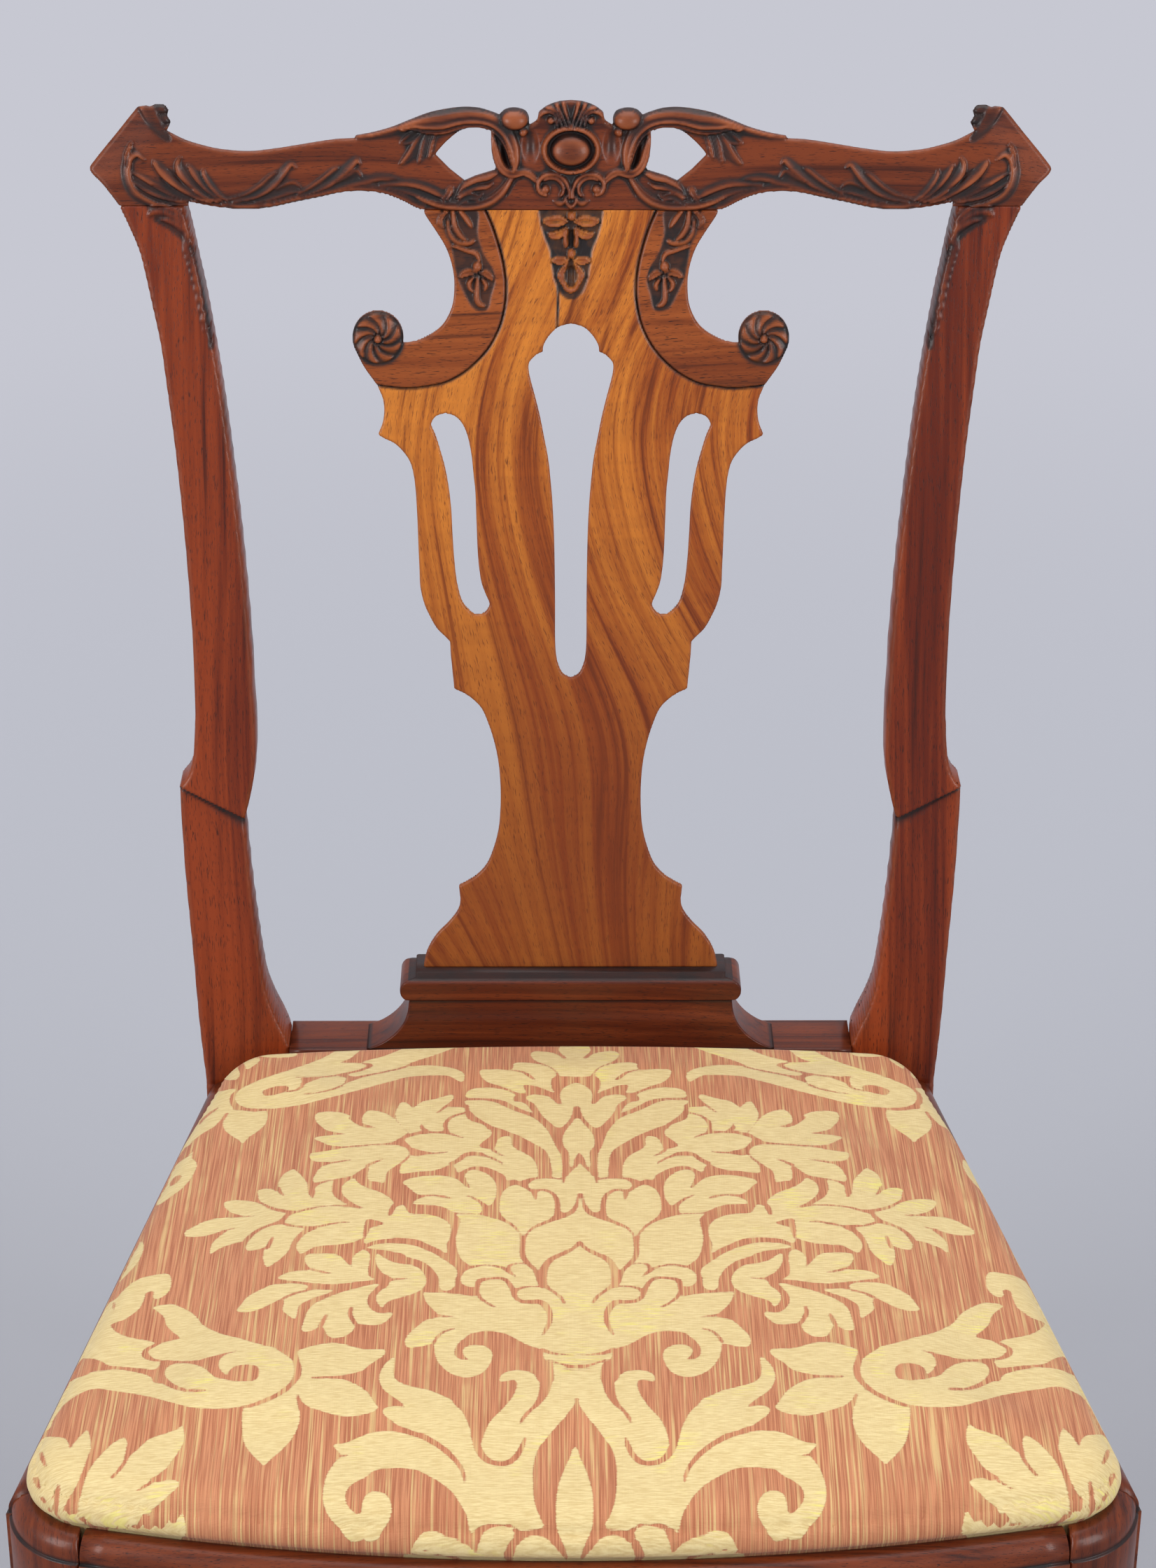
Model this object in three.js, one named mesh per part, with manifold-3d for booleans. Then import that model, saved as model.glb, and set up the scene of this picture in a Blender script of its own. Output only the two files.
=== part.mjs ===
// Walnut side chair with a pierced splat and a loose, drop-in upholstered seat.
// Millimetres. Seen from the front, +X is to the right, -Y comes forward and +Z is up.
// The chair is drawn with Y = 0 on the front face of the rear posts at the height of the seat,
// and moved at the end so that its box is centred over the origin.
import * as THREE from 'three';
import { mergeVertices } from 'three/addons/utils/BufferGeometryUtils.js';
import Module from 'manifold-3d';

const wasm = await Module();
wasm.setup();

// Heights: the seat rails' top, the back above it, the crest above its seam with the splat
const seatHeight = 440;
const backRise = 546.5;
const crestRise = 56.5;
const railHeight = 66;

// Seat plan
const seatRearHalfWidth = 211.5;
const seatFrontHalfWidth = 282.5;
const seatDepth = 421;
const frontBow = 26;
const cornerRadius = 45;
const legTopWidth = 40;

// Seat rails: thickness, the lip round the loose seat, the ledge it rests on, the moulded edge
const railThickness = 30;
const lipWidth = 14;
const ledgeDrop = 14;
const ovoloRadius = 10;
const quirkStep = 1.5;
const quirkDrop = 2.5;

// Back, seen from the front
const shoulderHalfWidth = 262;
const splatHalfWidth = 106.5;
const voluteRadius = 14;
const postWidth = 38.5;
const footWidth = 34;
const postFootSplay = 2.5;

// Back, seen from the side: the front face leans and curves away from the sitter
const backCurveRadius = 4500;
const postDepthSeat = 40;
const postDepthTop = 24;
const postDepthFoot = 34;
const postFootSetBack = 58;
const postLedgeStep = 5;
const postLedgeStepFoot = 1;
const crestThickness = 24;
const crestEdgeThickness = 5;
const splatThickness = 11;
const wingThickness = 13;
const wingProud = 1;

// Rear rail, and the shoe that holds the foot of the splat
const rearRailRise = 20;
const rearRailHeight = 68;
const rearRailSetBack = 1;
const rearRailThickness = 35;
const shoeHeight = 49;
const shoeLedge = 4.6;
const shoeRollProud = 9;
const shoeRollProudFront = 5.5;
const shoeNeckIn = 5;
const shoeFlare = 25;
const shoeRollHeight = 13;
const shoeFilletHeight = 4;
const shoeFilletSetBack = 5;
const shoeDepth = 22;

// Front legs
const kneeRadius = 28;
const kneeProud = 9;
const kneePostDrop = 44;

// Knee brackets and corner blocks
const bracketLength = 58;
const bracketThickness = 26;
const blockReach = 62;
const blockHeight = 42;

// Joinery
const tenonThickness = 9;
const tenonLength = 13;
const postTenonLength = 16;
const tenonShoulder = 9;
const splatTenonThickness = 5;
const splatTenonHeight = 12;

// Loose seat
const seatFrameWidth = 48;
const seatFrameThickness = 20;
const seatRearGap = 4;
const rearCornerRadius = 30;
const coverThickness = 1.2;
const coverTurnUnder = 26;
const coverBulge = 2.4;
const coverRise = 25.5;
const crownHeight = 11;
const webbingWidth = 50;
const webbingThickness = 1.3;
const webbingCount = 3;
const hessianThickness = 0.8;

// Clearances, and the overrun that every cut shares
const gap = 0.3;
const seatClearance = 0.8;
const overrun = 30;

// Counts of facets
const arcSteps = 6;
const bowSteps = 6;
const backSteps = 12;
const voluteSteps = 14;
const roundSides = 16;
const splineSteps = 2;

// Where the scroll's volute runs out into its tail
const voluteEndAngle = -0.2 * Math.PI;

// Ratios: the back's rake, the rear leg's curve, the crest's and splat's own proportions
const backRakeShare = 0.158;
const rearLegPowerShare = 1.6;
const crestTopFallShare = 0.6;
const crestBottomRiseShare = 0.25;
const crestCentreShare = 0.751;
const splatTopTenonShare = 0.23;
const splatFootTenonShare = 0.73;
const postTopShare = 0.035;

// Levels worked out from the sizes above
const crestSeamZ = seatHeight + backRise - crestRise;
const postTopZ = crestSeamZ + postTopShare * crestRise;
const postRise = postTopZ - seatHeight;
const rearRailTopZ = seatHeight + rearRailRise;
const rearRailBottomZ = rearRailTopZ - rearRailHeight;
const shoeTopZ = rearRailTopZ + shoeHeight;
const ledgeZ = seatHeight - ledgeDrop;
const railBottomZ = seatHeight - railHeight;
const crestCentreHalfWidth = crestCentreShare * splatHalfWidth;

// Looks of the materials
const walnut = { color: 0x7a3a1e, roughness: 0.35, metalness: 0 };
const figuredWalnut = { color: 0xb0682c, roughness: 0.35, metalness: 0 };
const beech = { color: 0xb08a5c, roughness: 0.7, metalness: 0 };
const jute = { color: 0xa88a5e, roughness: 0.9, metalness: 0 };
const horsehair = { color: 0x6b5a48, roughness: 0.95, metalness: 0 };
const damask = { color: 0xd8a878, roughness: 0.75, metalness: 0 };

const mix = (from, to, share) => from + share * (to - from);
const acrossX = (points) => points.map(([x, z]) => [-x, z]).reverse();

// Solids and meshes

function solidOf(geometry) {
  const bare = geometry.clone();
  bare.deleteAttribute('normal');
  bare.deleteAttribute('uv');
  const merged = mergeVertices(bare);
  return new wasm.Manifold(new wasm.Mesh({
    numProp: 3,
    vertProperties: new Float32Array(merged.attributes.position.array),
    triVerts: new Uint32Array(merged.index.array),
  }));
}

function piece(name, solid, look) {
  const { vertProperties, triVerts } = solid.getMesh();
  const geometry = new THREE.BufferGeometry();
  geometry.setAttribute('position', new THREE.BufferAttribute(new Float32Array(vertProperties), 3));
  geometry.setIndex(new THREE.BufferAttribute(new Uint32Array(triVerts), 1));
  geometry.computeVertexNormals();
  const mesh = new THREE.Mesh(geometry, new THREE.MeshStandardMaterial({ ...look, flatShading: true }));
  mesh.name = name;
  return mesh;
}

const together = (solids) => solids.reduce((whole, next) => whole.add(next));
const mirrored = (solid) => solid.mirror([1, 0, 0]);

// The outline runs counter-clockwise and its holes clockwise, however the points are listed
function shapeOf(points, holes = []) {
  const turned = (outline, clockwise) => {
    const vectors = outline.map(([x, y]) => new THREE.Vector2(x, y));
    return THREE.ShapeUtils.isClockWise(vectors) === clockwise ? vectors : vectors.reverse();
  };
  const shape = new THREE.Shape(turned(points, false));
  shape.holes = holes.map((hole) => new THREE.Path(turned(hole, true)));
  return shape;
}

// An outline in X and Z, carried from yFront to yBack
function plateXZ(points, yFront, yBack, holes = []) {
  const options = { depth: yBack - yFront, bevelEnabled: false };
  const geometry = new THREE.ExtrudeGeometry(shapeOf(points, holes), options);
  geometry.rotateX(Math.PI / 2);
  geometry.translate(0, yBack, 0);
  return solidOf(geometry);
}

// An outline in Y and Z, carried from xLow to xHigh
function plateYZ(points, xLow, xHigh) {
  const options = { depth: xHigh - xLow, bevelEnabled: false };
  const geometry = new THREE.ExtrudeGeometry(shapeOf(points), options);
  const turn = new THREE.Matrix4().makeBasis(
    new THREE.Vector3(0, 1, 0), new THREE.Vector3(0, 0, 1), new THREE.Vector3(1, 0, 0));
  geometry.applyMatrix4(turn);
  geometry.translate(xLow, 0, 0);
  return solidOf(geometry);
}

// An outline in X and Y, carried from zLow to zHigh
function plateXY(points, zLow, zHigh, holes = []) {
  const options = { depth: zHigh - zLow, bevelEnabled: false };
  const geometry = new THREE.ExtrudeGeometry(shapeOf(points, holes), options);
  geometry.translate(0, 0, zLow);
  return solidOf(geometry);
}

function block(low, high) {
  const size = high.map((value, axis) => value - low[axis]);
  const geometry = new THREE.BoxGeometry(...size);
  geometry.translate(...low.map((value, axis) => value + size[axis] / 2));
  return solidOf(geometry);
}

// A closed skin through rings of equal counts of points; the end rings are filled by their outline
function loft(rings, capOutline) {
  const count = rings[0].length;
  const last = (rings.length - 1) * count;
  const corners = [];
  for (let ring = 0; ring + 1 < rings.length; ring += 1) {
    for (let i = 0; i < count; i += 1) {
      const a = ring * count + i;
      const b = ring * count + (i + 1) % count;
      corners.push([a, b, b + count], [a, b + count, a + count]);
    }
  }
  const outline = capOutline.map(([x, y]) => new THREE.Vector2(x, y));
  const forward = THREE.ShapeUtils.area(outline) > 0;
  for (const [a, b, c] of THREE.ShapeUtils.triangulateShape(outline, [])) {
    const [p, q] = forward ? [b, c] : [c, b];
    corners.push([a, q, p], [last + a, last + p, last + q]);
  }
  const points = rings.flat().map((point) => new THREE.Vector3(...point));
  const volume = corners.reduce((sum, [a, b, c]) =>
    sum + points[a].dot(points[b].clone().cross(points[c])), 0);
  const index = volume > 0 ? corners.flat() : corners.flatMap(([a, b, c]) => [a, c, b]);
  const geometry = new THREE.BufferGeometry().setFromPoints(points);
  geometry.setIndex(index);
  return solidOf(geometry);
}

function smooth(points, steps = splineSteps) {
  const curve = new THREE.SplineCurve(points.map(([x, y]) => new THREE.Vector2(x, y)));
  return curve.getPoints(steps * (points.length - 1)).map((point) => [point.x, point.y]);
}

function smoothLoop(points) {
  return smooth([...points, points[0]]).slice(1);
}

// An open line of points moved sideways, to the left of its run
function beside(points, distance) {
  return points.map(([x, y], i) => {
    const [xBefore, yBefore] = points[Math.max(0, i - 1)];
    const [xAfter, yAfter] = points[Math.min(points.length - 1, i + 1)];
    const length = Math.hypot(xAfter - xBefore, yAfter - yBefore);
    return [x - distance * (yAfter - yBefore) / length, y + distance * (xAfter - xBefore) / length];
  });
}

// The side view of the back

// Y of the back's front face at a height
function backFace(z) {
  if (z < seatHeight) {
    return postFootSetBack * (1 - z / seatHeight) ** rearLegPowerShare;
  }
  const rise = z - seatHeight;
  return backRakeShare * rise + rise ** 2 / (2 * backCurveRadius);
}

function postDepth(z) {
  return z < seatHeight
    ? mix(postDepthFoot, postDepthSeat, z / seatHeight)
    : mix(postDepthSeat, postDepthTop, (z - seatHeight) / postRise);
}

const levels = (zLow, zHigh) =>
  Array.from({ length: backSteps + 1 }, (_, i) => mix(zLow, zHigh, i / backSteps));

// A bent slab through a list of heights, between two surfaces told by how far they lie behind the face
function backSlab(heights, rearAt, frontAt = () => 0) {
  const front = heights.map((z) => [backFace(z) + frontAt(z), z]);
  const rear = heights.map((z) => [backFace(z) + rearAt(z), z]);
  const halfWidth = shoulderHalfWidth + overrun;
  return plateYZ([...front.reverse(), ...rear], -halfWidth, halfWidth);
}

const backFront = -2 * overrun;
const backRear = backFace(seatHeight + backRise) + postDepthSeat + overrun;

// Seat plan: the outer edge of the rails and lines inside it

const sideRun = new THREE.Vector2(seatFrontHalfWidth - seatRearHalfWidth, -seatDepth).normalize();
const sideOut = new THREE.Vector2(-sideRun.y, sideRun.x);
const sideStart = new THREE.Vector2(seatRearHalfWidth, 0);
const sideX = (y) => mix(seatRearHalfWidth, seatFrontHalfWidth, -y / seatDepth);
const legSeamY = legTopWidth - seatDepth;
const legSeamX = sideX(legSeamY) - legTopWidth;
const bowRadius = (legSeamX ** 2 + frontBow ** 2) / (2 * frontBow);
const bowCentre = new THREE.Vector2(0, bowRadius - seatDepth - frontBow);

// The corner's arc touches the straight side and the bowed front
function cornerCentreOf(radius) {
  const inside = sideStart.clone().addScaledVector(sideOut, -radius);
  const away = inside.clone().sub(bowCentre);
  const along = away.dot(sideRun);
  const run = Math.sqrt(along ** 2 - away.lengthSq() + (bowRadius - radius) ** 2) - along;
  return inside.addScaledVector(sideRun, run);
}
const cornerCentre = cornerCentreOf(cornerRadius);
const bowAngle = cornerCentre.clone().sub(bowCentre).angle() - 2 * Math.PI;

function sideAt(y, inset) {
  const start = sideStart.clone().addScaledVector(sideOut, -inset);
  const point = start.clone().addScaledVector(sideRun, (y - start.y) / sideRun.y);
  return [point.x, point.y];
}

const onCircle = (centre, radius, angle) =>
  [centre.x + radius * Math.cos(angle), centre.y + radius * Math.sin(angle)];

// From the side, round the corner, to the middle of the front, at an inset from the outer edge
function frontEdge(inset) {
  const corner = Array.from({ length: arcSteps + 1 }, (_, i) =>
    onCircle(cornerCentre, cornerRadius - inset, mix(sideOut.angle(), bowAngle, i / arcSteps)));
  const bow = Array.from({ length: bowSteps }, (_, i) =>
    onCircle(bowCentre, bowRadius - inset, mix(bowAngle, -Math.PI / 2, (i + 1) / bowSteps)));
  return [...corner, ...bow];
}

// The whole run of the rails, from the right rear end round to the left rear end
function railRun(inset) {
  const right = [sideAt(-gap, inset), ...frontEdge(inset)];
  return [...right, ...acrossX(right.slice(0, -1))];
}

// The side rails, front rail and leg tops share one section, moulded along its upper outer edge
function railSection() {
  const ovolo = Array.from({ length: arcSteps + 1 }, (_, i) => {
    const angle = mix(0, Math.PI / 2, i / arcSteps);
    return [quirkStep + ovoloRadius * (1 - Math.cos(angle)),
      seatHeight - ovoloRadius * (1 - Math.sin(angle))];
  });
  const quirkZ = seatHeight - ovoloRadius - quirkDrop;
  return [
    [0, railBottomZ], [0, quirkZ], [quirkStep, quirkZ], ...ovolo,
    [lipWidth, seatHeight], [lipWidth, ledgeZ], [railThickness, ledgeZ], [railThickness, railBottomZ],
  ];
}

function railRing() {
  const section = railSection();
  const runs = section.map(([inset]) => railRun(inset));
  const rings = runs[0].map((_, step) => section.map(([, z], i) => [...runs[i][step], z]));
  return loft(rings, section);
}

const farOut = seatFrontHalfWidth + overrun;
const farForward = -seatDepth - frontBow - overrun;

// Tenons of the rails, and the same blocks a gap larger for their mortises

const railTenonLow = railBottomZ + tenonShoulder;
const railTenonHigh = ledgeZ - tenonShoulder;
const tenonInset = lipWidth;
const frontRailFaceY = -seatDepth + tenonInset;
const sideTenonInner = sideX(legSeamY) - tenonInset - tenonThickness;

const frontRailTenon = (grow = 0) => block(
  [legSeamX - tenonShoulder, frontRailFaceY - grow, railTenonLow - grow],
  [legSeamX + tenonLength + grow, frontRailFaceY + tenonThickness + grow, railTenonHigh + grow]);

const sideRailFrontTenon = (grow = 0) => block(
  [sideTenonInner - grow, legSeamY - tenonLength - grow, railTenonLow - grow],
  [sideTenonInner + tenonThickness + grow, legSeamY + tenonShoulder, railTenonHigh + grow]);

const sideTenonRearInner = seatRearHalfWidth - tenonInset - tenonThickness;
const sideRailRearTenon = (grow = 0) => block(
  [sideTenonRearInner - grow, -tenonShoulder, railTenonLow - grow],
  [sideTenonRearInner + tenonThickness + grow, postTenonLength + grow, railTenonHigh + grow]);

const rearTenonY = postTenonLength + tenonThickness / 2;
const rearRailTenon = (grow = 0) => block(
  [0, rearTenonY - grow, rearRailBottomZ + tenonShoulder - grow],
  [postRailX + postTenonLength + grow, rearTenonY + tenonThickness + grow,
    rearRailTopZ - tenonShoulder + grow]);

// Rear posts, each in one piece with its rear leg

// Edges above the seat: how far out along the flare to the shoulder, and how high to the post's top
const postOuterUpperShares = [
  [0.673, 1], [0.584, 0.978], [0.485, 0.953], [0.356, 0.894], [0.228, 0.813],
  [0.139, 0.732], [0.059, 0.63], [0.01, 0.528], [0, 0.447], [0.03, 0.396],
  [0.1, 0.372], [0.204, 0.357],
];
const postOuterLowerShares = [
  [0.198, 0.315], [0.168, 0.244], [0.109, 0.152], [0.03, 0.03], [0, 0],
];
const postInnerLowerShares = [
  [-0.198, 0.041], [-0.139, 0.056], [-0.04, 0.078], [0.04, 0.102], [0.085, 0.128],
  [0.139, 0.173], [0.198, 0.234], [0.246, 0.3],
];
const postInnerUpperShares = [
  [0.248, 0.316], [0.184, 0.339], [0.13, 0.366], [0.105, 0.407], [0.115, 0.447],
  [0.145, 0.528], [0.214, 0.63], [0.313, 0.732], [0.392, 0.813], [0.541, 0.894],
  [0.61, 0.935], [0.699, 0.967], [0.788, 1],
];
const legHollowShare = 0.86;

const flare = shoulderHalfWidth - seatRearHalfWidth;
const onPostOuter = ([out, up]) => [seatRearHalfWidth + out * flare, seatHeight + up * postRise];
const onPostInner = ([out, up]) =>
  [seatRearHalfWidth - postWidth + out * flare, seatHeight + up * postRise];
const postTopOuterX = onPostOuter(postOuterUpperShares[0])[0];
const postTopInnerX = onPostInner(postInnerUpperShares.at(-1))[0];
const postRailX = onPostInner(postInnerLowerShares[0])[0];
const ledgeOuter = onPostOuter(postOuterUpperShares.at(-1));
const ledgeInner = onPostInner(postInnerUpperShares[0]);

function postOutline() {
  const footOuter = seatRearHalfWidth + postFootSplay;
  const footInner = footOuter - footWidth;
  return [
    ...smooth(postOuterUpperShares.map(onPostOuter)),
    ...smooth(postOuterLowerShares.map(onPostOuter)),
    [footOuter, 0], [footInner, 0],
    [mix(footInner, postRailX, legHollowShare / 2), legHollowShare * rearRailBottomZ],
    [postRailX, rearRailBottomZ],
    ...smooth(postInnerLowerShares.map(onPostInner)),
    ...smooth(postInnerUpperShares.map(onPostInner)),
  ];
}

// The post's face steps back below a slanting ledge, less and less down to the seat
function faceBelowLedge() {
  const slope = (ledgeOuter[1] - ledgeInner[1]) / (ledgeOuter[0] - ledgeInner[0]);
  const low = [ledgeInner[0] - overrun, ledgeInner[1] - gap - slope * overrun];
  const high = [ledgeOuter[0] + overrun, ledgeOuter[1] - gap + slope * overrun];
  const below = plateXZ([low, high, [high[0], 0], [low[0], 0]], backFront, backRear);
  const rise = ledgeOuter[1] - seatHeight;
  const stepAt = (z) => mix(postLedgeStepFoot, postLedgeStep, (z - seatHeight) / rise);
  return below.intersect(backSlab(levels(seatHeight, ledgeOuter[1] + overrun), stepAt, () => -overrun));
}

const crestTenonY = backFace(postTopZ) + postDepthTop / 2;
const crestTenon = (grow = 0) => block(
  [postTopInnerX + tenonShoulder - grow, crestTenonY - tenonThickness / 2 - grow,
    postTopZ - tenonShoulder],
  [postTopOuterX - tenonShoulder + grow, crestTenonY + tenonThickness / 2 + grow,
    postTopZ + postTenonLength + grow]);

function rearPost() {
  const heights = [...levels(0, seatHeight), ...levels(seatHeight, postTopZ).slice(1)];
  return plateXZ(postOutline(), backFront, backRear)
    .intersect(backSlab(heights, postDepth)).subtract(faceBelowLedge()).add(crestTenon())
    .subtract(sideRailRearTenon(gap)).subtract(rearRailTenon(gap));
}

// Splat and the scrolled wings on its shoulders

// X in half-widths of the splat, Z from 0 at the top of the shoe to 1 at the seam with the crest
const wingSeamShares = [
  [0.441, 1], [0.404, 0.979], [0.373, 0.955], [0.338, 0.905], [0.347, 0.879], [0.373, 0.855],
  [0.423, 0.831], [0.488, 0.812], [0.563, 0.797], [0.657, 0.785], [0.751, 0.78], [0.845, 0.778],
  [0.939, 0.781], [1.005, 0.787],
];
const scrollInnerShares = [
  [0.751, 0.994], [0.69, 0.974], [0.643, 0.955], [0.615, 0.936], [0.601, 0.917], [0.601, 0.898],
  [0.61, 0.881], [0.638, 0.865], [0.676, 0.853], [0.732, 0.843], [0.798, 0.836],
];
const voluteCentreShare = [0.995, 0.841];
const scrollTailShares = [[1.07, 0.803], [1.023, 0.789]];
const splatSideShares = [
  [[0.995, 0.777], [0.977, 0.765], [0.967, 0.748], [0.977, 0.732], [1, 0.717]],
  [[0.967, 0.713], [0.911, 0.705], [0.864, 0.694], [0.831, 0.679], [0.812, 0.656], [0.803, 0.62],
    [0.798, 0.584], [0.793, 0.549], [0.789, 0.52], [0.77, 0.499], [0.742, 0.482], [0.704, 0.466],
    [0.636, 0.448]],
  [[0.632, 0.43], [0.615, 0.385]],
  [[0.563, 0.379], [0.516, 0.371], [0.469, 0.357], [0.432, 0.335], [0.404, 0.311], [0.385, 0.287],
    [0.373, 0.24], [0.376, 0.216], [0.385, 0.192], [0.408, 0.169], [0.446, 0.145], [0.498, 0.129],
    [0.554, 0.12], [0.599, 0.114]],
  [[0.592, 0.097], [0.596, 0.086], [0.62, 0.074], [0.662, 0.061], [0.709, 0.049], [0.746, 0.036],
    [0.775, 0.021], [0.789, 0.007], [0.792, 0]],
];
const middleSlotShares = [
  [[0, 0.859], [0.066, 0.854], [0.113, 0.843], [0.141, 0.831], [0.146, 0.823]],
  [[0.178, 0.819], [0.211, 0.811], [0.22, 0.803], [0.211, 0.789], [0.183, 0.762], [0.141, 0.715],
    [0.117, 0.684], [0.103, 0.651], [0.086, 0.572], [0.083, 0.501], [0.083, 0.454], [0.078, 0.43],
    [0.066, 0.416], [0.042, 0.404], [0, 0.398]],
];
const sideSlotShares = [
  [0.651, 0.745], [0.7, 0.741], [0.723, 0.733], [0.723, 0.724], [0.702, 0.715], [0.679, 0.696],
  [0.637, 0.648], [0.618, 0.584], [0.604, 0.537], [0.573, 0.501], [0.54, 0.489], [0.498, 0.482],
  [0.455, 0.485], [0.432, 0.492], [0.427, 0.499], [0.451, 0.513], [0.469, 0.527], [0.488, 0.572],
  [0.498, 0.644], [0.516, 0.691], [0.535, 0.715], [0.563, 0.732], [0.601, 0.741],
];
const onSplat = ([out, up]) => [out * splatHalfWidth, mix(shoeTopZ, crestSeamZ, up)];
const splatFootHalfWidth = onSplat(splatSideShares.at(-1).at(-1))[0];

const splatTenonY = (z) => backFace(z) + splatThickness / 2;
function splatTenon(z, halfWidth, grow = 0) {
  const y = splatTenonY(z);
  return block(
    [-halfWidth - grow, y - splatTenonThickness / 2 - grow, z - splatTenonHeight - grow],
    [halfWidth + grow, y + splatTenonThickness / 2 + grow, z + splatTenonHeight + grow]);
}
const splatTopTenon = (grow) => splatTenon(crestSeamZ, splatTopTenonShare * splatHalfWidth, grow);
const splatFootTenon = (grow) => splatTenon(shoeTopZ, splatFootTenonShare * splatHalfWidth, grow);

function splat() {
  const seam = beside(smooth(wingSeamShares.map(onSplat)), -gap);
  const side = splatSideShares.flatMap((run) => smooth(run.map(onSplat)));
  const right = [...seam, ...side];
  const middle = middleSlotShares.flatMap((run) => smooth(run.map(onSplat)));
  const slot = smoothLoop(sideSlotShares.map(onSplat));
  const holes = [[...middle, ...acrossX(middle.slice(1, -1))], slot, acrossX(slot)];
  const outline = plateXZ([...right, ...acrossX(right)], backFront, backRear, holes);
  const slab = backSlab(levels(shoeTopZ + gap, crestSeamZ - gap), () => splatThickness);
  return outline.intersect(slab).add(splatTopTenon()).add(splatFootTenon());
}

function scrollWing() {
  const [x, z] = onSplat(voluteCentreShare);
  const volute = Array.from({ length: voluteSteps + 1 }, (_, i) =>
    onCircle({ x, y: z }, voluteRadius, mix(Math.PI, voluteEndAngle, i / voluteSteps)));
  const inner = smooth(scrollInnerShares.map(onSplat));
  const outline = [
    ...smooth(wingSeamShares.map(onSplat)).reverse(), [inner[0][0], crestSeamZ],
    ...inner, ...volute, ...scrollTailShares.map(onSplat),
  ];
  const heights = levels(shoeTopZ, crestSeamZ - gap);
  const slab = backSlab(heights, () => wingThickness - wingProud, () => -wingProud);
  return plateXZ(outline, backFront, backRear).intersect(slab);
}

// Crest rail with its ears

// X runs from 0 at the middle to 1 where the scrolls leave the rail and 2 at the tip of the ear;
// Z runs from 0 at the seam with the splat to 1 at the top of the middle ornament
const crestTopShares = [
  [[0, 1], [0.11, 0.985], [0.18, 0.94], [0.212, 0.9]],
  [[0.23, 0.825], [0.275, 0.78], [0.3, 0.84], [0.325, 0.9], [0.379, 0.93], [0.43, 0.905],
    [0.481, 0.858]],
  [[0.54, 0.894], [0.725, 0.938], [0.9, 0.91], [1.04, 0.823], [1.148, 0.708], [1.203, 0.673]],
  [[1.275, 0.637], [1.385, 0.584], [1.522, 0.531], [1.604, 0.549], [1.66, 0.584], [1.742, 0.69]],
  [[1.75, 0.8], [1.765, 0.93], [1.795, 0.972], [1.83, 0.945], [1.857, 0.938]],
  [[1.995, 0.42], [2, 0.389], [1.995, 0.36]],
  [[1.962, 0.23], [1.934, 0.124]],
];
const crestBottomShares = [
  [1.659, 0.044], [1.604, 0.018], [1.538, 0.004], [1.467, 0.018], [1.385, 0.071],
  [1.313, 0.115], [1.247, 0.159], [1.187, 0.173], [1.121, 0.15], [1.066, 0.088], [1, 0.02],
];
const crestOpeningShares = [
  [0.544, 0.735], [0.65, 0.752], [0.75, 0.726], [0.838, 0.637], [0.9, 0.549], [0.923, 0.504],
  [0.825, 0.372], [0.725, 0.265], [0.65, 0.31], [0.563, 0.345], [0.519, 0.363], [0.538, 0.496],
];

function onCrest([along, up]) {
  const x = along <= 1
    ? along * crestCentreHalfWidth
    : mix(crestCentreHalfWidth, shoulderHalfWidth, along - 1);
  return [x, crestSeamZ + up * crestRise];
}

// A plate's copy sheared so that it slopes by a Z for each Y behind the rail's front edge
function sloped(solid, slope) {
  const middleZ = crestSeamZ + crestRise / 2;
  const lean = (backFace(crestSeamZ + crestRise) - backFace(crestSeamZ)) / crestRise;
  const startY = backFace(middleZ) + crestEdgeThickness;
  const stretch = 1 - slope * lean;
  const shift = middleZ - stretch * middleZ - slope * startY;
  return solid.transform([1, 0, 0, 0, 0, 1, slope, 0, 0, 0, stretch, 0, 0, 0, shift, 1]);
}

// The rail is cut to its outline square to the front, and behind that worked away above and below
function crestRail() {
  const top = crestTopShares.flatMap((run) => smooth(run.map(onCrest)));
  const right = [
    ...top, [postTopOuterX, postTopZ + gap], [postTopInnerX - gap, postTopZ + gap],
    ...smooth(crestBottomShares.map(onCrest)), [crestCentreHalfWidth, crestSeamZ],
  ];
  const opening = smoothLoop(crestOpeningShares.map(onCrest));
  const outline = [...acrossX(right).slice(0, -1), ...right];
  const plate = plateXZ(outline, backFront, backRear, [opening, acrossX(opening)]);
  const heights = levels(crestSeamZ - overrun, seatHeight + backRise + overrun);
  const slab = backSlab(heights, () => crestThickness);
  const worked = sloped(plate, -crestTopFallShare).intersect(sloped(plate, crestBottomRiseShare));
  const edge = backSlab(heights, () => crestEdgeThickness);
  const cheek = block([postTopInnerX - gap, backFront, crestSeamZ - overrun],
    [shoulderHalfWidth, backRear, crestSeamZ + crestRise / 2]);
  const middle = block([-crestCentreHalfWidth, backFront, crestSeamZ - overrun],
    [crestCentreHalfWidth, backRear, crestSeamZ + crestRise / 4]);
  const kept = together([worked, edge, cheek, mirrored(cheek), middle]);
  return plate.intersect(slab).intersect(kept)
    .subtract(crestTenon(gap)).subtract(mirrored(crestTenon(gap))).subtract(splatTopTenon(gap));
}

// Rear rail and shoe

function rearRail() {
  const body = block(
    [-postRailX + gap, rearRailSetBack, rearRailBottomZ],
    [postRailX - gap, rearRailSetBack + rearRailThickness, rearRailTopZ]);
  return body.add(rearRailTenon()).add(mirrored(rearRailTenon()));
}

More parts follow.
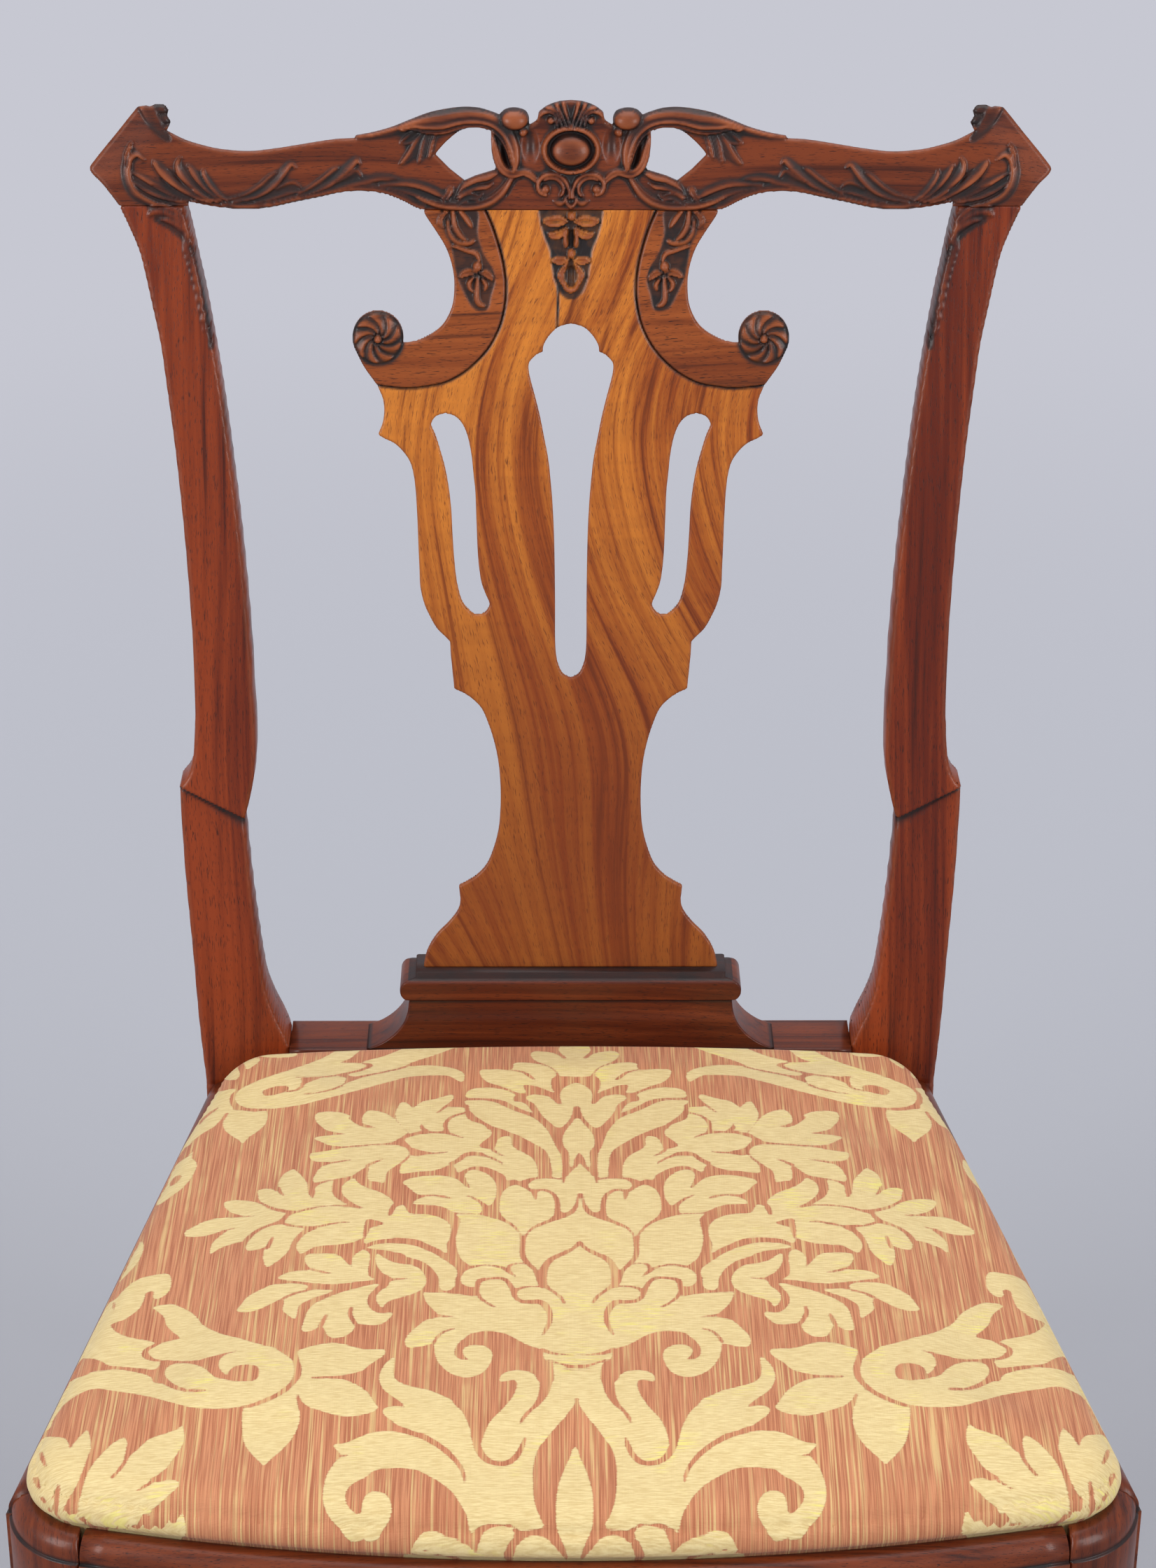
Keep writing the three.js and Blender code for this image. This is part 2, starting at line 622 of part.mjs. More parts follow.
// The shoe's moulding, as how far it stands out from the fillet at its top, and the height it is at
function shoeProfile(filletEdge, rollProud, footEdge) {
  const top = shoeTopZ;
  const rollTop = top - shoeFilletHeight;
  const rollBottom = rollTop - shoeRollHeight;
  const neck = filletEdge + rollProud - shoeNeckIn;
  const roll = Array.from({ length: arcSteps + 1 }, (_, i) => {
    const angle = mix(Math.PI / 2, -Math.PI / 2, i / arcSteps);
    return [filletEdge + rollProud * Math.sqrt(Math.cos(angle)),
      mix(rollBottom, rollTop, (1 + Math.sin(angle)) / 2)];
  });
  const bottom = rearRailTopZ + gap;
  const hollow = Array.from({ length: arcSteps + 1 }, (_, i) => {
    const angle = mix(0, Math.PI / 2, i / arcSteps);
    return [mix(neck, footEdge, 1 - Math.cos(angle)), mix(rollBottom, bottom, Math.sin(angle))];
  });
  return [[filletEdge, top], ...roll.slice(0, -1), [neck, rollBottom], ...hollow.slice(1)];
}

function shoe() {
  const halfWidth = splatFootHalfWidth + shoeLedge;
  const side = shoeProfile(halfWidth, shoeRollProud, halfWidth + shoeRollProud - shoeNeckIn + shoeFlare);
  const depthMiddle = shoeFilletSetBack + shoeDepth / 2;
  const railRear = rearRailSetBack + rearRailThickness - depthMiddle;
  const front = shoeProfile(shoeDepth / 2, shoeRollProudFront, depthMiddle - rearRailSetBack);
  const rear = shoeProfile(shoeDepth / 2, shoeRollProudFront, railRear);
  const across = plateXZ([...side, ...acrossX(side)], backFront, backRear);
  const along = plateYZ([
    ...front.map(([y, z]) => [depthMiddle - y, z]).reverse(),
    ...rear.map(([y, z]) => [depthMiddle + y, z]),
  ], -seatRearHalfWidth, seatRearHalfWidth);
  return across.intersect(along).subtract(splatFootTenon(gap));
}

// Front legs, rails, brackets and corner blocks

// Height along the leg below the rail, girth in knee radii, and how far out along the diagonal
const legShares = [
  [0, 0.82, 0], [0.012, 1, 0], [0.035, 1.07, 0], [0.062, 0.96, -0.2], [0.09, 0.74, -0.6],
  [0.125, 0.59, -1], [0.18, 0.52, -1.3], [0.27, 0.53, -1.3], [0.38, 0.57, -0.9], [0.48, 0.62, -0.3],
  [0.59, 0.7, 0.3], [0.7, 0.82, 0.8], [0.79, 0.93, 0.9], [0.87, 0.98, 0.4], [0.94, 0.92, -0.5],
  [1, 0.78, -1.3],
];
const bracketShares = [[0, -1], [-0.2, -0.68], [-0.48, -0.4], [-0.76, -0.28], [-1, -0.24]];

const legPostBottomZ = railBottomZ - kneePostDrop;
const legCentre = [legSeamX + legTopWidth / 2, legSeamY - legTopWidth / 2];

function frontLeg(ring) {
  const rings = legShares.map(([up, girth, out]) => {
    const away = out * kneeProud * Math.SQRT1_2;
    const centre = { x: legCentre[0] + away, y: legCentre[1] - away };
    return Array.from({ length: roundSides }, (_, i) =>
      [...onCircle(centre, girth * kneeRadius, 2 * Math.PI * i / roundSides), up * railBottomZ]);
  });
  const cabriole = loft(rings, rings[0].map(([x, y]) => [x, y]));
  const beyondX = block([0, farForward, legPostBottomZ], [legSeamX, 0, seatHeight]);
  const beyondY = block([0, legSeamY, legPostBottomZ], [farOut, 0, seatHeight]);
  const corner = block([legSeamX, farForward, 0], [farOut, legSeamY, seatHeight + overrun]);
  const plan = [sideAt(0, 0), ...frontEdge(0), [0, 0]];
  const post = plateXY(plan.reverse(), legPostBottomZ, ledgeZ).intersect(corner);
  const recess = plateXY([sideAt(0, quirkStep), ...frontEdge(quirkStep), [0, 0]].reverse(),
    seatHeight - ovoloRadius - quirkDrop, seatHeight);
  const shaft = post.subtract(block([0, farForward, seatHeight - ovoloRadius - quirkDrop],
    [farOut, 0, seatHeight]).subtract(recess));
  return cabriole.subtract(beyondX).subtract(beyondY).add(shaft).add(ring.intersect(corner))
    .subtract(frontRailTenon(gap)).subtract(sideRailFrontTenon(gap));
}

function frontRail(ring) {
  const between = block([-legSeamX + gap, farForward, 0], [legSeamX - gap, 0, seatHeight + overrun]);
  const front = block([-farOut, farForward, 0], [farOut, legSeamY, seatHeight + overrun]);
  const tenon = frontRailTenon();
  return ring.intersect(between).intersect(front).add(tenon).add(mirrored(tenon));
}

function sideRail(ring) {
  const behind = block([0, legSeamY + gap, 0], [farOut, overrun, seatHeight + overrun]);
  return ring.intersect(behind).add(sideRailFrontTenon()).add(sideRailRearTenon());
}

// The plan of a strip that follows the rails between two insets
function strip(insetOuter, insetInner) {
  const outline = (inset) => [sideAt(0, inset), ...frontEdge(inset)];
  return plateXY([...outline(insetOuter).reverse(), ...outline(insetInner)], 0, railBottomZ - gap);
}

const bracketProfile = (start) => {
  const curve = smooth(bracketShares.map(([along, down]) => [
    start + along * bracketLength, railBottomZ + down * (kneePostDrop - gap)]));
  return [...curve, [start - bracketLength, railBottomZ + overrun], [start, railBottomZ + overrun]];
};

function frontBracket() {
  const profile = bracketProfile(legSeamX - gap).reverse();
  return plateXZ(profile, farForward, legSeamY).intersect(strip(quirkStep, quirkStep + bracketThickness));
}

function sideBracket() {
  const profile = bracketProfile(-legSeamY - gap).map(([y, z]) => [-y, z]);
  return plateYZ(profile, 0, farOut).intersect(strip(quirkStep, quirkStep + bracketThickness));
}

const withinRails = () => plateXY(
  [sideAt(-gap, railThickness + gap), ...frontEdge(railThickness + gap), [0, -gap]].reverse(),
  ledgeZ - blockHeight, ledgeZ - gap);

function frontBlock() {
  const [x, y] = legCentre;
  const reach = blockReach + legTopWidth / 2;
  const triangle = plateXY([[x, y], [x, y + reach], [x - reach, y]], 0, seatHeight);
  const post = block([legSeamX - gap, farForward, 0], [farOut, legSeamY + gap, seatHeight]);
  return triangle.intersect(withinRails()).subtract(post);
}

function rearBlock() {
  const [x, y] = sideAt(-gap, railThickness);
  const triangle = plateXY([[x + overrun, y], [x - blockReach, y], [x + overrun, y - blockReach - overrun]],
    0, seatHeight);
  return triangle.intersect(withinRails());
}

// Loose seat

const coverEdge = lipWidth + seatClearance;
const frameEdge = coverEdge + coverThickness + gap;
const coverBottomZ = ledgeZ + gap;
const frameBottomZ = coverBottomZ + coverThickness + gap;
const frameTopZ = frameBottomZ + seatFrameThickness;
const webbingLengthZ = frameTopZ + gap;
const webbingCrossZ = webbingLengthZ + webbingThickness + gap;
const hessianZ = webbingCrossZ + webbingThickness + gap;
const stuffingZ = hessianZ + hessianThickness + gap;
const seatRearY = (inset) => -seatRearGap - (inset - coverEdge);

// The seat's plan at an inset from the rails' outer edge, with rounded rear corners
function seatLoop(inset) {
  const radius = rearCornerRadius - (inset - coverEdge);
  const rear = seatRearY(inset);
  const [cornerX] = sideAt(rear - radius, inset + radius);
  const centre = { x: cornerX, y: rear - radius };
  const corner = Array.from({ length: arcSteps + 1 }, (_, i) =>
    onCircle(centre, radius, mix(Math.PI / 2, sideOut.angle(), i / arcSteps)));
  const right = [[0, rear], ...corner, ...frontEdge(inset)];
  return [...right, ...acrossX(right.slice(1, -1))];
}

// Height above the rails' top, and inset from the cover's edge, of the cover's rolled edge
const coverEdgeShares = [[0, 0], [0.16, -1], [0.4, -0.85], [0.63, 0.3], [0.82, 2.6], [1, 6.4]];
const crownShares = [0.86, 0.66, 0.42, 0.18];

// The crowned form of the upholstery, drawn inside the cover's face by a skin
function cushionRings(zLow, skin) {
  const rolled = coverEdgeShares.map(([up, inset]) =>
    [coverEdge + skin + inset * coverBulge, seatHeight + up * (coverRise - skin)]);
  const above = rolled.filter(([, z]) => z > zLow);
  const [insetAbove, zAbove] = above[0];
  const [insetBelow, zBelow] = rolled[rolled.length - above.length - 1] ?? [insetAbove, zLow];
  const start = mix(insetBelow, insetAbove, (zLow - zBelow) / (zAbove - zBelow));
  const rings = [[start, zLow], ...above].map(([inset, z]) =>
    seatLoop(inset).map(([x, y]) => [x, y, z]));
  const shoulder = rings.at(-1);
  const centreY = (seatRearY(coverEdge) - seatDepth) / 2;
  for (const share of crownShares) {
    rings.push(shoulder.map(([x, y, z]) =>
      [share * x, mix(centreY, y, share), z + crownHeight * (1 - share ** 2)]));
  }
  return rings;
}

function cushion(zLow, skin) {
  const rings = cushionRings(zLow, skin);
  return loft(rings, rings[0].map(([x, y]) => [x, y]));
}

function seatCover() {
  const inside = cushion(coverBottomZ + coverThickness, coverThickness);
  const opening = plateXY(seatLoop(coverEdge + coverTurnUnder), ledgeZ - overrun, frameBottomZ);
  return cushion(coverBottomZ, 0).subtract(inside).subtract(opening);
}

// The side members run between the front and rear members
function seatFrame() {
  const inner = frameEdge + seatFrameWidth;
  const rear = seatRearY(inner);
  const front = -seatDepth + inner - frontBow / 2;
  const hole = [sideAt(rear, inner), sideAt(front, inner)];
  const ring = plateXY(seatLoop(frameEdge), frameBottomZ, frameTopZ, [[...hole, ...acrossX(hole)]]);
  const rearPart = block([-farOut, rear, 0], [farOut, overrun, seatHeight + overrun]);
  const frontPart = block([-farOut, farForward, 0], [farOut, front, seatHeight + overrun]);
  const sidePart = block([0, front + gap, 0], [farOut, rear - gap, seatHeight + overrun]);
  return [ring.intersect(frontPart), ring.intersect(rearPart), ring.intersect(sidePart)];
}

const spread = (count, low, high) =>
  Array.from({ length: count }, (_, i) => mix(low, high, (i + 0.5) / count));

function webbingLengthwise() {
  const rear = seatRearY(frameEdge + seatFrameWidth / 2);
  const front = -seatDepth + frameEdge + seatFrameWidth / 2;
  const half = sideAt(rear, frameEdge + seatFrameWidth)[0];
  return spread(webbingCount, -half, half).map((x) => block(
    [x - webbingWidth / 2, front, webbingLengthZ],
    [x + webbingWidth / 2, rear, webbingLengthZ + webbingThickness]));
}

function webbingCrosswise() {
  const rear = seatRearY(frameEdge + seatFrameWidth);
  const front = -seatDepth + frameEdge + seatFrameWidth;
  return spread(webbingCount, front, rear).map((y) => {
    const half = sideAt(y, frameEdge + seatFrameWidth / 2)[0];
    return block([-half, y - webbingWidth / 2, webbingCrossZ],
      [half, y + webbingWidth / 2, webbingCrossZ + webbingThickness]);
  });
}

function hessian() {
  const inset = frameEdge + seatFrameWidth / 4;
  return plateXY(seatLoop(inset), hessianZ, hessianZ + hessianThickness);
}

// Assembly

function pair(name, solid, look) {
  return [piece(`${name}_left`, mirrored(solid), look), piece(`${name}_right`, solid, look)];
}

function row(name, solids, look) {
  return solids.map((solid, i) => piece(`${name}_${i + 1}`, solid, look));
}

function backPieces() {
  return [
    piece('crest_rail', crestRail(), walnut),
    piece('splat', splat(), figuredWalnut),
    ...pair('scroll_wing', scrollWing(), walnut),
    ...pair('rear_post', rearPost(), walnut),
    piece('shoe', shoe(), walnut),
  ];
}

function seatRailPieces() {
  const ring = railRing();
  return [
    piece('rear_seat_rail', rearRail(), walnut),
    ...pair('side_seat_rail', sideRail(ring), walnut),
    piece('front_seat_rail', frontRail(ring), walnut),
    ...pair('front_leg', frontLeg(ring), walnut),
    ...pair('knee_bracket_front', frontBracket(), walnut),
    ...pair('knee_bracket_side', sideBracket(), walnut),
    ...pair('corner_block_front', frontBlock(), beech),
    ...pair('corner_block_rear', rearBlock(), beech),
  ];
}

function looseSeatPieces() {
  const [frontMember, rearMember, sideMember] = seatFrame();
  return [
    piece('seat_frame_front', frontMember, beech),
    piece('seat_frame_rear', rearMember, beech),
    ...pair('seat_frame_side', sideMember, beech),
    ...row('webbing_lengthwise', webbingLengthwise(), jute),
    ...row('webbing_crosswise', webbingCrosswise(), jute),
    piece('hessian', hessian(), jute),
    piece('seat_stuffing', cushion(stuffingZ, coverThickness + gap), horsehair),
    piece('seat_cover', seatCover(), damask),
  ];
}

const chair = new THREE.Group();
chair.add(...backPieces(), ...seatRailPieces(), ...looseSeatPieces());
const box = new THREE.Box3().setFromObject(chair);
chair.position.y = -(box.min.y + box.max.y) / 2;

export default chair;
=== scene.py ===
import math

import bmesh
import bpy
import numpy as np
from mathutils import Matrix, Vector
from mathutils.bvhtree import BVHTree


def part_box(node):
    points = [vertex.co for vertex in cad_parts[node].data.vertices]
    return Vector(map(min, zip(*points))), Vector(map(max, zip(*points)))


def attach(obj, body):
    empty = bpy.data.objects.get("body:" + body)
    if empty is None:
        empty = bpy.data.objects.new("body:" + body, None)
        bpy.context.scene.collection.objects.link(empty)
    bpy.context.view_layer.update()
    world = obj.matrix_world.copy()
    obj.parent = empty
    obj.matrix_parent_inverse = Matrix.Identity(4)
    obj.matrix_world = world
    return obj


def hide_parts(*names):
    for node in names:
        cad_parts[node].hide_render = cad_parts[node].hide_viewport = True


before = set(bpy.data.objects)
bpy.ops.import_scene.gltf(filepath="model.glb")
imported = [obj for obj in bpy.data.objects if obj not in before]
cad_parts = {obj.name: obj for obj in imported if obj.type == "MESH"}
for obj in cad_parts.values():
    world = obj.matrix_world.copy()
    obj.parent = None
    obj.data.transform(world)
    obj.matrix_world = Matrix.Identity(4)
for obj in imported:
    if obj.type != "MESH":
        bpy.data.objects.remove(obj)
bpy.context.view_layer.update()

MM = 0.001
FRONT_REACH = 447.0
Y0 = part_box("front_seat_rail")[0][1] / MM + FRONT_REACH

# Sizes shared by several pieces
SEAT_Z = 440.0
BACK_RAKE = 0.158
BACK_RADIUS = 4500.0
CREST_SEAM_Z = 930.0
POST_TOP_Z = 932.0
REAR_RAIL_TOP_Z = 460.0
SHOE_TOP_Z = 509.0
SEAM_GAP = 0.15
# Where the photograph was taken from
CAMERA_AT = (-10.7, -1744.2, 1500.7)

FRAME_BODY = "chair_frame"
SEAT_BODY = "loose_seat"


# Curves

def smooth(points, steps=5):
    """A Catmull-Rom curve through points of any dimension."""
    p = np.asarray(points, float)
    if len(p) < 3:
        return p
    ends = np.vstack([2 * p[0] - p[1], p, 2 * p[-1] - p[-2]])
    t = (np.arange(steps) / steps)[:, None]
    parts = []
    for a, b, c, d in zip(ends, ends[1:], ends[2:], ends[3:]):
        parts.append(0.5 * (2 * b + (c - a) * t + (2 * a - 5 * b + 4 * c - d) * t ** 2
                            + (3 * b - a - 3 * c + d) * t ** 3))
    return np.vstack(parts + [p[-1:]])


def drawn(*runs):
    """Smooth runs joined at corners."""
    return np.vstack([smooth(run) for run in runs])


def mirrored(points):
    """The points on the other side of the middle line."""
    out = np.array(points, float)
    out[:, 0] *= -1
    return out


def both_sides(half):
    """A closed loop from a half outline that starts and ends on the middle line."""
    half = np.asarray(half, float)
    return np.vstack([half, mirrored(half)[::-1]])


def ring_of(loop):
    """A loop with its first point repeated at its end."""
    return np.vstack([loop, loop[:1]])


def arc(centre, radius, start, end, count):
    """Points round a centre between two angles in degrees."""
    angles = np.radians(np.linspace(start, end, count))
    return np.stack([centre[0] + radius * np.cos(angles), centre[1] + radius * np.sin(angles)], 1)


def ramp(low, high, value):
    """0 at low, 1 at high, and an S curve between them."""
    t = np.clip((value - low) / (high - low), 0, 1)
    return t * t * (3 - 2 * t)


def back_face(z):
    """Y of the back's front face at a height."""
    rise = np.maximum(np.asarray(z, float) - SEAT_Z, 0)
    return BACK_RAKE * rise + rise ** 2 / (2 * BACK_RADIUS)


# Meshes

def build(name, points, faces, material, body, values=None):
    """A mesh object from points in millimetres, riding on a body."""
    points = np.asarray(points, float)
    mesh = bpy.data.meshes.new(name)
    mesh.vertices.add(len(points))
    mesh.vertices.foreach_set("co", ((points + [0, Y0, 0]) * MM).ravel())
    groups = [np.asarray(group) for group in faces]
    counts = np.concatenate([np.full(len(group), group.shape[1]) for group in groups])
    mesh.loops.add(int(counts.sum()))
    mesh.loops.foreach_set("vertex_index", np.concatenate([g.ravel() for g in groups]).astype(np.int32))
    mesh.polygons.add(len(counts))
    starts = np.concatenate([[0], np.cumsum(counts)[:-1]]).astype(np.int32)
    mesh.polygons.foreach_set("loop_start", starts)
    mesh.update(calc_edges=True)
    mesh.validate()
    mesh.shade_smooth()
    for key, value in (values or {}).items():
        layer = mesh.attributes.new(name=key, type="FLOAT", domain="POINT")
        layer.data.foreach_set("value", np.asarray(value, np.float32))
    thing = bpy.data.objects.new(name, mesh)
    bpy.context.scene.collection.objects.link(thing)
    mesh.materials.append(material)
    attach(thing, body)
    return thing


def weld(thing):
    """Joins points that fall together, so that no empty face is left."""
    shape = bmesh.new()
    shape.from_mesh(thing.data)
    bmesh.ops.remove_doubles(shape, verts=shape.verts, dist=1e-6)
    shape.to_mesh(thing.data)
    shape.free()


def sweep(rings):
    """Quads through rings of equal counts of points, with an n-gon at each end."""
    rings = np.asarray(rings, float)
    count, sides = rings.shape[:2]
    i = np.arange(count - 1)[:, None] * sides
    k = np.arange(sides)[None, :]
    after = (k + 1) % sides
    quads = np.stack([i + k, i + after, i + sides + after, i + sides + k], -1).reshape(-1, 4)
    first = np.arange(sides)[::-1][None, :]
    last = (np.arange(sides) + (count - 1) * sides)[None, :]
    points = rings.reshape(-1, 3)
    return points, oriented(points, [quads, first, last])


def oriented(points, faces):
    """The faces turned so that the closed surface encloses a positive volume."""
    volume = 0.0
    for group in faces:
        a = points[group[:, 0]]
        for n in range(1, group.shape[1] - 1):
            volume += np.einsum("ij,ij->", a, np.cross(points[group[:, n]], points[group[:, n + 1]]))
    return faces if volume > 0 else [group[:, ::-1] for group in faces]


def blurred(field, radius):
    """A Gaussian blur over a grid, radius in cells."""
    reach = max(1, int(math.ceil(2.5 * radius)))
    weights = np.exp(-0.5 * (np.arange(-reach, reach + 1) / radius) ** 2)
    weights /= weights.sum()
    out = field
    for axis in (0, 1):
        padded = np.pad(out, [(reach, reach) if a == axis else (0, 0) for a in (0, 1)], mode="edge")
        size = out.shape[axis]
        out = sum(w * np.take(padded, np.arange(k, k + size), axis) for k, w in enumerate(weights))
    return out


# How wide old wax and painted shade lie round carving, and the width that the relief is compared over
WAX_AND_SHADE_HALO = 1.6
PATINA_REACH = 2.2


class Sheet:
    """A square grid of points over an outline, in mm, that carries a carved relief."""

    def __init__(self, loops, step, rolled=None, reach=24.0):
        every = np.vstack(loops)
        low, high = every.min(0) - 2 * step, every.max(0) + 2 * step
        self.step = step
        self.low = low
        self.nu, self.nv = (np.ceil((high - low) / step)).astype(int) + 1
        self.u, self.v = np.meshgrid(low[0] + step * np.arange(self.nu),
                                     low[1] + step * np.arange(self.nv), indexing="ij")
        inside = self.inside(loops)
        distance = self.nearest([ring_of(loop) for loop in loops], reach)
        self.depth = np.where(inside, distance, -distance)
        self.edge = distance if rolled is None else self.nearest(rolled, reach)
        self.relief = np.zeros(self.u.shape)
        self.cover = np.zeros(self.u.shape)
        self.dirt_and_shade = np.zeros(self.u.shape)

    def window(self, points, margin):
        """The slices of the grid round some points."""
        low = np.floor((points.min(0) - margin - self.low) / self.step).astype(int)
        high = np.ceil((points.max(0) + margin - self.low) / self.step).astype(int) + 1
        low = np.maximum(low, 0)
        high = np.minimum(high, [self.nu, self.nv])
        if np.any(high <= low):
            return None
        return slice(low[0], high[0]), slice(low[1], high[1])

    def nearest(self, lines, reach):
        """How far each grid point is from the lines, up to a reach."""
        best = np.full(self.u.shape, float(reach))
        for line in lines:
            for a, b in zip(line[:-1], line[1:]):
                spot = self.window(np.array([a[:2], b[:2]]), reach)
                if spot is None:
                    continue
                du, dv = b[0] - a[0], b[1] - a[1]
                square = max(du * du + dv * dv, 1e-9)
                pu, pv = self.u[spot] - a[0], self.v[spot] - a[1]
                t = np.clip((pu * du + pv * dv) / square, 0, 1)
                best[spot] = np.minimum(best[spot], np.hypot(pu - t * du, pv - t * dv))
        return best

    def sample(self, field, x, y, ease=0.0):
        """A field of the grid read between its points, with an ease that rounds the steps."""
        u, v = (x - self.low[0]) / self.step, (y - self.low[1]) / self.step
        i = np.clip(np.floor(u).astype(int), 0, self.nu - 2)
        j = np.clip(np.floor(v).astype(int), 0, self.nv - 2)
        s, t = np.clip(u - i, 0, 1), np.clip(v - j, 0, 1)
        s = ramp(0, 1, s) * ease + s * (1 - ease)
        t = ramp(0, 1, t) * ease + t * (1 - ease)
        near = field[i, j] * (1 - s) + field[i + 1, j] * s
        far = field[i, j + 1] * (1 - s) + field[i + 1, j + 1] * s
        return near * (1 - t) + far * t

    def inside(self, loops):
        """Even-odd test, row by row."""
        a = np.vstack(loops)
        b = np.vstack([np.roll(loop, -1, 0) for loop in loops])
        out = np.zeros(self.u.shape, bool)
        across = self.u[:, 0]
        for j in range(self.nv):
            level = self.v[0, j] + 1e-5
            hit = (a[:, 1] > level) != (b[:, 1] > level)
            p, q = a[hit], b[hit]
            cross = p[:, 0] + (level - p[:, 1]) / (q[:, 1] - p[:, 1]) * (q[:, 0] - p[:, 0])
            out[:, j] = np.searchsorted(np.sort(cross), across) % 2 == 1
        return out

    def along(self, path):
        """For a path of (u, v, half-width): the grid's window, and there the distance and the
        signed sideways distance, both in half-widths."""
        line = smooth(path, 4)
        spot = self.window(line[:, :2], line[:, 2].max() + self.step)
        if spot is None:
            return None
        u, v = self.u[spot], self.v[spot]
        best = np.full(u.shape, 1e9)
        side = np.zeros(u.shape)
        for a, b in zip(line[:-1], line[1:]):
            du, dv = b[0] - a[0], b[1] - a[1]
            length = max(math.hypot(du, dv), 1e-6)
            pu, pv = u - a[0], v - a[1]
            t = np.clip((pu * du + pv * dv) / length ** 2, 0, 1)
            width = a[2] + t * (b[2] - a[2])
            far = np.hypot(pu - t * du, pv - t * dv) / width
            closer = far < best
            best = np.where(closer, far, best)
            side = np.where(closer, (pu * dv - pv * du) / length / width, side)
        return spot, best, side

    def stroke(self, path, height, form="leaf", ribs=(), lift=0.0, over=True, mirror=True):
        """Carves one stroke: a leaf, fold, turn, dome, bead or groove along a path."""
        for sign in ((1, -1) if mirror else (1,)):
            found = self.along(path if sign > 0 else mirrored(path))
            if found is None:
                continue
            spot, far, side = found
            side = np.clip(side, -1, 1) * sign
            shape = FORMS[form](np.clip(far, 0, 1), side)
            for place, width, amount in ribs:
                shape = shape + amount / height * np.clip(1 - ((side - place) / width) ** 2, 0, 1)
            if over:
                blend = ramp(0, 0.22, 1 - far)
                self.relief[spot] = self.relief[spot] * (1 - blend) + (lift + height * shape) * blend
                self.cover[spot] = np.maximum(self.cover[spot], blend)
            else:
                self.relief[spot] += height * shape * (far < 1)

    def knob(self, centre, radii, height, lift=0.0, mirror=True):
        """A round or oval boss."""
        for sign in ((1, -1) if mirror else (1,)):
            far = ((self.u - sign * centre[0]) / radii[0]) ** 2 + ((self.v - centre[1]) / radii[1]) ** 2
            shape = np.sqrt(np.clip(1 - far, 0, 1))
            blend = ramp(0, 0.12, 1 - far)
            self.relief = self.relief * (1 - blend) + (lift + height * shape) * blend
            self.cover = np.maximum(self.cover, ramp(0, 0.3, 1.25 - far))

    def dish(self, centre, radii, depth):
        """A shallow hollow on both sides of the middle."""
        for sign in (1, -1):
            far = ((self.u - sign * centre[0]) / radii[0]) ** 2 + ((self.v - centre[1]) / radii[1]) ** 2
            self.relief -= depth * np.clip(1 - far, 0, 1) ** 1.5

    def sink(self, loop, depth, soft):
        """Lowers a ground inside a loop, and darkens it with old wax and painted shade."""
        inside = self.inside([loop])
        distance = self.nearest([ring_of(loop)], 3 * soft)
        amount = ramp(-soft, soft, np.where(inside, distance, -distance))
        self.relief -= depth * amount
        self.dirt_and_shade = np.maximum(self.dirt_and_shade, amount)

    def patina_and_shading(self, fine):
        """How dark each point is with old wax and painted shade, and how bright with rubbed wear and
        painted highlight, from how far the relief stands over its surroundings."""
        near = blurred(self.relief, fine / self.step)
        wide = blurred(self.relief, PATINA_REACH / self.step)
        rise = near - wide
        carved = np.maximum(ramp(0.05, 0.6, blurred(self.cover, WAX_AND_SHADE_HALO / self.step)),
                            ramp(0.1, 0.9, self.dirt_and_shade))
        # Ridges get rubbed wear and a painted highlight; the carving's surroundings and every hollow get
        # old wax and painted shade
        worn_and_lit = ramp(0.2, 0.8, rise) * carved
        dark = np.clip(carved * (1 - 0.85 * ramp(-0.18, 0.5, rise)) + ramp(0.2, 0.9, -rise), 0, 1)
        return dark, worn_and_lit

    def net(self):
        """The grid's cells inside the outline: points, quads and the directed border edges."""
        middle = self.depth[:-1, :-1] + self.depth[1:, :-1] + self.depth[:-1, 1:] + self.depth[1:, 1:]
        cells = middle > 0
        # Cells that would meet only at a corner get a third between them
        a, b = cells[:-1, :-1], cells[1:, 1:]
        c, d = cells[1:, :-1], cells[:-1, 1:]
        cells[1:, :-1] |= a & b & ~c & ~d
        cells[:-1, :-1] |= cells[1:, :-1] & cells[:-1, 1:] & ~cells[:-1, :-1] & ~cells[1:, 1:]
        count = np.zeros(self.u.shape, int)
        for i in (0, 1):
            for j in (0, 1):
                count[i:self.nu - 1 + i, j:self.nv - 1 + j] += cells
        used = count > 0
        number = np.full(self.u.shape, -1)
        number[used] = np.arange(used.sum())
        # The border's points slide on to the outline
        gu, gv = np.gradient(self.depth, self.step)
        size = np.maximum(np.hypot(gu, gv), 0.3)
        limit = 0.9 * self.step
        shift = np.clip(self.depth, -limit, limit) / size
        border = used & (count < 4)
        u = np.where(border, self.u - shift * gu, self.u)
        v = np.where(border, self.v - shift * gv, self.v)
        i, j = np.nonzero(cells)
        quads = np.stack([number[i, j], number[i + 1, j], number[i + 1, j + 1], number[i, j + 1]], 1)
        wide = np.pad(cells, 1)
        sides = []
        for di, dj, p, q in ((0, -1, (0, 0), (1, 0)), (1, 0, (1, 0), (1, 1)),
                             (0, 1, (1, 1), (0, 1)), (-1, 0, (0, 1), (0, 0))):
            open_side = ~wide[i + 1 + di, j + 1 + dj]
            si, sj = i[open_side], j[open_side]
            sides.append(np.stack([number[si + p[0], sj + p[1]], number[si + q[0], sj + q[1]]], 1))
        return used, u[used], v[used], quads, np.vstack(sides)


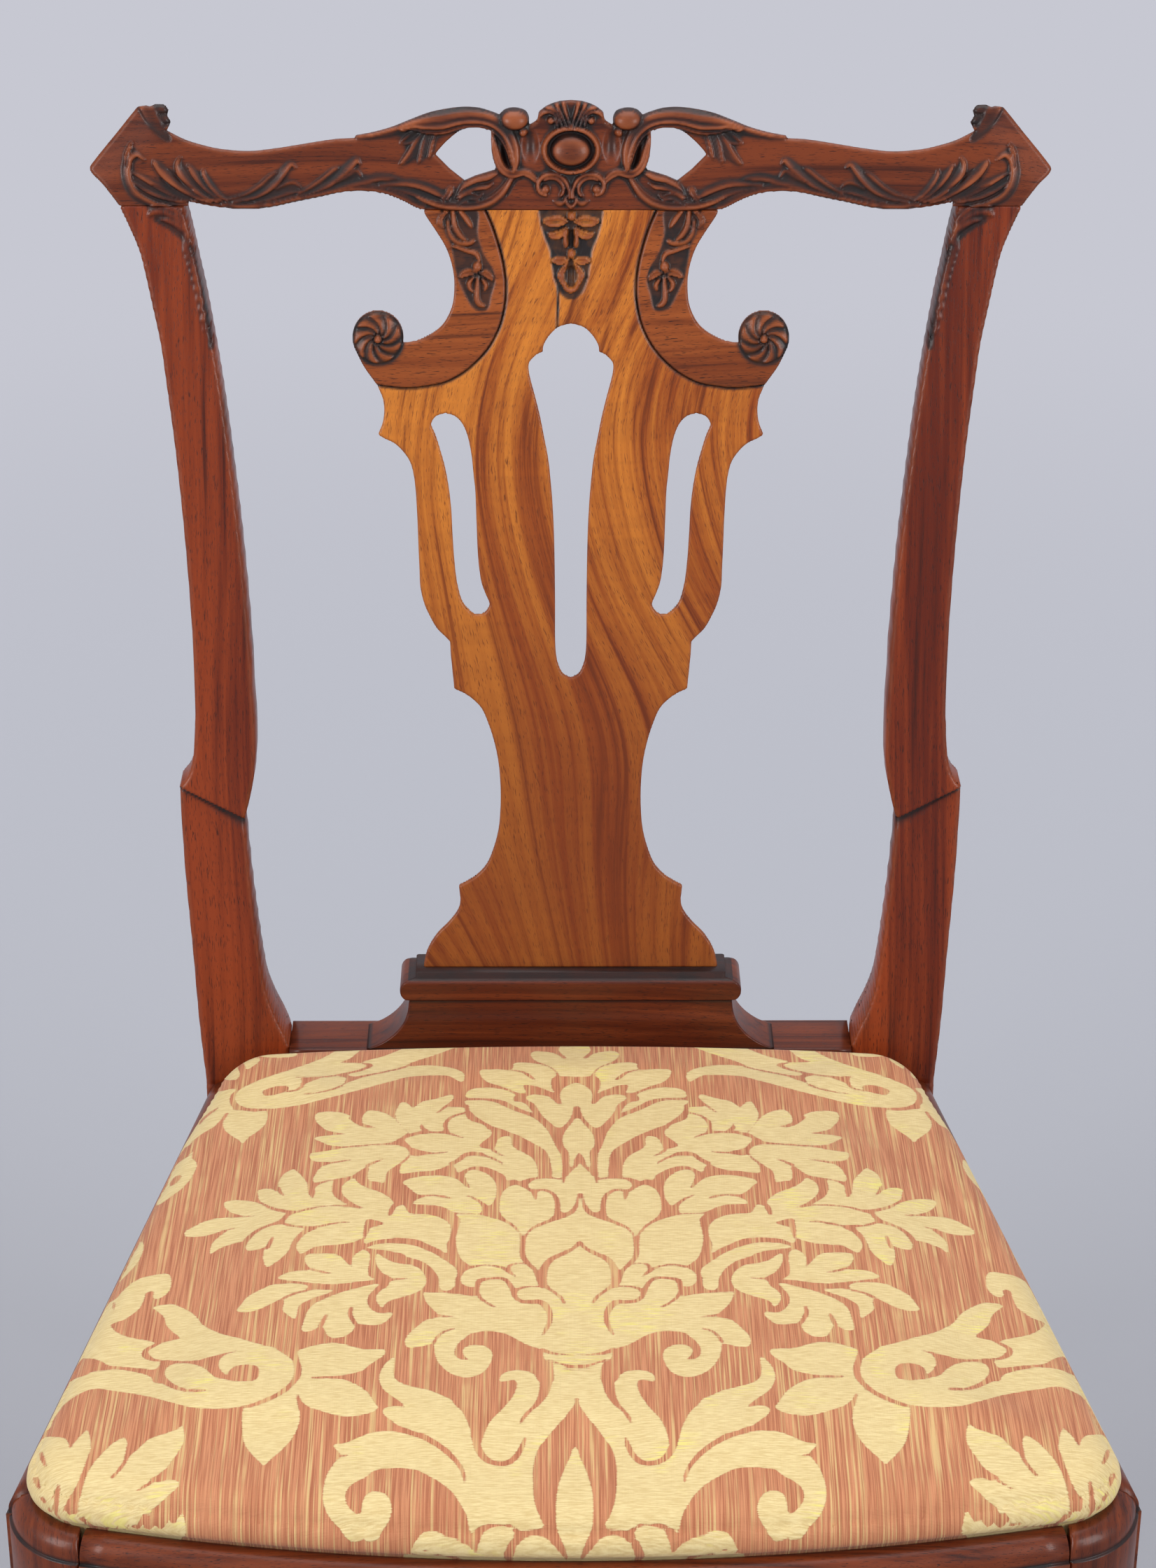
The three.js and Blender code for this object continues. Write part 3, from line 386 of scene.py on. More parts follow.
def skin(front, back, quads, edges):
    """A closed surface from a front and a back over the same net, joined round the border."""
    size = len(front)
    a, b = edges[:, 0], edges[:, 1]
    wall = np.stack([b, a, a + size, b + size], 1)
    return np.vstack([front, back]), [quads, quads[:, ::-1] + size, wall]


def rolled_edge(distance, radius):
    """How far a surface falls back within a radius of its edge."""
    inner = np.clip(radius - distance, 0, radius)
    return radius - np.sqrt(np.maximum(radius ** 2 - inner ** 2, 0))


FORMS = {
    "dome": lambda far, side: np.sqrt(np.clip(1 - far ** 2, 0, 1)),
    "bead": lambda far, side: 1 - far ** 2,
    "leaf": lambda far, side: np.where(far < 0.7, 0.3 + 0.7 * (far / 0.7) ** 2,
                                       1 - ((far - 0.7) / 0.3) ** 2 * 0.9),
    "fold": lambda far, side: (0.25 + 0.75 * ramp(-0.9, 0.75, side)) * (1 - far ** 4),
    "turn": lambda far, side: (0.25 + 0.75 * ramp(-0.9, 0.75, -side)) * (1 - far ** 4),
    "groove": lambda far, side: -(1 - far ** 2),
}


# Materials

def rgb(red, green, blue):
    """A colour from its screen values."""
    def linear(value):
        value /= 255
        return value / 12.92 if value <= 0.04045 else ((value + 0.055) / 1.055) ** 2.4
    return (linear(red), linear(green), linear(blue), 1.0)


class Nodes:
    """A material's node tree, with short calls for what the materials here share."""

    def __init__(self, name):
        self.material = bpy.data.materials.new(name)
        self.material.use_nodes = True
        self.tree = self.material.node_tree
        self.shader = self.tree.nodes["Principled BSDF"]
        place = self.tree.nodes.new("ShaderNodeTexCoord")
        self.coordinates = place.outputs["Object"]

    def add(self, kind, **settings):
        node = self.tree.nodes.new(kind)
        for key, value in settings.items():
            setattr(node, key, value)
        return node

    def link(self, source, target):
        if isinstance(source, (int, float, tuple)):
            target.default_value = source
        else:
            self.tree.links.new(source, target)

    def mapped(self, scale, turn=(0, 0, 0), source=None):
        node = self.add("ShaderNodeMapping")
        self.link(source or self.coordinates, node.inputs["Vector"])
        node.inputs["Scale"].default_value = scale
        node.inputs["Rotation"].default_value = turn
        return node.outputs["Vector"]

    def noise(self, vector, scale=1.0, detail=3.0, rough=0.55, warp=0.0):
        node = self.add("ShaderNodeTexNoise")
        self.link(vector, node.inputs["Vector"])
        node.inputs["Scale"].default_value = scale
        node.inputs["Detail"].default_value = detail
        node.inputs["Roughness"].default_value = rough
        node.inputs["Distortion"].default_value = warp
        return node.outputs["Fac"]

    def math(self, operation, a, b=0.0, clamp=False):
        node = self.add("ShaderNodeMath", operation=operation, use_clamp=clamp)
        self.link(a, node.inputs[0])
        self.link(b, node.inputs[1])
        return node.outputs[0]

    def span(self, value, low, high, out_low=0.0, out_high=1.0):
        node = self.add("ShaderNodeMapRange", interpolation_type="SMOOTHSTEP")
        self.link(value, node.inputs["Value"])
        ends = {"From Min": low, "From Max": high, "To Min": out_low, "To Max": out_high}
        for key, number in ends.items():
            node.inputs[key].default_value = number
        return node.outputs["Result"]

    def mix(self, share, a, b):
        node = self.add("ShaderNodeMix", data_type="RGBA")
        self.link(share, node.inputs[0])
        self.link(a, node.inputs[6])
        self.link(b, node.inputs[7])
        return node.outputs[2]

    def value(self, name):
        return self.add("ShaderNodeAttribute", attribute_name=name).outputs["Fac"]

    def bump(self, height, strength, distance):
        node = self.add("ShaderNodeBump")
        node.inputs["Strength"].default_value = strength
        node.inputs["Distance"].default_value = distance
        self.link(height, node.inputs["Height"])
        self.link(node.outputs["Normal"], self.shader.inputs["Normal"])

    def constant(self, **values):
        for key, value in values.items():
            self.shader.inputs[key.replace("_", " ")].default_value = value


# Directions the grain may run in, as the turn that lays the texture's X along it
GRAIN_X = (0.0, 0.0, 0.0)
GRAIN_Z = (0.0, math.radians(90), 0.0)
GRAIN_Y = (0.0, 0.0, math.radians(-90))

# The near-black of old wax and painted shade in carving, quirks and seams, and the copper of rubbed wear
# and painted highlight on ridges and arrises
DIRT_AND_SHADE = rgb(34, 27, 26)
WEAR_AND_HIGHLIGHT_COPPER = rgb(150, 80, 46)
# The roughness of the waxed wood where no streak or wax dulls it
POLISH = 0.3


def wood(name, light, mid, dark, turn, offset, figure=0.0, fade=None, pores=0.75, drift=0.02, depth=1.0):
    """Waxed walnut: pores and streaks along the grain, curled figure across it, dark wax and painted
    shade in the carving, and rubbed wear and painted highlight on ridges and arrises. An offset
    gives each wood a part of the texture of its own. drift is how far the growth lines wander,
    and fade is (low z, high z, colour) for a darker foot. A depth below 1 keeps the streaks long
    where a raked face crosses them."""
    n = Nodes(name)
    shifted = n.add("ShaderNodeVectorMath", operation="ADD")
    n.link(n.coordinates, shifted.inputs[0])
    shifted.inputs[1].default_value = (offset, offset * 0.7, offset * 1.3)
    place = shifted.outputs[0]
    straight = n.mapped((1.0, 1.0, 1.0), turn, place)
    # The growth lines wander sideways in long sweeps
    wander = n.math("SUBTRACT", n.noise(place, 4.5, 0.0, 0.0), 0.5)
    bent = n.add("ShaderNodeVectorMath", operation="ADD")
    sideways = n.add("ShaderNodeCombineXYZ")
    shift = n.math("MULTIPLY", wander, drift)
    n.link(shift, sideways.inputs["Y"])
    n.link(shift, sideways.inputs["Z"])
    n.link(straight, bent.inputs[0])
    n.link(sideways.outputs[0], bent.inputs[1])
    grain = bent.outputs[0]

    def lines(along, across, detail, rough, warp):
        """Noise drawn out along the grain, from its scales along it and across it."""
        return n.noise(n.mapped((along, across * depth, across), source=grain), 1.0, detail, rough, warp)

    streaks = lines(1.8, 210.0, 4.0, 0.6, 0.25)
    broad = lines(1.2, 30.0, 2.0, 0.5, 0.3)
    pore = lines(200.0, 2300.0, 1.0, 0.5, 0.0)
    both = n.math("ADD", n.math("MULTIPLY", streaks, 0.55), n.math("MULTIPLY", broad, 0.45))
    tone = n.span(both, 0.36, 0.64)
    colour = n.mix(tone, mid, light)
    colour = n.mix(n.span(streaks, 0.44, 0.28, 0.0, 0.65), colour, dark)
    if figure:
        # The curl lies across the grain
        curl = n.noise(n.mapped((75.0, 9.0, 9.0), source=grain), 1.0, 2.0, 0.45, 1.4)
        colour = n.mix(n.span(curl, 0.40, 0.62, 0.0, figure), colour, dark)
    if fade:
        low, high, deep = fade
        split = n.add("ShaderNodeSeparateXYZ")
        n.link(n.coordinates, split.inputs[0])
        level = n.math("ADD", split.outputs["Z"], n.math("MULTIPLY", broad, 0.06))
        colour = n.mix(n.span(level, high * MM, low * MM, 0.0, 0.7), colour, deep)
        colour = n.mix(n.span(streaks, 0.5, 0.3, 0.0, 0.4), colour, dark)
    fleck = n.span(pore, 0.40, 0.30, 0.0, pores)
    colour = n.mix(fleck, colour, dark)
    dirt_and_shade, wear_and_highlight = n.value("dirt_and_shade"), n.value("wear_and_highlight")
    patch = n.noise(n.mapped((60.0, 60.0, 60.0), source=place), 1.0, 3.0, 0.6)
    blotch = n.span(patch, 0.35, 0.75, 0.82, 1.08)
    # Old wax and painted shade darken the carving, hollows and seams; rubbed wear and painted highlight
    # brighten ridges and arrises
    colour = n.mix(n.math("MULTIPLY", dirt_and_shade, blotch, True), colour, DIRT_AND_SHADE)
    worn_and_lit = n.math("MULTIPLY", wear_and_highlight, n.span(patch, 0.3, 0.6, 0.55, 1.0))
    colour = n.mix(worn_and_lit, colour, WEAR_AND_HIGHLIGHT_COPPER)
    n.link(colour, n.shader.inputs["Base Color"])
    rough = n.math("ADD", POLISH, n.math("MULTIPLY", streaks, 0.14))
    rough = n.math("ADD", rough, n.math("MULTIPLY", dirt_and_shade, 0.06))
    n.link(rough, n.shader.inputs["Roughness"])
    n.constant(Coat_Weight=0.1, Coat_Roughness=0.12, Specular_IOR_Level=0.25)
    n.bump(n.math("SUBTRACT", n.math("MULTIPLY", streaks, 0.5), fleck), 0.25, 0.0003)
    return n.material


# The woods' colours
REDDISH = dict(light=rgb(140, 57, 23), mid=rgb(94, 31, 13), dark=rgb(46, 18, 11))
CREST = dict(light=rgb(122, 55, 25), mid=rgb(80, 31, 14), dark=rgb(44, 19, 12))
WINGS = dict(light=rgb(158, 82, 36), mid=rgb(118, 54, 22), dark=rgb(54, 25, 13))
GOLDEN = dict(light=rgb(212, 128, 48), mid=rgb(152, 71, 25), dark=rgb(96, 42, 16))

RAKED = 0.12
crest_wood = wood("walnut_crest", turn=GRAIN_X, offset=0.3, **CREST)
post_wood = wood("walnut_posts", turn=GRAIN_Z, offset=1.1, depth=RAKED, **REDDISH)
wing_wood = wood("walnut_wings", turn=GRAIN_X, offset=2.0, pores=0.9, **WINGS)
splat_wood = wood("walnut_figured", turn=GRAIN_Z, offset=3.0, figure=0.10, drift=0.2, depth=RAKED,
                  fade=(560.0, 900.0, rgb(104, 41, 16)), **GOLDEN)
rail_wood = wood("walnut_rails", turn=GRAIN_X, offset=4.0, **CREST)
leg_wood = wood("walnut_legs", turn=GRAIN_Z, offset=5.0, depth=RAKED, **CREST)
side_wood = wood("walnut_side_rails", turn=GRAIN_Y, offset=5.0, **CREST)


def bare_wood():
    """Beech that was never polished: pale, dry, with fine flecks."""
    n = Nodes("beech")
    grain = n.mapped((12.0, 160.0, 160.0))
    streaks = n.noise(grain, 1.0, 4.0, 0.6, 0.4)
    patch = n.noise(n.mapped((14.0, 14.0, 14.0)), 1.0, 3.0, 0.5)
    colour = n.mix(n.span(streaks, 0.35, 0.65), rgb(150, 112, 74), rgb(192, 152, 106))
    colour = n.mix(n.span(patch, 0.45, 0.75, 0.0, 0.55), colour, rgb(112, 82, 56))
    n.link(colour, n.shader.inputs["Base Color"])
    n.link(n.math("ADD", 0.62, n.math("MULTIPLY", streaks, 0.2)), n.shader.inputs["Roughness"])
    n.bump(streaks, 0.4, 0.0004)
    return n.material


beech = bare_wood()


def plain_weave(name, light, dark, pitch):
    """A coarse plain weave of round threads."""
    n = Nodes(name)
    split = n.add("ShaderNodeSeparateXYZ")
    n.link(n.coordinates, split.inputs[0])
    turns = 2 * math.pi / (pitch * MM)
    warp = n.math("SINE", n.math("MULTIPLY", split.outputs["X"], turns))
    weft = n.math("SINE", n.math("MULTIPLY", split.outputs["Y"], turns))
    weave = n.math("MULTIPLY", warp, weft)
    hairs = n.noise(n.mapped((500.0, 500.0, 500.0)), 1.0, 3.0, 0.6)
    share = n.span(n.math("ADD", weave, hairs), -0.4, 1.4)
    n.link(n.mix(share, dark, light), n.shader.inputs["Base Color"])
    n.constant(Roughness=0.9, Sheen_Weight=0.15)
    n.bump(n.math("ADD", weave, hairs), 0.6, 0.0006)
    return n.material


jute = plain_weave("jute_webbing", rgb(186, 158, 112), rgb(116, 92, 60), 2.2)
hessian_cloth = plain_weave("hessian_cloth", rgb(170, 142, 100), rgb(92, 72, 48), 1.6)


# The back: outlines as distance from the middle and height

# Where outlines meet: the ear's and the crest's ends on the post, the scroll's top and the splat's
EAR_END = 246.2
CREST_END = 208.5
SCROLL_TOP = 80.2
SPLAT_TOP_HALF = 47.0

# The crest rail's top edge runs out from the shell over the bead, the arch and the ear to the post
CREST_TOP = drawn(
    [(0, 986.4), (6.3, 985.8), (12.5, 983.8), (16.8, 981.0)],
    [(17.6, 980), (18.6, 976.3), (22.4, 973.8)],
    [(22.8, 974.5), (22.9, 978), (25, 981.2), (30.5, 982.6), (35.5, 981.8), (38.4, 979.6)],
    [(38.8, 978.9), (43, 980.5), (50, 982.4), (58, 982.9), (67, 982), (77, 980), (87, 976.5), (97, 972.7),
     (107, 970), (117, 968.2)],
    [(117.6, 966.8), (130, 966), (150, 963), (160, 961.5), (175, 960), (190, 961), (200, 963), (210, 966),
     (219.6, 970.6)],
    [(217.4, 974.6), (219.4, 978.0)],
    [(218.6, 980.6), (220.5, 983), (224.5, 983.7), (228.6, 982.9)],
    [(230.5, 983.3), (234.5, 982.6), (238.2, 979), (246, 970), (254, 961), (259.5, 954.6), (262, 951),
     (260.5, 948), (255, 943), (250, 937), (EAR_END, 932)])
CREST_BOTTOM = smooth([
    (CREST_END, 934.3), (200, 932.5), (190, 931), (178, 930.2), (165, 931), (150, 934), (137, 936.5),
    (125, 939), (114, 939.8), (102, 938.5), (92, 935), (84, 931), (SCROLL_TOP, CREST_SEAM_Z + SEAM_GAP)])
CREST_OPENING = drawn(
    [(43.5, 971.5), (52, 972.5), (60, 971), (67, 966), (72, 961), (73.8, 958.5)],
    [(66, 951), (58, 945)],
    [(52, 947.5), (45, 949.5), (41.5, 950.5)],
    [(40.9, 952), (42.8, 958), (43.4, 965), (43.4, 971)])
# The scrolled wing: its free edge, its volute, and the seam where the splat meets it
SCROLL_INNER = smooth([
    (SCROLL_TOP, CREST_SEAM_Z - SEAM_GAP), (79, 927), (73.5, 919), (68.5, 911), (65.5, 903), (64, 895),
    (64, 887), (65, 880), (68, 873), (72, 868), (78, 864), (85, 861), (91, 860.2), (92.3, 860.4)])
VOLUTE = (106.0, 863.0)
VOLUTE_RADIUS = 14.0
SCROLL_TAIL = smooth([(118.3, 856.3), (114, 848), (109, 841), (107.2, 838.6)])
WING_SEAM = smooth([
    (SPLAT_TOP_HALF, 930), (43, 921), (39.7, 911), (37.2, 901), (36, 890), (37, 879), (39.7, 869),
    (45, 859), (52, 851), (60, 844.5), (70, 839.5), (80, 837.5), (90, 836.5), (100, 837.3),
    (106.8, 838.2)])
# The splat's side below the wing, and its three slots
SPLAT_SIDE = drawn(
    [(106.8, 837.8), (105.3, 834.5), (103.6, 830), (103, 824), (104, 817), (106.5, 811)],
    [(103, 809), (97, 806), (92, 801), (88.5, 795), (86.5, 785), (85.5, 770), (85, 755), (84.5, 740),
     (84, 728), (82, 719), (79, 712), (75, 705), (70, 700), (67.7, 697.5)],
    [(67.3, 690), (65.5, 671)],
    [(60, 668.5), (55, 665), (50, 659.5), (46, 650), (43, 640), (41, 630), (40, 620), (39.7, 610),
     (40, 600), (41, 590), (43.5, 580), (47.5, 570), (53, 563.5), (59, 559.5), (63.8, 557)],
    [(63, 550), (63.5, 545), (66, 540), (70.5, 534.5), (75.5, 529.5), (79.5, 524), (82.5, 518), (84, 512),
     (84.4, SHOE_TOP_Z + SEAM_GAP)])
MIDDLE_SLOT = drawn(
    [(0, 870.5), (7, 868.5), (12, 864), (15, 859), (15.5, 855.5)],
    [(19, 854), (22.5, 850.5), (23.4, 847), (22.5, 841), (19.5, 830), (17, 820), (15, 810), (12.5, 797),
     (11, 783), (10, 770), (9.2, 750), (8.8, 720), (8.8, 700), (8.3, 690), (7, 684), (4.5, 679),
     (0, 676.5)])
SIDE_SLOT = smooth([
    (69.3, 822.7), (74.5, 821), (77, 817.5), (77, 815), (74.8, 810), (72.3, 802), (69.8, 793),
    (67.8, 782), (66.5, 770), (65.8, 755), (65.2, 745), (64.3, 735), (63.2, 728), (61, 720),
    (57.5, 715), (53, 712), (48.5, 713), (46, 716), (45.5, 719), (48, 725), (50, 731), (51.3, 740),
    (52, 750), (52.5, 765), (53, 780), (54, 790), (55, 800), (57, 810), (60, 817), (64, 821),
    (69.3, 822.7)])[:-1]
# The post and its leg, from the ear down the outside and from the floor up the inside
POST_OUTER = drawn(
    [(EAR_END, POST_TOP_Z - SEAM_GAP), (241, 921), (236, 909), (233, 897), (229.5, 880), (225.5, 860),
     (223, 840), (218.5, 800), (214.5, 750), (212, 700), (211.5, 660), (212, 650), (213, 635),
     (215, 625), (218, 618.5), (221.8, 614.4)],
    [(221.8, 612), (221.5, 595), (220, 560), (217, 515), (215, 480), (213, 455), (211.5, 440)],
    [(212, 300), (213, 150), (214, 0)])
POST_INNER = drawn(
    [(180, 0), (175.5, 200), (171, 330), (165, 385), (163, 410), (163, 460)],
    [(166, 467.5), (171, 478.4), (175, 490.2), (177.3, 503), (180, 525), (183, 555), (185.4, 587.6),
     (185.5, 595)],
    [(182.3, 606.8), (179.6, 620), (178.3, 640), (178.8, 660), (180.3, 700), (183.8, 750), (188.8, 800),
     (193.8, 840), (200.3, 880), (204.4, 900), (207.6, 915.8), (211.4, POST_TOP_Z - SEAM_GAP)])

# Grid steps of the carved plates
PLATE_STEP = 0.7
SPLAT_STEP = 0.8
POST_STEP = 1.1
PLATE_LEAST = 0.6
CREST_THICKNESS = 24.0
CREST_TOP_THICKNESS = 7.0
SPLAT_THICKNESS = 10.8
WING_THICKNESS = 12.8
WING_PROUD = 1.0


def plate(name, sheet, face, thickness, material, round_front, chamfer, wall, fine=0.7):
    """A carved plate that follows the back: rounded in front, worked away behind its edges down
    to a wall. face and thickness are over the sheet, of the front's Y and the wood's thickness.
    fine is how wide the finest carving is."""
    used, u, v, quads, edges = sheet.net()
    dark, worn_and_lit = sheet.patina_and_shading(fine)
    front_y = (face + rolled_edge(sheet.edge, round_front) - sheet.relief)[used]
    slope = np.clip(sheet.edge / chamfer, 0, 1)
    behind = (wall + (thickness - wall) * np.sin(slope * math.pi / 2))[used]
    back_y = np.maximum(face[used] + behind, front_y + PLATE_LEAST)
    front = np.stack([u, front_y, v], 1)
    back = np.stack([u, back_y, v], 1)
    points, faces = skin(front, back, quads, edges)
    # The arrises get rubbed wear and a painted highlight, where no wax or painted shade lies
    arris = ramp(round_front * 1.3, round_front * 0.4, sheet.edge) * 0.35 * (1 - dark)
    wear_and_highlight = np.clip(worn_and_lit + arris, 0, 1)[used]
    values = {"dirt_and_shade": np.concatenate([dark[used], np.zeros(len(back))]),
              "wear_and_highlight": np.concatenate([wear_and_highlight, np.zeros(len(back))])}
    return build(name, points, faces, material, FRAME_BODY, values)


def carve_ear(sheet):
    """The leaf that wraps the ear and runs down on to the post."""
    leaves = [
        ("turn", 2.2, [(213, 926, 1.0), (221, 931, 1.7), (229, 934, 2.3), (236, 937.5, 3.0),
                       (240.2, 943, 3.2), (241.6, 950, 3.0), (240, 956.5, 2.4), (236, 959, 1.6),
                       (231.5, 956, 0.7)]),
        ("leaf", 1.6, [(241.5, 953, 1.0), (241.2, 958, 1.6), (239.8, 962, 1.2), (238.6, 964.3, 0.5)]),
        ("fold", 1.8, [(204, 934.5, 1.0), (214, 937.5, 1.8), (223, 941.5, 2.0), (231, 946, 1.7),
                       (238, 949.5, 0.8)]),
        ("fold", 1.7, [(210, 934.5, 0.8), (216, 935.5, 1.3), (224, 937.5, 1.7), (232, 941, 1.5),
                       (238, 945, 0.8)]),
        ("fold", 2.4, [(196, 934.3, 0.9), (206, 938, 2.0), (215, 943.5, 2.8), (221.5, 949.5, 3.0),
                       (225.4, 953.8, 2.0), (226.6, 955.6, 0.7)]),
        ("fold", 2.4, [(192, 934.5, 0.9), (200, 938, 1.8), (207, 943.3, 2.5), (212, 949, 2.7),
                       (213.6, 954, 1.8), (212, 957.5, 0.7)]),
        ("fold", 2.1, [(190, 935, 0.8), (196, 939, 1.5), (201, 944, 2.1), (205, 949, 2.1),
                       (207.4, 952.8, 1.2), (208.4, 953.6, 0.6)]),
        ("fold", 2.0, [(187, 935, 0.8), (192, 938.6, 1.4), (196.5, 943.6, 1.8), (199.5, 948.6, 1.5),
                       (199.6, 951, 0.6)]),
        ("turn", 2.2, [(208.5, 921, 0.8), (212, 926, 1.6), (217.5, 930.3, 2.1), (223.5, 932.4, 2.0),
                       (229, 932, 0.9)]),
        ("turn", 2.2, [(208, 917, 0.8), (211.5, 921.8, 1.6), (216.5, 926, 2.2), (222.5, 928.6, 2.3),
                       (228.2, 928.6, 1.8), (229.8, 926.8, 0.7)]),
        ("turn", 1.8, [(206.5, 912, 0.8), (209.5, 917.5, 1.5), (214, 921.5, 1.8), (219.5, 924, 1.8),
                       (224, 924.6, 0.9)]),
    ]
    for form, height, path in leaves:
        sheet.stroke(path, height, form)
    for path in ([(205, 936, 0.7), (214, 940.6, 0.9), (223, 946.2, 0.6)],
                 [(207, 935.2, 0.6), (217, 938.4, 0.8), (228, 943.2, 0.5)],
                 [(206, 941, 0.6), (213, 946, 0.8), (219, 951, 0.5)]):
        sheet.stroke(path, 1.0, "groove", over=False)


def carve_crest():
    """The crest rail's relief over its outline."""
    post_seam = [(EAR_END, POST_TOP_Z + SEAM_GAP), (CREST_END, POST_TOP_Z + SEAM_GAP)]
    half = np.vstack([CREST_TOP, post_seam, CREST_BOTTOM, [(0, CREST_SEAM_Z + SEAM_GAP)]])
    loops = [both_sides(half), CREST_OPENING, mirrored(CREST_OPENING)]
    rolled = [CREST_TOP, CREST_BOTTOM, ring_of(CREST_OPENING)]
    sheet = Sheet(loops, PLATE_STEP, rolled + [mirrored(line) for line in rolled])

    # The ear's face falls back to its slanting edge, and the coil sits behind its top corner
    for sign in (1, -1):
        along_edge = (sign * sheet.u - 238.2) * 0.66 + (sheet.v - 979) * 0.75
        sheet.relief -= 3.0 * ramp(-22, 3, along_edge) * (sign * sheet.u > 200)
    sheet.knob((223.5, 981.2), (6.2, 2.9), 2.2, lift=-4.0)
    sheet.knob((221.0, 976.2), (5.6, 3.4), 2.6, lift=-4.4)
    coil = [(231, 984, 4.4), (227.8, 978, 4.2), (224, 972, 3.4), (219, 967, 2.0)]
    sheet.stroke(coil, 1.0, "dome", lift=-1.8)
    carve_ear(sheet)

    # Leaves along the lower edge, between the ear and the middle
    edge_strap = [(80.5, 932, 2.2), (86, 934.2, 2.4), (93, 937.6, 2.4), (102, 940.6, 2.4),
                  (114, 942, 2.4), (125, 941.2, 2.2), (137, 938.8, 2.0), (150, 936.4, 1.8),
                  (163, 933.4, 1.6), (178, 932.4, 1.4), (190, 933, 1.2)]
    sheet.stroke(edge_strap, 1.2, "dome", ribs=[(0.6, 0.2, 0.5), (-0.1, 0.15, -0.5)])
    leaves = [
        ("fold", 1.5, [(186, 935.5, 0.8), (177, 938, 1.3), (169.5, 942, 1.8), (164, 946.5, 1.9),
                       (160.3, 949.4, 0.9)]),
        ("turn", 1.6, [(184, 934.5, 0.8), (174, 936.6, 1.6), (166, 940.4, 2.3), (160, 945.6, 2.8),
                       (155.8, 950.6, 2.6), (152.2, 954.2, 1.6), (149.6, 952.2, 0.8)]),
        ("fold", 1.3, [(160, 941, 0.8), (153.5, 944, 1.5), (150, 943.8, 1.2), (147.4, 941.6, 0.6)]),
        ("turn", 1.3, [(172, 934.5, 0.8), (163, 936.2, 1.3), (155, 938.8, 1.5), (147, 940.2, 0.8)]),
        ("fold", 1.5, [(148, 938.5, 0.8), (141, 942, 1.5), (134, 946.5, 2.0), (129.5, 950, 1.9),
                       (126.8, 951.9, 0.9)]),
        ("turn", 1.7, [(147, 936.8, 0.8), (138, 940.3, 1.6), (130, 944.8, 2.4), (124, 949.6, 2.9),
                       (119.5, 953.6, 2.7), (116.4, 956.4, 1.6), (114.6, 954.2, 0.8)]),
        ("fold", 1.4, [(128, 944, 0.8), (121, 947.5, 1.8), (117, 950.2, 1.8), (115, 948.5, 1.3),
                       (113.3, 945.2, 0.6)]),
        ("turn", 1.5, [(146, 936.3, 0.8), (135, 939.2, 1.4), (124, 942.4, 1.9), (113, 945, 2.3),
                       (105, 946.9, 2.4), (97, 946.8, 1.8), (92.3, 945, 0.8)]),
        ("turn", 1.7, [(104, 943.6, 1.2), (95, 944.2, 1.9), (86, 943.8, 2.4), (78, 941.5, 2.5),
                       (72, 938.8, 2.3), (68, 936.5, 1.4), (66.3, 935.5, 0.8)]),
        ("turn", 1.5, [(100, 942, 0.8), (92, 940.8, 1.6), (84, 938.2, 2.0), (77, 935.4, 2.0),
                       (70, 933.3, 1.6), (66, 933.4, 0.8)]),
    ]
    for form, height, path in leaves:
        sheet.stroke(path, height, form)

    # Leaves between the opening and the lower edge, and the strap below them
    strap = [(31.5, 950, 1.6), (33.6, 944.6, 2.4), (38, 938.8, 3.0), (44.5, 934.2, 3.2), (53, 932, 3.2),
             (62, 931.8, 3.0), (70, 932.4, 2.4), (78, 934.4, 1.6), (84, 937, 0.9)]
    sheet.stroke(strap, 2.0, "dome", ribs=[(-0.75, 0.22, 0.7), (0.1, 0.25, 0.5), (-0.35, 0.2, -0.7),
                                           (0.6, 0.25, -0.5)])
    for form, height, path in [
            ("turn", 2.0, [(61.5, 938.5, 0.9), (58, 943, 2.0), (52, 946.2, 2.4), (46, 947.4, 2.3),
                           (41.8, 949, 1.5), (40.3, 949.6, 0.7)]),
            ("turn", 1.8, [(62.5, 936.5, 0.9), (57.5, 940.2, 1.7), (51.5, 942, 1.9), (46, 942.4, 1.5),
                           (43, 944, 0.7)]),
            ("leaf", 1.9, [(62, 932.8, 1.1), (59, 935.8, 2.1), (55, 937.4, 2.3), (51, 937, 1.7),
                           (48.6, 938, 0.7)]),
            ("leaf", 1.9, [(70.3, 934.5, 0.8), (67.7, 937.2, 1.6), (66, 939.8, 2.0),
                           (65.3, 941.6, 1.2)])]:
        sheet.stroke(path, height, form, lift=0.4)

    # Leaves hanging from the arch's outer end, and the leaf that runs out along the top
    for form, height, path in [
            ("leaf", 1.6, [(80, 973, 1.6), (84.6, 969.2, 3.0), (89, 966.2, 2.6), (92.6, 964.8, 0.7)]),
            ("turn", 1.8, [(78.6, 972, 1.6), (83, 965, 3.4), (87, 959, 3.1), (91, 955, 1.8),
                           (92.9, 953.8, 0.6)]),
            ("turn", 1.7, [(77, 971, 1.4), (79, 966, 2.3), (80.6, 960.4, 2.3), (82, 956, 1.4),
                           (82.4, 954.6, 0.6)]),
            ("bead", 1.6, [(73.2, 970, 1.2), (75.2, 965, 1.6), (76.4, 960, 1.6), (77.3, 957.3, 0.9)]),
            ("turn", 1.8, [(86, 973.4, 2.6), (95, 971.2, 2.6), (103, 969.4, 2.0), (110, 968.2, 1.5),
                           (117, 967.9, 0.8)])]:
        sheet.stroke(path, height, form, ribs=[(0.1, 0.2, -0.5)])

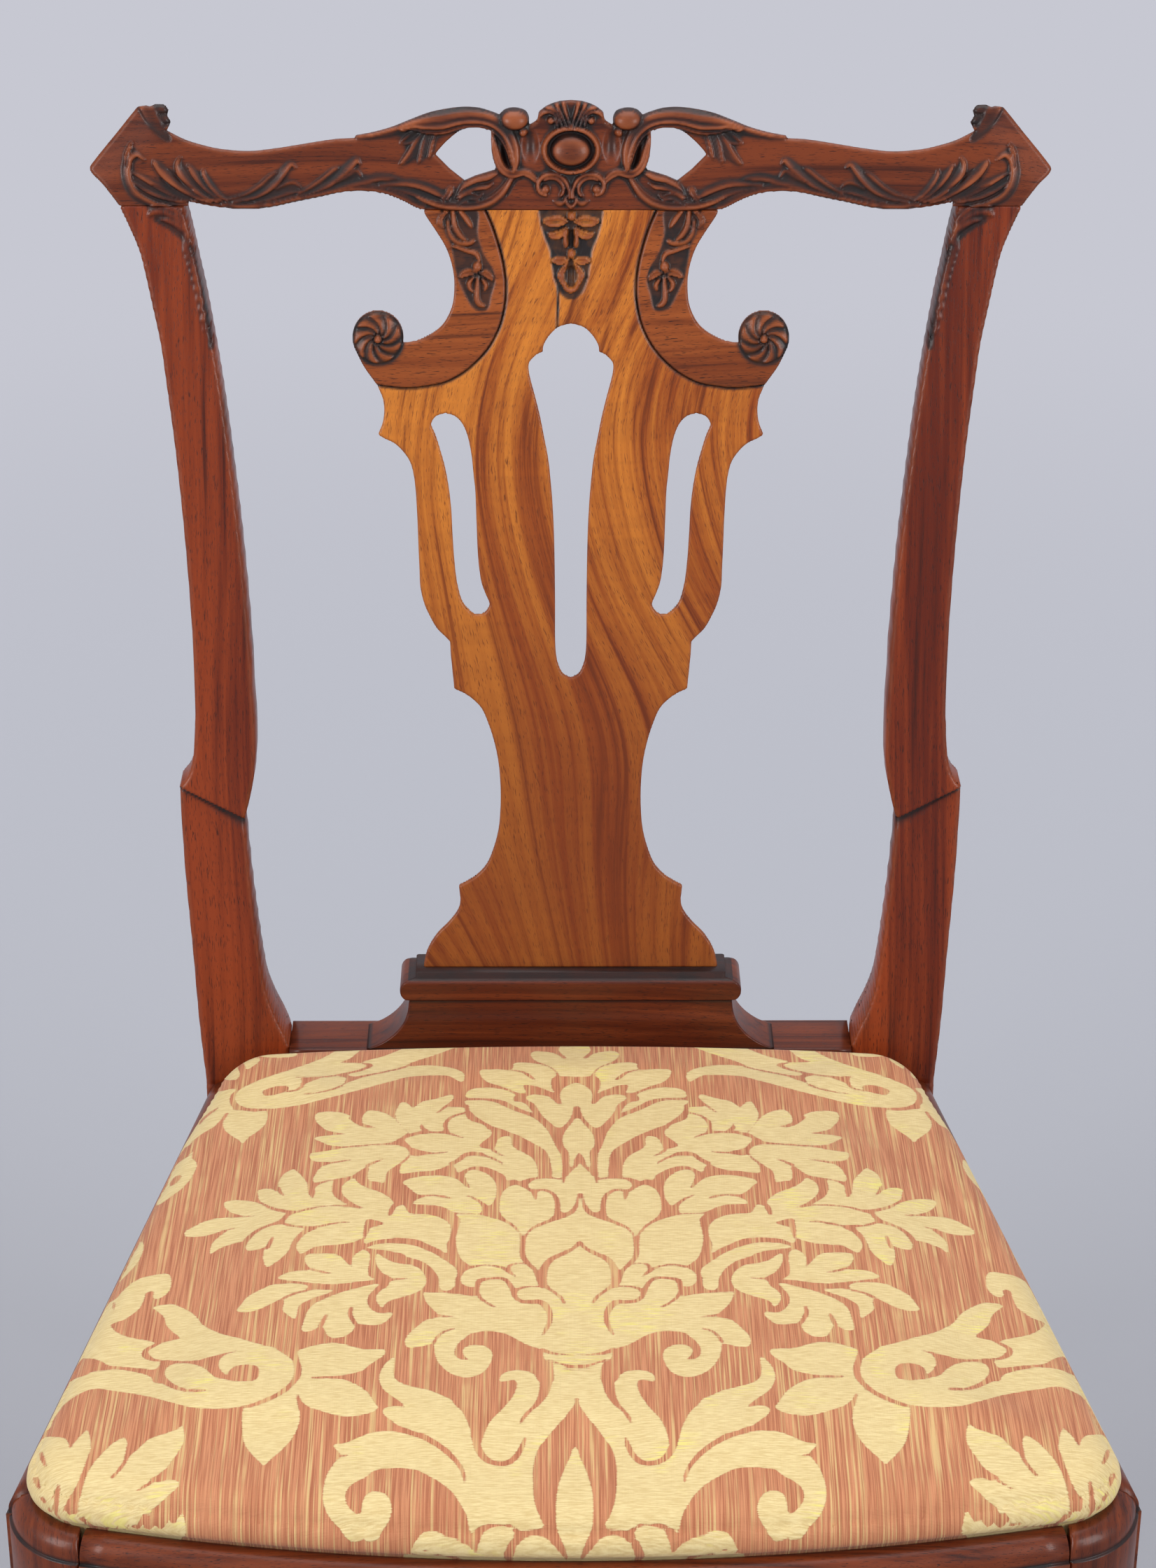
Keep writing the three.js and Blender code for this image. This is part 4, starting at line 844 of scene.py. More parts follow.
    # The loop's inner limb, then the arch over it
    limb = [(43.2, 970.5, 1.4), (41.4, 962, 2.2), (39.4, 954.8, 2.6), (36, 950.6, 2.8), (31.5, 949, 2.6),
            (27, 949.6, 2.3), (22.8, 948.8, 2.2), (19, 945.8, 1.9), (17.6, 942.8, 1.4)]
    sheet.stroke([(35.5, 966, 2.6), (34.8, 958, 3.0), (34.4, 953.6, 2.0)], 3.0, "groove", over=False)
    sheet.stroke(limb, 2.2, "dome", ribs=[(-0.55, 0.25, 0.6), (0.5, 0.3, 0.5), (0.0, 0.25, -0.7)])
    arch = [(30.6, 951.6, 1.6), (30.8, 956, 3.2), (32.2, 963, 4.4), (36, 970.4, 5.0), (43, 975.6, 5.0),
            (52, 977.4, 5.0), (61, 976.8, 5.4), (70, 974.8, 6.0), (78, 974.4, 5.2), (86, 974.2, 3.0),
            (92, 972.6, 1.8)]
    sheet.stroke(arch, 3.2, "dome", ribs=[(0.28, 0.14, 0.8), (0.52, 0.16, -1.1), (0.8, 0.16, 0.9),
                                          (-0.1, 0.14, -0.7), (-0.78, 0.2, 0.4)])
    sheet.knob((30.8, 977.0), (7.9, 5.6), 6.0)
    sheet.knob((26.0, 970.6), (2.5, 2.3), 2.6, lift=0.4)

    # The middle: hollow cheeks, the ring and its boss, the shell above and the scrolls below
    sheet.dish((22.0, 963.0), (5.2, 10.5), 3.0)
    ring = [(14.6 * x, 961.3 + 11.3 * z, 1.5) for x, z in arc((0, 0), 1.0, -90, 90, 15)]
    sheet.stroke(ring, 2.8, "bead", lift=0.6)
    sheet.knob((0, 961.0), (12.8, 9.8), 0.5, lift=-1.2, mirror=False)
    sheet.knob((0, 961.0), (11.0, 8.5), 6.0, lift=-0.8, mirror=False)
    for form, height, path in [
            ("bead", 2.4, [(0.5, 973.2, 0.8), (1.6, 977.4, 1.0), (3.1, 981.4, 1.3), (4.2, 985.6, 1.3)]),
            ("bead", 2.4, [(2.2, 973.2, 0.8), (3.8, 976.6, 1.0), (5.6, 980.6, 1.4), (7.8, 984.8, 1.4)]),
            ("bead", 2.3, [(4.6, 973.0, 0.9), (5.8, 976, 1.1), (7.0, 979.6, 1.2), (9.8, 982.6, 1.3),
                           (13.4, 983.2, 1.1)]),
            ("bead", 2.2, [(7.4, 973.4, 0.9), (8.0, 976.6, 1.2), (8.8, 979.4, 1.2), (11.6, 980.9, 1.1),
                           (15.0, 980.4, 1.1), (17.2, 978.6, 0.9), (18.2, 976.2, 0.7)])]:
        sheet.stroke(path, height, form, lift=0.3)
    sheet.knob((11.0, 976.6), (2.1, 2.0), 2.6, lift=0.3)
    for form, height, path in [
            ("turn", 2.0, [(1.2, 938.6, 0.9), (3.2, 934.8, 1.5), (6.0, 933.2, 1.7), (9.2, 934.6, 0.8)]),
            ("bead", 2.4, [(5.8, 937.6, 0.8), (4.2, 939.6, 1.1), (4.4, 943, 1.3), (7.4, 946.2, 1.3),
                           (11.4, 946.9, 1.2), (14.6, 945.9, 1.0)]),
            ("bead", 2.6, [(0.8, 936.5, 0.9), (1.3, 941.6, 1.3), (3.6, 946.2, 1.5), (7.6, 948.7, 1.5),
                           (12.2, 948.9, 1.5), (16.2, 947, 1.6), (18.0, 943.2, 1.6), (16.8, 939.6, 1.5),
                           (13.6, 938.2, 1.3)]),
            ("bead", 2.4, [(3.3, 937, 0.8), (1.9, 933.4, 1.0), (0, 931.6, 1.1)])]:
        sheet.stroke(path, height, form, lift=0.2)
    sheet.knob((14.0, 941.2), (2.5, 2.3), 3.0, lift=0.2)
    sheet.stroke([(25.5, 948, 1.0), (31, 944.5, 1.2), (35, 938, 1.0)], 0.8, "groove", over=False)
    return sheet


FLOURISH_GROUND = [(17.5, 929), (16.4, 922), (14.2, 915), (11.6, 908.6), (10.6, 902), (9.2, 894),
                   (6.4, 887), (2.8, 883.6), (0, 883)]


def carve_husks(sheet):
    """Two husks hang down the middle of the splat on a dark, tapering ground."""
    sheet.sink(both_sides(smooth([(17.5, 932), *FLOURISH_GROUND])), 1.0, 1.0)
    for form, height, path in [
            ("leaf", 2.4, [(2.8, 924.2, 1.2), (6.6, 924.3, 3.0), (10.6, 924.0, 2.9), (13.6, 924.2, 1.5),
                           (15.2, 924.6, 0.5)]),
            ("leaf", 2.2, [(2.6, 920.4, 1.0), (5.4, 918.0, 2.2), (8.6, 916.8, 2.3), (11, 917.3, 1.3),
                           (12.2, 918, 0.5)]),
            ("bead", 1.8, [(2.6, 919, 0.9), (3.2, 915, 1.2), (2.6, 911.2, 0.8)]),
            ("leaf", 2.2, [(2.2, 904.2, 1.0), (5.2, 903.6, 2.2), (8.0, 903.7, 1.9), (10, 904.2, 0.6)]),
            ("bead", 1.4, [(1.2, 905, 0.6), (2.6, 901.6, 0.8), (3.4, 899.4, 0.5)]),
            ("leaf", 1.9, [(3.2, 900.6, 0.9), (5.4, 897, 1.7), (5.2, 893.8, 1.5), (3.6, 890.8, 0.8)]),
            ("bead", 1.9, [(4.2, 892, 0.8), (2.4, 888.8, 1.2), (0, 887.8, 1.4)])]:
        sheet.stroke(path, height, form)
    sheet.stroke([(0, 918, 1.6), (0, 911.5, 1.8)], 1.8, "groove", over=False, mirror=False)
    sheet.stroke([(0, 899, 1.8), (0, 891.5, 2.0)], 1.8, "groove", over=False, mirror=False)
    sheet.knob((0.4, 926.9), (2.3, 2.3), 3.0, mirror=False)
    sheet.knob((0.2, 907.2), (2.2, 2.2), 2.8, mirror=False)


def make_splat():
    """The pierced splat, with seams beside the wings lowered and darkened with painted shade."""
    crest_seam = [(0, CREST_SEAM_Z - SEAM_GAP), (SPLAT_TOP_HALF, CREST_SEAM_Z - SEAM_GAP)]
    half = np.vstack([crest_seam, WING_SEAM[1:], SPLAT_SIDE])
    loops = [both_sides(half), both_sides(MIDDLE_SLOT), SIDE_SLOT, mirrored(SIDE_SLOT)]
    rolled = [SPLAT_SIDE, MIDDLE_SLOT, ring_of(SIDE_SLOT)]
    sheet = Sheet(loops, SPLAT_STEP, rolled + [mirrored(line) for line in rolled], reach=12.0)
    carve_husks(sheet)
    # Painted shade darkens the splat where the wings stand proud of it
    seam = sheet.nearest([WING_SEAM, mirrored(WING_SEAM)], 8.0)
    sheet.dirt_and_shade = np.maximum(sheet.dirt_and_shade, ramp(2.6, 0.6, seam) * 0.9)
    sheet.relief -= 0.9 * ramp(2.2, 0.4, seam)
    # A shrinkage crack runs up from the middle slot
    crack = [(-7.6, 869, 0.7), (-7.4, 876, 0.6), (-7.0, 884, 0.5), (-7.2, 890, 0.4)]
    sheet.stroke(crack, 1.2, "groove", over=False, mirror=False)
    near_crack = sheet.nearest([np.array([(-7.6, 868.0), (-7.3, 880.0), (-7.1, 891.0)])], 4.0)
    sheet.dirt_and_shade = np.maximum(sheet.dirt_and_shade, ramp(1.3, 0.3, near_crack))
    thickness = np.full(sheet.u.shape, SPLAT_THICKNESS)
    splat = plate("splat_carved", sheet, back_face(sheet.v), thickness, splat_wood,
                  round_front=1.1, chamfer=5.0, wall=1.9)
    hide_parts("splat")


def make_crest():
    """The carved crest rail, thinner behind towards its top edge."""
    sheet = carve_crest()
    # The rail thins towards its top edge behind, and stays thick where it meets posts and splat
    lean = ramp(0, 22, sheet.edge)
    thickness = CREST_TOP_THICKNESS + (CREST_THICKNESS - 0.5 - CREST_TOP_THICKNESS) * lean
    crest = plate("crest_carved", sheet, back_face(sheet.v), thickness, crest_wood,
                  round_front=1.9, chamfer=9.0, wall=2.2)
    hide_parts("crest_rail")


def rosette(sheet):
    """Gadroons swirl round the middle of the scroll's volute."""
    for sign in (1, -1):
        x, z = sign * sheet.u - VOLUTE[0], sheet.v - VOLUTE[1]
        far = np.hypot(x, z) / VOLUTE_RADIUS
        turn = np.arctan2(z, -x)
        phase = (9 * (turn / (2 * math.pi)) + 1.9 * np.clip(1 - far, 0, 1) ** 1.2) % 1.0
        lobe = np.where(phase < 0.82, (phase / 0.82) ** 0.8, 1 - (phase - 0.82) / 0.18)
        rim = 1 - ramp(0.90, 0.99, far)
        shape = (1.0 + 2.4 * np.sqrt(np.clip(1 - far ** 2, 0, 1))) * (0.35 + 0.65 * lobe) * rim
        inside = ramp(1.04, 0.97, far)
        sheet.relief = sheet.relief * (1 - inside) + (shape - 0.6) * inside
        sheet.cover = np.maximum(sheet.cover, ramp(1.1, 0.95, far))
    sheet.knob(VOLUTE, (2.9, 2.9), 0.4, lift=0.2)
    sheet.knob(VOLUTE, (2.1, 2.1), 2.6, lift=1.4)


def carve_wing(sheet):
    """A husk and its leaves hang down the wing."""
    for form, height, path in [
            ("leaf", 2.0, [(67.6, 929.8, 1.0), (70.6, 926.6, 1.5), (71.4, 923.6, 1.3), (70, 921.4, 0.7)]),
            ("turn", 2.0, [(60.4, 929.8, 1.0), (57.4, 926.4, 1.6), (55.2, 923.2, 1.3),
                           (54.2, 921.4, 0.6)]),
            ("fold", 1.9, [(64.6, 929.6, 1.2), (63.9, 922, 2.2), (60.9, 917, 2.0), (57.6, 914.6, 0.9)]),
            ("fold", 2.0, [(67.4, 925, 1.0), (66.6, 918.4, 1.6), (62.4, 913.4, 1.8), (56.4, 912.6, 1.6),
                           (52.8, 914, 0.7)]),
            ("bead", 1.8, [(64.4, 911.6, 0.8), (57.4, 909.4, 1.4), (52, 907.6, 1.5), (50, 903.8, 0.9)]),
            ("leaf", 2.0, [(52, 897.8, 1.0), (55.4, 898, 2.1), (59, 896.7, 1.7), (61, 895.2, 0.6)]),
            ("leaf", 2.0, [(49.6, 897.8, 1.0), (46.4, 897.2, 2.0), (43.8, 895.2, 1.5), (43, 893.4, 0.6)]),
            ("bead", 1.7, [(53.2, 895.5, 0.8), (55.6, 892.5, 1.5), (55.3, 889.5, 1.2),
                           (53.8, 887.8, 0.6)]),
            ("bead", 1.6, [(48.6, 894.6, 0.8), (46.6, 891.2, 1.3), (47.2, 888.4, 0.6)]),
            ("fold", 1.9, [(51.3, 896, 0.9), (51.6, 890, 1.6), (51.8, 884, 1.8), (50, 880.8, 1.5),
                           (47.2, 879.8, 0.6)])]:
        sheet.stroke(path, height, form)
    sheet.knob((51.2, 900.9), (2.5, 2.5), 3.0)


def make_wings():
    """The two scrolled wings, carved on a dark ground that narrows downwards."""
    volute = arc(VOLUTE, VOLUTE_RADIUS, 190, -28, 40)
    scroll = np.vstack([SCROLL_INNER, volute, SCROLL_TAIL])
    half = np.vstack([WING_SEAM[::-1], [(SPLAT_TOP_HALF, CREST_SEAM_Z - SEAM_GAP)], scroll])
    rolled = [scroll, WING_SEAM]
    for side, sign in (("left", -1), ("right", 1)):
        sheet = Sheet([half * (sign, 1)], PLATE_STEP, [line * (sign, 1) for line in rolled], reach=12.0)
        ground = [(72, 931), (66, 918), (64.5, 906), (62.5, 896), (58, 886), (53, 878.4), (46, 878),
                  (43.5, 886), (41.6, 893), (43, 900), (48, 908), (51, 918), (52, 931)]
        sheet.sink(smooth(ring_of(np.array(ground, float) * (sign, 1)))[:-1], 0.7, 1.2)
        carve_wing(sheet)
        rosette(sheet)
        # Painted shade along the wing's edge where it meets the splat
        seam = sheet.nearest([WING_SEAM * (sign, 1)], 6.0)
        sheet.dirt_and_shade = np.maximum(sheet.dirt_and_shade, ramp(1.0, 0.3, seam) * 0.8)
        thickness = np.full(sheet.u.shape, WING_THICKNESS)
        wing = plate(f"scroll_wing_{side}_carved", sheet, back_face(sheet.v) - WING_PROUD, thickness,
                     wing_wood, round_front=1.3, chamfer=5.0, wall=2.2)
        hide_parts(f"scroll_wing_{side}")


# The posts' depth at heights, the foot's rake behind, and the ledge that crosses their faces
POST_DEPTHS = ((0, 440, 932), (34, 40, 24))
POST_EASE = 0.3
POST_RAKE = 58.0
LEDGE_OUTER = (222.0, 614.0)
LEDGE_INNER = (185.0, 595.5)
LEDGE_STEP = 5.0


def post_face(z):
    """Y of the post's front face at a height: it follows the back, and the leg rakes behind."""
    foot = POST_RAKE * np.clip(1 - np.asarray(z, float) / SEAT_Z, 0, 1) ** 1.6
    return np.where(z < SEAT_Z, foot, back_face(z))


def make_posts():
    """The rear posts with their legs: carved below the ears and stepped at the ledge."""
    half = np.vstack([POST_OUTER, POST_INNER])
    for side, sign in (("left", -1), ("right", 1)):
        loop = half * (sign, 1)
        lines = [POST_OUTER * (sign, 1), POST_INNER * (sign, 1)]
        sheet = Sheet([loop], POST_STEP, lines, reach=20.0)
        carve_ear(sheet)
        # The beaded border of the leaf that flows down the inner edge, darkened with painted shade
        border = [(226, 925, 0.9), (220, 922, 1.2), (213, 916.6, 1.3), (208.4, 910.6, 1.3),
                  (205.4, 904, 1.3), (203, 896, 1.2), (201, 886, 1.1), (199, 872, 1.0),
                  (197.6, 858, 0.7)]
        sheet.stroke(border, 1.2, "groove", over=False)
        shade = sheet.nearest([smooth(border)[:, :2] * (sign, 1)], 8.0)
        sheet.dirt_and_shade = np.maximum(sheet.dirt_and_shade, ramp(3.0, 0.8, shade) * 0.85)
        sheet.stroke([(211, 919, 1.0), (210, 911, 2.0), (207.4, 902, 2.0), (205, 892, 1.7),
                      (202.4, 878, 1.3), (200.6, 866, 0.6)], 1.4, "leaf")
        # The ledge, and the face set back below it, with painted shade in the cove under the ledge
        x, z = sign * sheet.u, sheet.v
        slope = (LEDGE_OUTER[1] - LEDGE_INNER[1]) / (LEDGE_OUTER[0] - LEDGE_INNER[0])
        below = LEDGE_INNER[1] + slope * (x - LEDGE_INNER[0]) - z
        share = np.clip((z - SEAT_Z) / (LEDGE_OUTER[1] - SEAT_Z), 0, 1)
        step = (1.0 + (LEDGE_STEP - 1.0) * share) * ramp(-0.6, 1.0, below) * (z > SEAT_Z - 4)
        taper = ramp(218, 186, x)
        cove = ramp(3 + 9 * taper, 0, below) * (below > -0.5) * (z > 560)
        sheet.relief -= step + 1.5 * cove
        sheet.dirt_and_shade = np.maximum(sheet.dirt_and_shade, cove * 0.9)
        depth = np.interp(z, POST_DEPTHS[0], POST_DEPTHS[1])
        post = plate(f"rear_post_{side}_shaped", sheet, post_face(z), depth - POST_EASE,
                     post_wood, round_front=2.2, chamfer=3.0, wall=19.0, fine=1.0)
        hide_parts(f"rear_post_{side}")


make_crest()
make_splat()
make_wings()
make_posts()


# Seat rails and front legs

REAR_HALF = 211.5
FRONT_HALF = 282.5
SEAT_DEPTH = 421.0
FRONT_BOW = 26.0
CORNER_RADIUS = 45.0
LEG_WIDTH = 40.0
RAIL_BOTTOM_Z = 374.0
LEDGE_Z = 426.0
LIP = 14.0
RAIL_THICK = 30.0
RAIL_EASE = 1.2
JOINT_GAP = 0.3
OVOLO = 10.0
QUIRK = 1.5
QUIRK_DROP = 2.5
QUIRK_Z = SEAT_Z - OVOLO - QUIRK_DROP
KNEE_RADIUS = 28.0
KNEE_PROUD = 9.0

side_run = np.array([FRONT_HALF - REAR_HALF, -SEAT_DEPTH])
side_run = side_run / np.hypot(*side_run)
side_out = np.array([-side_run[1], side_run[0]])
LEG_SEAM_Y = LEG_WIDTH - SEAT_DEPTH
LEG_SEAM_X = REAR_HALF + (FRONT_HALF - REAR_HALF) * -LEG_SEAM_Y / SEAT_DEPTH - LEG_WIDTH
BOW_RADIUS = (LEG_SEAM_X ** 2 + FRONT_BOW ** 2) / (2 * FRONT_BOW)
BOW_CENTRE = np.array([0.0, BOW_RADIUS - SEAT_DEPTH - FRONT_BOW])


def corner_centre():
    """The corner's arc touches the straight side and the bowed front."""
    inside = np.array([REAR_HALF, 0.0]) - side_out * CORNER_RADIUS
    away = inside - BOW_CENTRE
    along = away @ side_run
    run = math.sqrt(along ** 2 - away @ away + (BOW_RADIUS - CORNER_RADIUS) ** 2) - along
    return inside + side_run * run


CORNER = corner_centre()
SIDE_ANGLE = math.degrees(math.atan2(side_out[1], side_out[0]))
BOW_ANGLE = math.degrees(math.atan2(*(CORNER - BOW_CENTRE)[::-1]))


def side_at(y, inset):
    """The point of the right side's edge at a Y, at an inset from the rail's outer face."""
    start = np.array([REAR_HALF, 0.0]) - side_out * inset
    return start + side_run * (y - start[1]) / side_run[1]


def front_edge(inset, arc_count=17, bow_count=15):
    """Round the right front corner and along the bow to the middle."""
    corner = arc(CORNER, CORNER_RADIUS - inset, SIDE_ANGLE, BOW_ANGLE, arc_count)
    bow = arc(BOW_CENTRE, BOW_RADIUS - inset, BOW_ANGLE, -90, bow_count)
    return np.vstack([corner, bow[1:]])


def rail_section():
    """Inset and height round the rail's section, with eased arrises."""
    bottom = RAIL_BOTTOM_Z
    turns = np.radians(np.linspace(0, 90, 12))
    outside = [(RAIL_EASE, bottom), (0.3, bottom + 0.4), (0, bottom + RAIL_EASE), (0, QUIRK_Z - 0.7)]
    quirk = [(0.25, QUIRK_Z - 0.15), (0.6, QUIRK_Z), (QUIRK - 0.1, QUIRK_Z + 0.15),
             (QUIRK, QUIRK_Z + 0.5)]
    ovolo = [(QUIRK + OVOLO * (1 - math.cos(t)), SEAT_Z - OVOLO * (1 - math.sin(t))) for t in turns]
    lip = [(LIP - 0.5, SEAT_Z), (LIP, SEAT_Z - 0.5), (LIP, LEDGE_Z)]
    inside = [(RAIL_THICK - RAIL_EASE, LEDGE_Z), (RAIL_THICK, LEDGE_Z - RAIL_EASE),
              (RAIL_THICK, bottom + RAIL_EASE), (RAIL_THICK - RAIL_EASE, bottom)]
    return outside + quirk + ovolo + lip + inside


def rail_values(section, count):
    """Painted shade darkens the quirk below the moulding and the inside of the lip, and the arris
    gets rubbed wear and a painted highlight.
    """
    dirt_and_shade = []
    wear_and_highlight = []
    for inset, z in section:
        in_quirk = abs(z - QUIRK_Z) < 0.6 and inset < 2
        on_lip = inset > LIP - 1 and z > LEDGE_Z
        on_arris = abs(z - (QUIRK_Z - 0.7)) < 0.3 and inset < 1
        dirt_and_shade.append(1.0 if in_quirk else 0.5 if on_lip else 0.0)
        wear_and_highlight.append(0.3 if on_arris else 0.0)
    return {"dirt_and_shade": np.tile(dirt_and_shade, count), "wear_and_highlight": np.tile(wear_and_highlight, count)}


def make_rails():
    """The bowed front rail and the two side rails, with one moulded section."""
    section = rail_section()
    half_angle = math.degrees(math.asin((LEG_SEAM_X - JOINT_GAP) / BOW_RADIUS))
    rings = []
    for turn in np.linspace(-90 - half_angle, -90 + half_angle, 41):
        direction = np.array([math.cos(math.radians(turn)), math.sin(math.radians(turn))])
        rings.append([(*(BOW_CENTRE + direction * (BOW_RADIUS - inset)), z) for inset, z in section])
    points, faces = sweep(rings)
    front = build("front_rail_moulded", points, faces, rail_wood, FRAME_BODY,
                  rail_values(section, len(rings)))
    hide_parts("front_seat_rail")
    for side, sign in (("left", -1), ("right", 1)):
        rings = []
        for y in np.linspace(-JOINT_GAP, LEG_SEAM_Y + JOINT_GAP, 30):
            rings.append([(sign * side_at(y, inset)[0], y, z) for inset, z in section])
        points, faces = sweep(rings)
        rail = build(f"side_rail_{side}_moulded", points, faces, side_wood, FRAME_BODY,
                     rail_values(section, len(rings)))
        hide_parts(f"side_seat_rail_{side}")


LEG_CENTRE = np.array([LEG_SEAM_X + LEG_WIDTH / 2, LEG_SEAM_Y - LEG_WIDTH / 2])
LEG_HEART = np.array([LEG_SEAM_X + 10, LEG_SEAM_Y - 9])
LEG_SIDES = 96
POST_BOTTOM_Z = 330.0
KNEE_FILLET = 3.0


def leg_plan(inset):
    """The leg top's plan at an inset from the chair's outer edge."""
    outline = front_edge(inset, 65, 65)
    seams = []
    for axis, seam in ((1, LEG_SEAM_Y), (0, LEG_SEAM_X)):
        k = np.nonzero(outline[:, axis] < seam)[0][0]
        share = (outline[k - 1, axis] - seam) / (outline[k - 1, axis] - outline[k, axis])
        seams.append((k, outline[k - 1] + share * (outline[k] - outline[k - 1])))
    (start, first), (end, last) = seams
    return np.vstack([[first], outline[start:end], [last, (LEG_SEAM_X, LEG_SEAM_Y)]])


def reaches(loop, centre, rays):
    """How far each ray from the centre runs to the loop."""
    best = np.full(len(rays), 1e3)
    for a, b in zip(loop, np.roll(loop, -1, 0)):
        edge, away = b - a, a - centre
        cross = rays[:, 0] * edge[1] - rays[:, 1] * edge[0]
        cross = np.where(np.abs(cross) < 1e-9, 1e-9, cross)
        far = (away[0] * edge[1] - away[1] * edge[0]) / cross
        share = (away[0] * rays[:, 1] - away[1] * rays[:, 0]) / cross
        hit = (far > 0) & (share >= -1e-6) & (share <= 1 + 1e-6)
        best = np.where(hit & (far < best), far, best)
    return best


# Height up the leg, girth in knee radii and how far out along the diagonal
LEG_LINE = [
    (0, 0.80, 0), (0.004, 0.9, 0), (0.012, 1.0, 0), (0.024, 1.06, 0), (0.04, 1.07, 0),
    (0.058, 1.0, -0.15),
    (0.075, 0.86, -0.4), (0.095, 0.72, -0.7), (0.125, 0.6, -1), (0.18, 0.52, -1.3), (0.27, 0.53, -1.3),
    (0.38, 0.57, -0.9), (0.48, 0.62, -0.3), (0.59, 0.7, 0.3), (0.7, 0.82, 0.8), (0.79, 0.93, 0.9),
    (0.87, 0.98, 0.4), (0.94, 0.90, -0.6), (1.0, 0.70, -1.5)]


def make_legs():
    """The cabriole front legs, whose tops carry the rails' moulding round the corners."""
    turns = np.arange(LEG_SIDES) * 2 * math.pi / LEG_SIDES
    rays = np.stack([np.cos(turns), np.sin(turns)], 1)
    square = leg_plan(0.0)
    rings = []
    dirt_and_shade = []
    for up, girth, out in smooth(LEG_LINE, 4):
        z = up * RAIL_BOTTOM_Z
        away = out * KNEE_PROUD * math.sqrt(0.5)
        middle = LEG_CENTRE + (away, -away)
        knee = middle + girth * KNEE_RADIUS * rays
        rise = ramp(POST_BOTTOM_Z - 40, POST_BOTTOM_Z + 14, z)
        heart = middle + rise * (LEG_HEART - middle)
        far = reaches(knee, heart, rays)
        # The knee's round grows out of the corner's plan
        corner = reaches(square, heart, rays) if rise > 0 else far * 0
        corner = corner * ramp(POST_BOTTOM_Z - 34, POST_BOTTOM_Z - 2, z)
        share = np.clip(0.5 + 0.5 * (far - corner) / KNEE_FILLET, 0, 1)
        radii = corner * (1 - share) + far * share + KNEE_FILLET * share * (1 - share)
        rings.append(np.column_stack([heart + rays * radii[:, None], np.full(LEG_SIDES, z)]))
        dirt_and_shade.append(0.0)
    levels = [(0, 378.0), (0, 395.0), (0, 412.0)]
    levels += [(inset, z) for inset, z in rail_section() if z > QUIRK_Z - 1 and inset <= LIP]
    levels += [(LIP, LEDGE_Z)]
    # Inside the lip the leg's top stops at the ledge
    within = reaches(leg_plan(LIP), LEG_HEART, rays) > reaches(square, LEG_HEART, rays) - 0.01
    for inset, z in levels:
        radii = reaches(leg_plan(inset), LEG_HEART, rays)
        height = np.where(within, min(z, LEDGE_Z), z)
        rings.append(np.column_stack([LEG_HEART + rays * radii[:, None], height]))
        # Painted shade in the quirk below the moulding
        dirt_and_shade.append(1.0 if abs(z - QUIRK_Z) < 0.6 else 0.0)
    dirt_and_shade = np.repeat(dirt_and_shade, LEG_SIDES)
    for side, sign in (("left", -1), ("right", 1)):
        points, faces = sweep(np.array(rings) * (sign, 1, 1))
        leg = build(f"front_leg_{side}_cabriole", points, faces, leg_wood, FRAME_BODY,
                    {"dirt_and_shade": dirt_and_shade, "wear_and_highlight": np.zeros(len(dirt_and_shade))})
        weld(leg)
        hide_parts(f"front_leg_{side}")


# The shoe and the rear rail

# The shoe's sides run down from its top as outward reach and height
SHOE_HALF = 89.0
SHOE_LINE = drawn(
    [(0, 509), (0, 505.6)],
    [(4.0, 505.3), (7.0, 503.6), (8.7, 501), (9.0, 498.4), (8.6, 495.8), (7.0, 493.4), (4.3, 492.2)],
    [(4.0, 491.6), (5.0, 484), (8.0, 476.5), (13.5, 469.5), (21, 463.8), (29, 460.4)])
SHOE_MIDDLE = 16.0
SHOE_HALF_DEPTH = 11.0
FRONT_SHARE = 0.6
REAR_RAIL_HALF = 162.7
REAR_RAIL_BOTTOM_Z = 392.0
REAR_RAIL_FRONT = 1.0
REAR_RAIL_BACK = 36.0
REAR_RAIL_EASE = 2.0


def eased_box(half_width, half_height, radius, steps):
    """A rectangle round the origin with rounded corners."""
    corners = ((half_width, half_height, 0), (-half_width, half_height, 90),
               (-half_width, -half_height, 180), (half_width, -half_height, 270))
    loop = []
    for x, y, start in corners:
        middle = (x - math.copysign(radius, x), y - math.copysign(radius, y))
        loop.append(arc(middle, radius, start, start + 90, steps))
    return np.vstack(loop)


def make_shoe():
    """The moulded block that holds the foot of the splat."""
    rings = []
    dirt_and_shade = []
    for out, z in SHOE_LINE:
        half = SHOE_HALF + out
        deep = min(SHOE_HALF_DEPTH + FRONT_SHARE * out, SHOE_MIDDLE - 1.2)
        ring = eased_box(half, deep, min(1.5, deep / 3), 6) + (0, SHOE_MIDDLE)
        rings.append(np.column_stack([ring, np.full(len(ring), z)]))
        # Painted shade in the moulding's inner corners
        in_corner = z > 505 or 491 < z < 492.5 or z < 461.5
        dirt_and_shade.append(0.9 if in_corner else 0.0)
    count = len(rings[0])
    points, faces = sweep(rings)
    shoe = build("shoe_moulded", points, faces, rail_wood, FRAME_BODY,
                 {"dirt_and_shade": np.repeat(dirt_and_shade, count), "wear_and_highlight": np.zeros(len(points))})
    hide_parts("shoe")


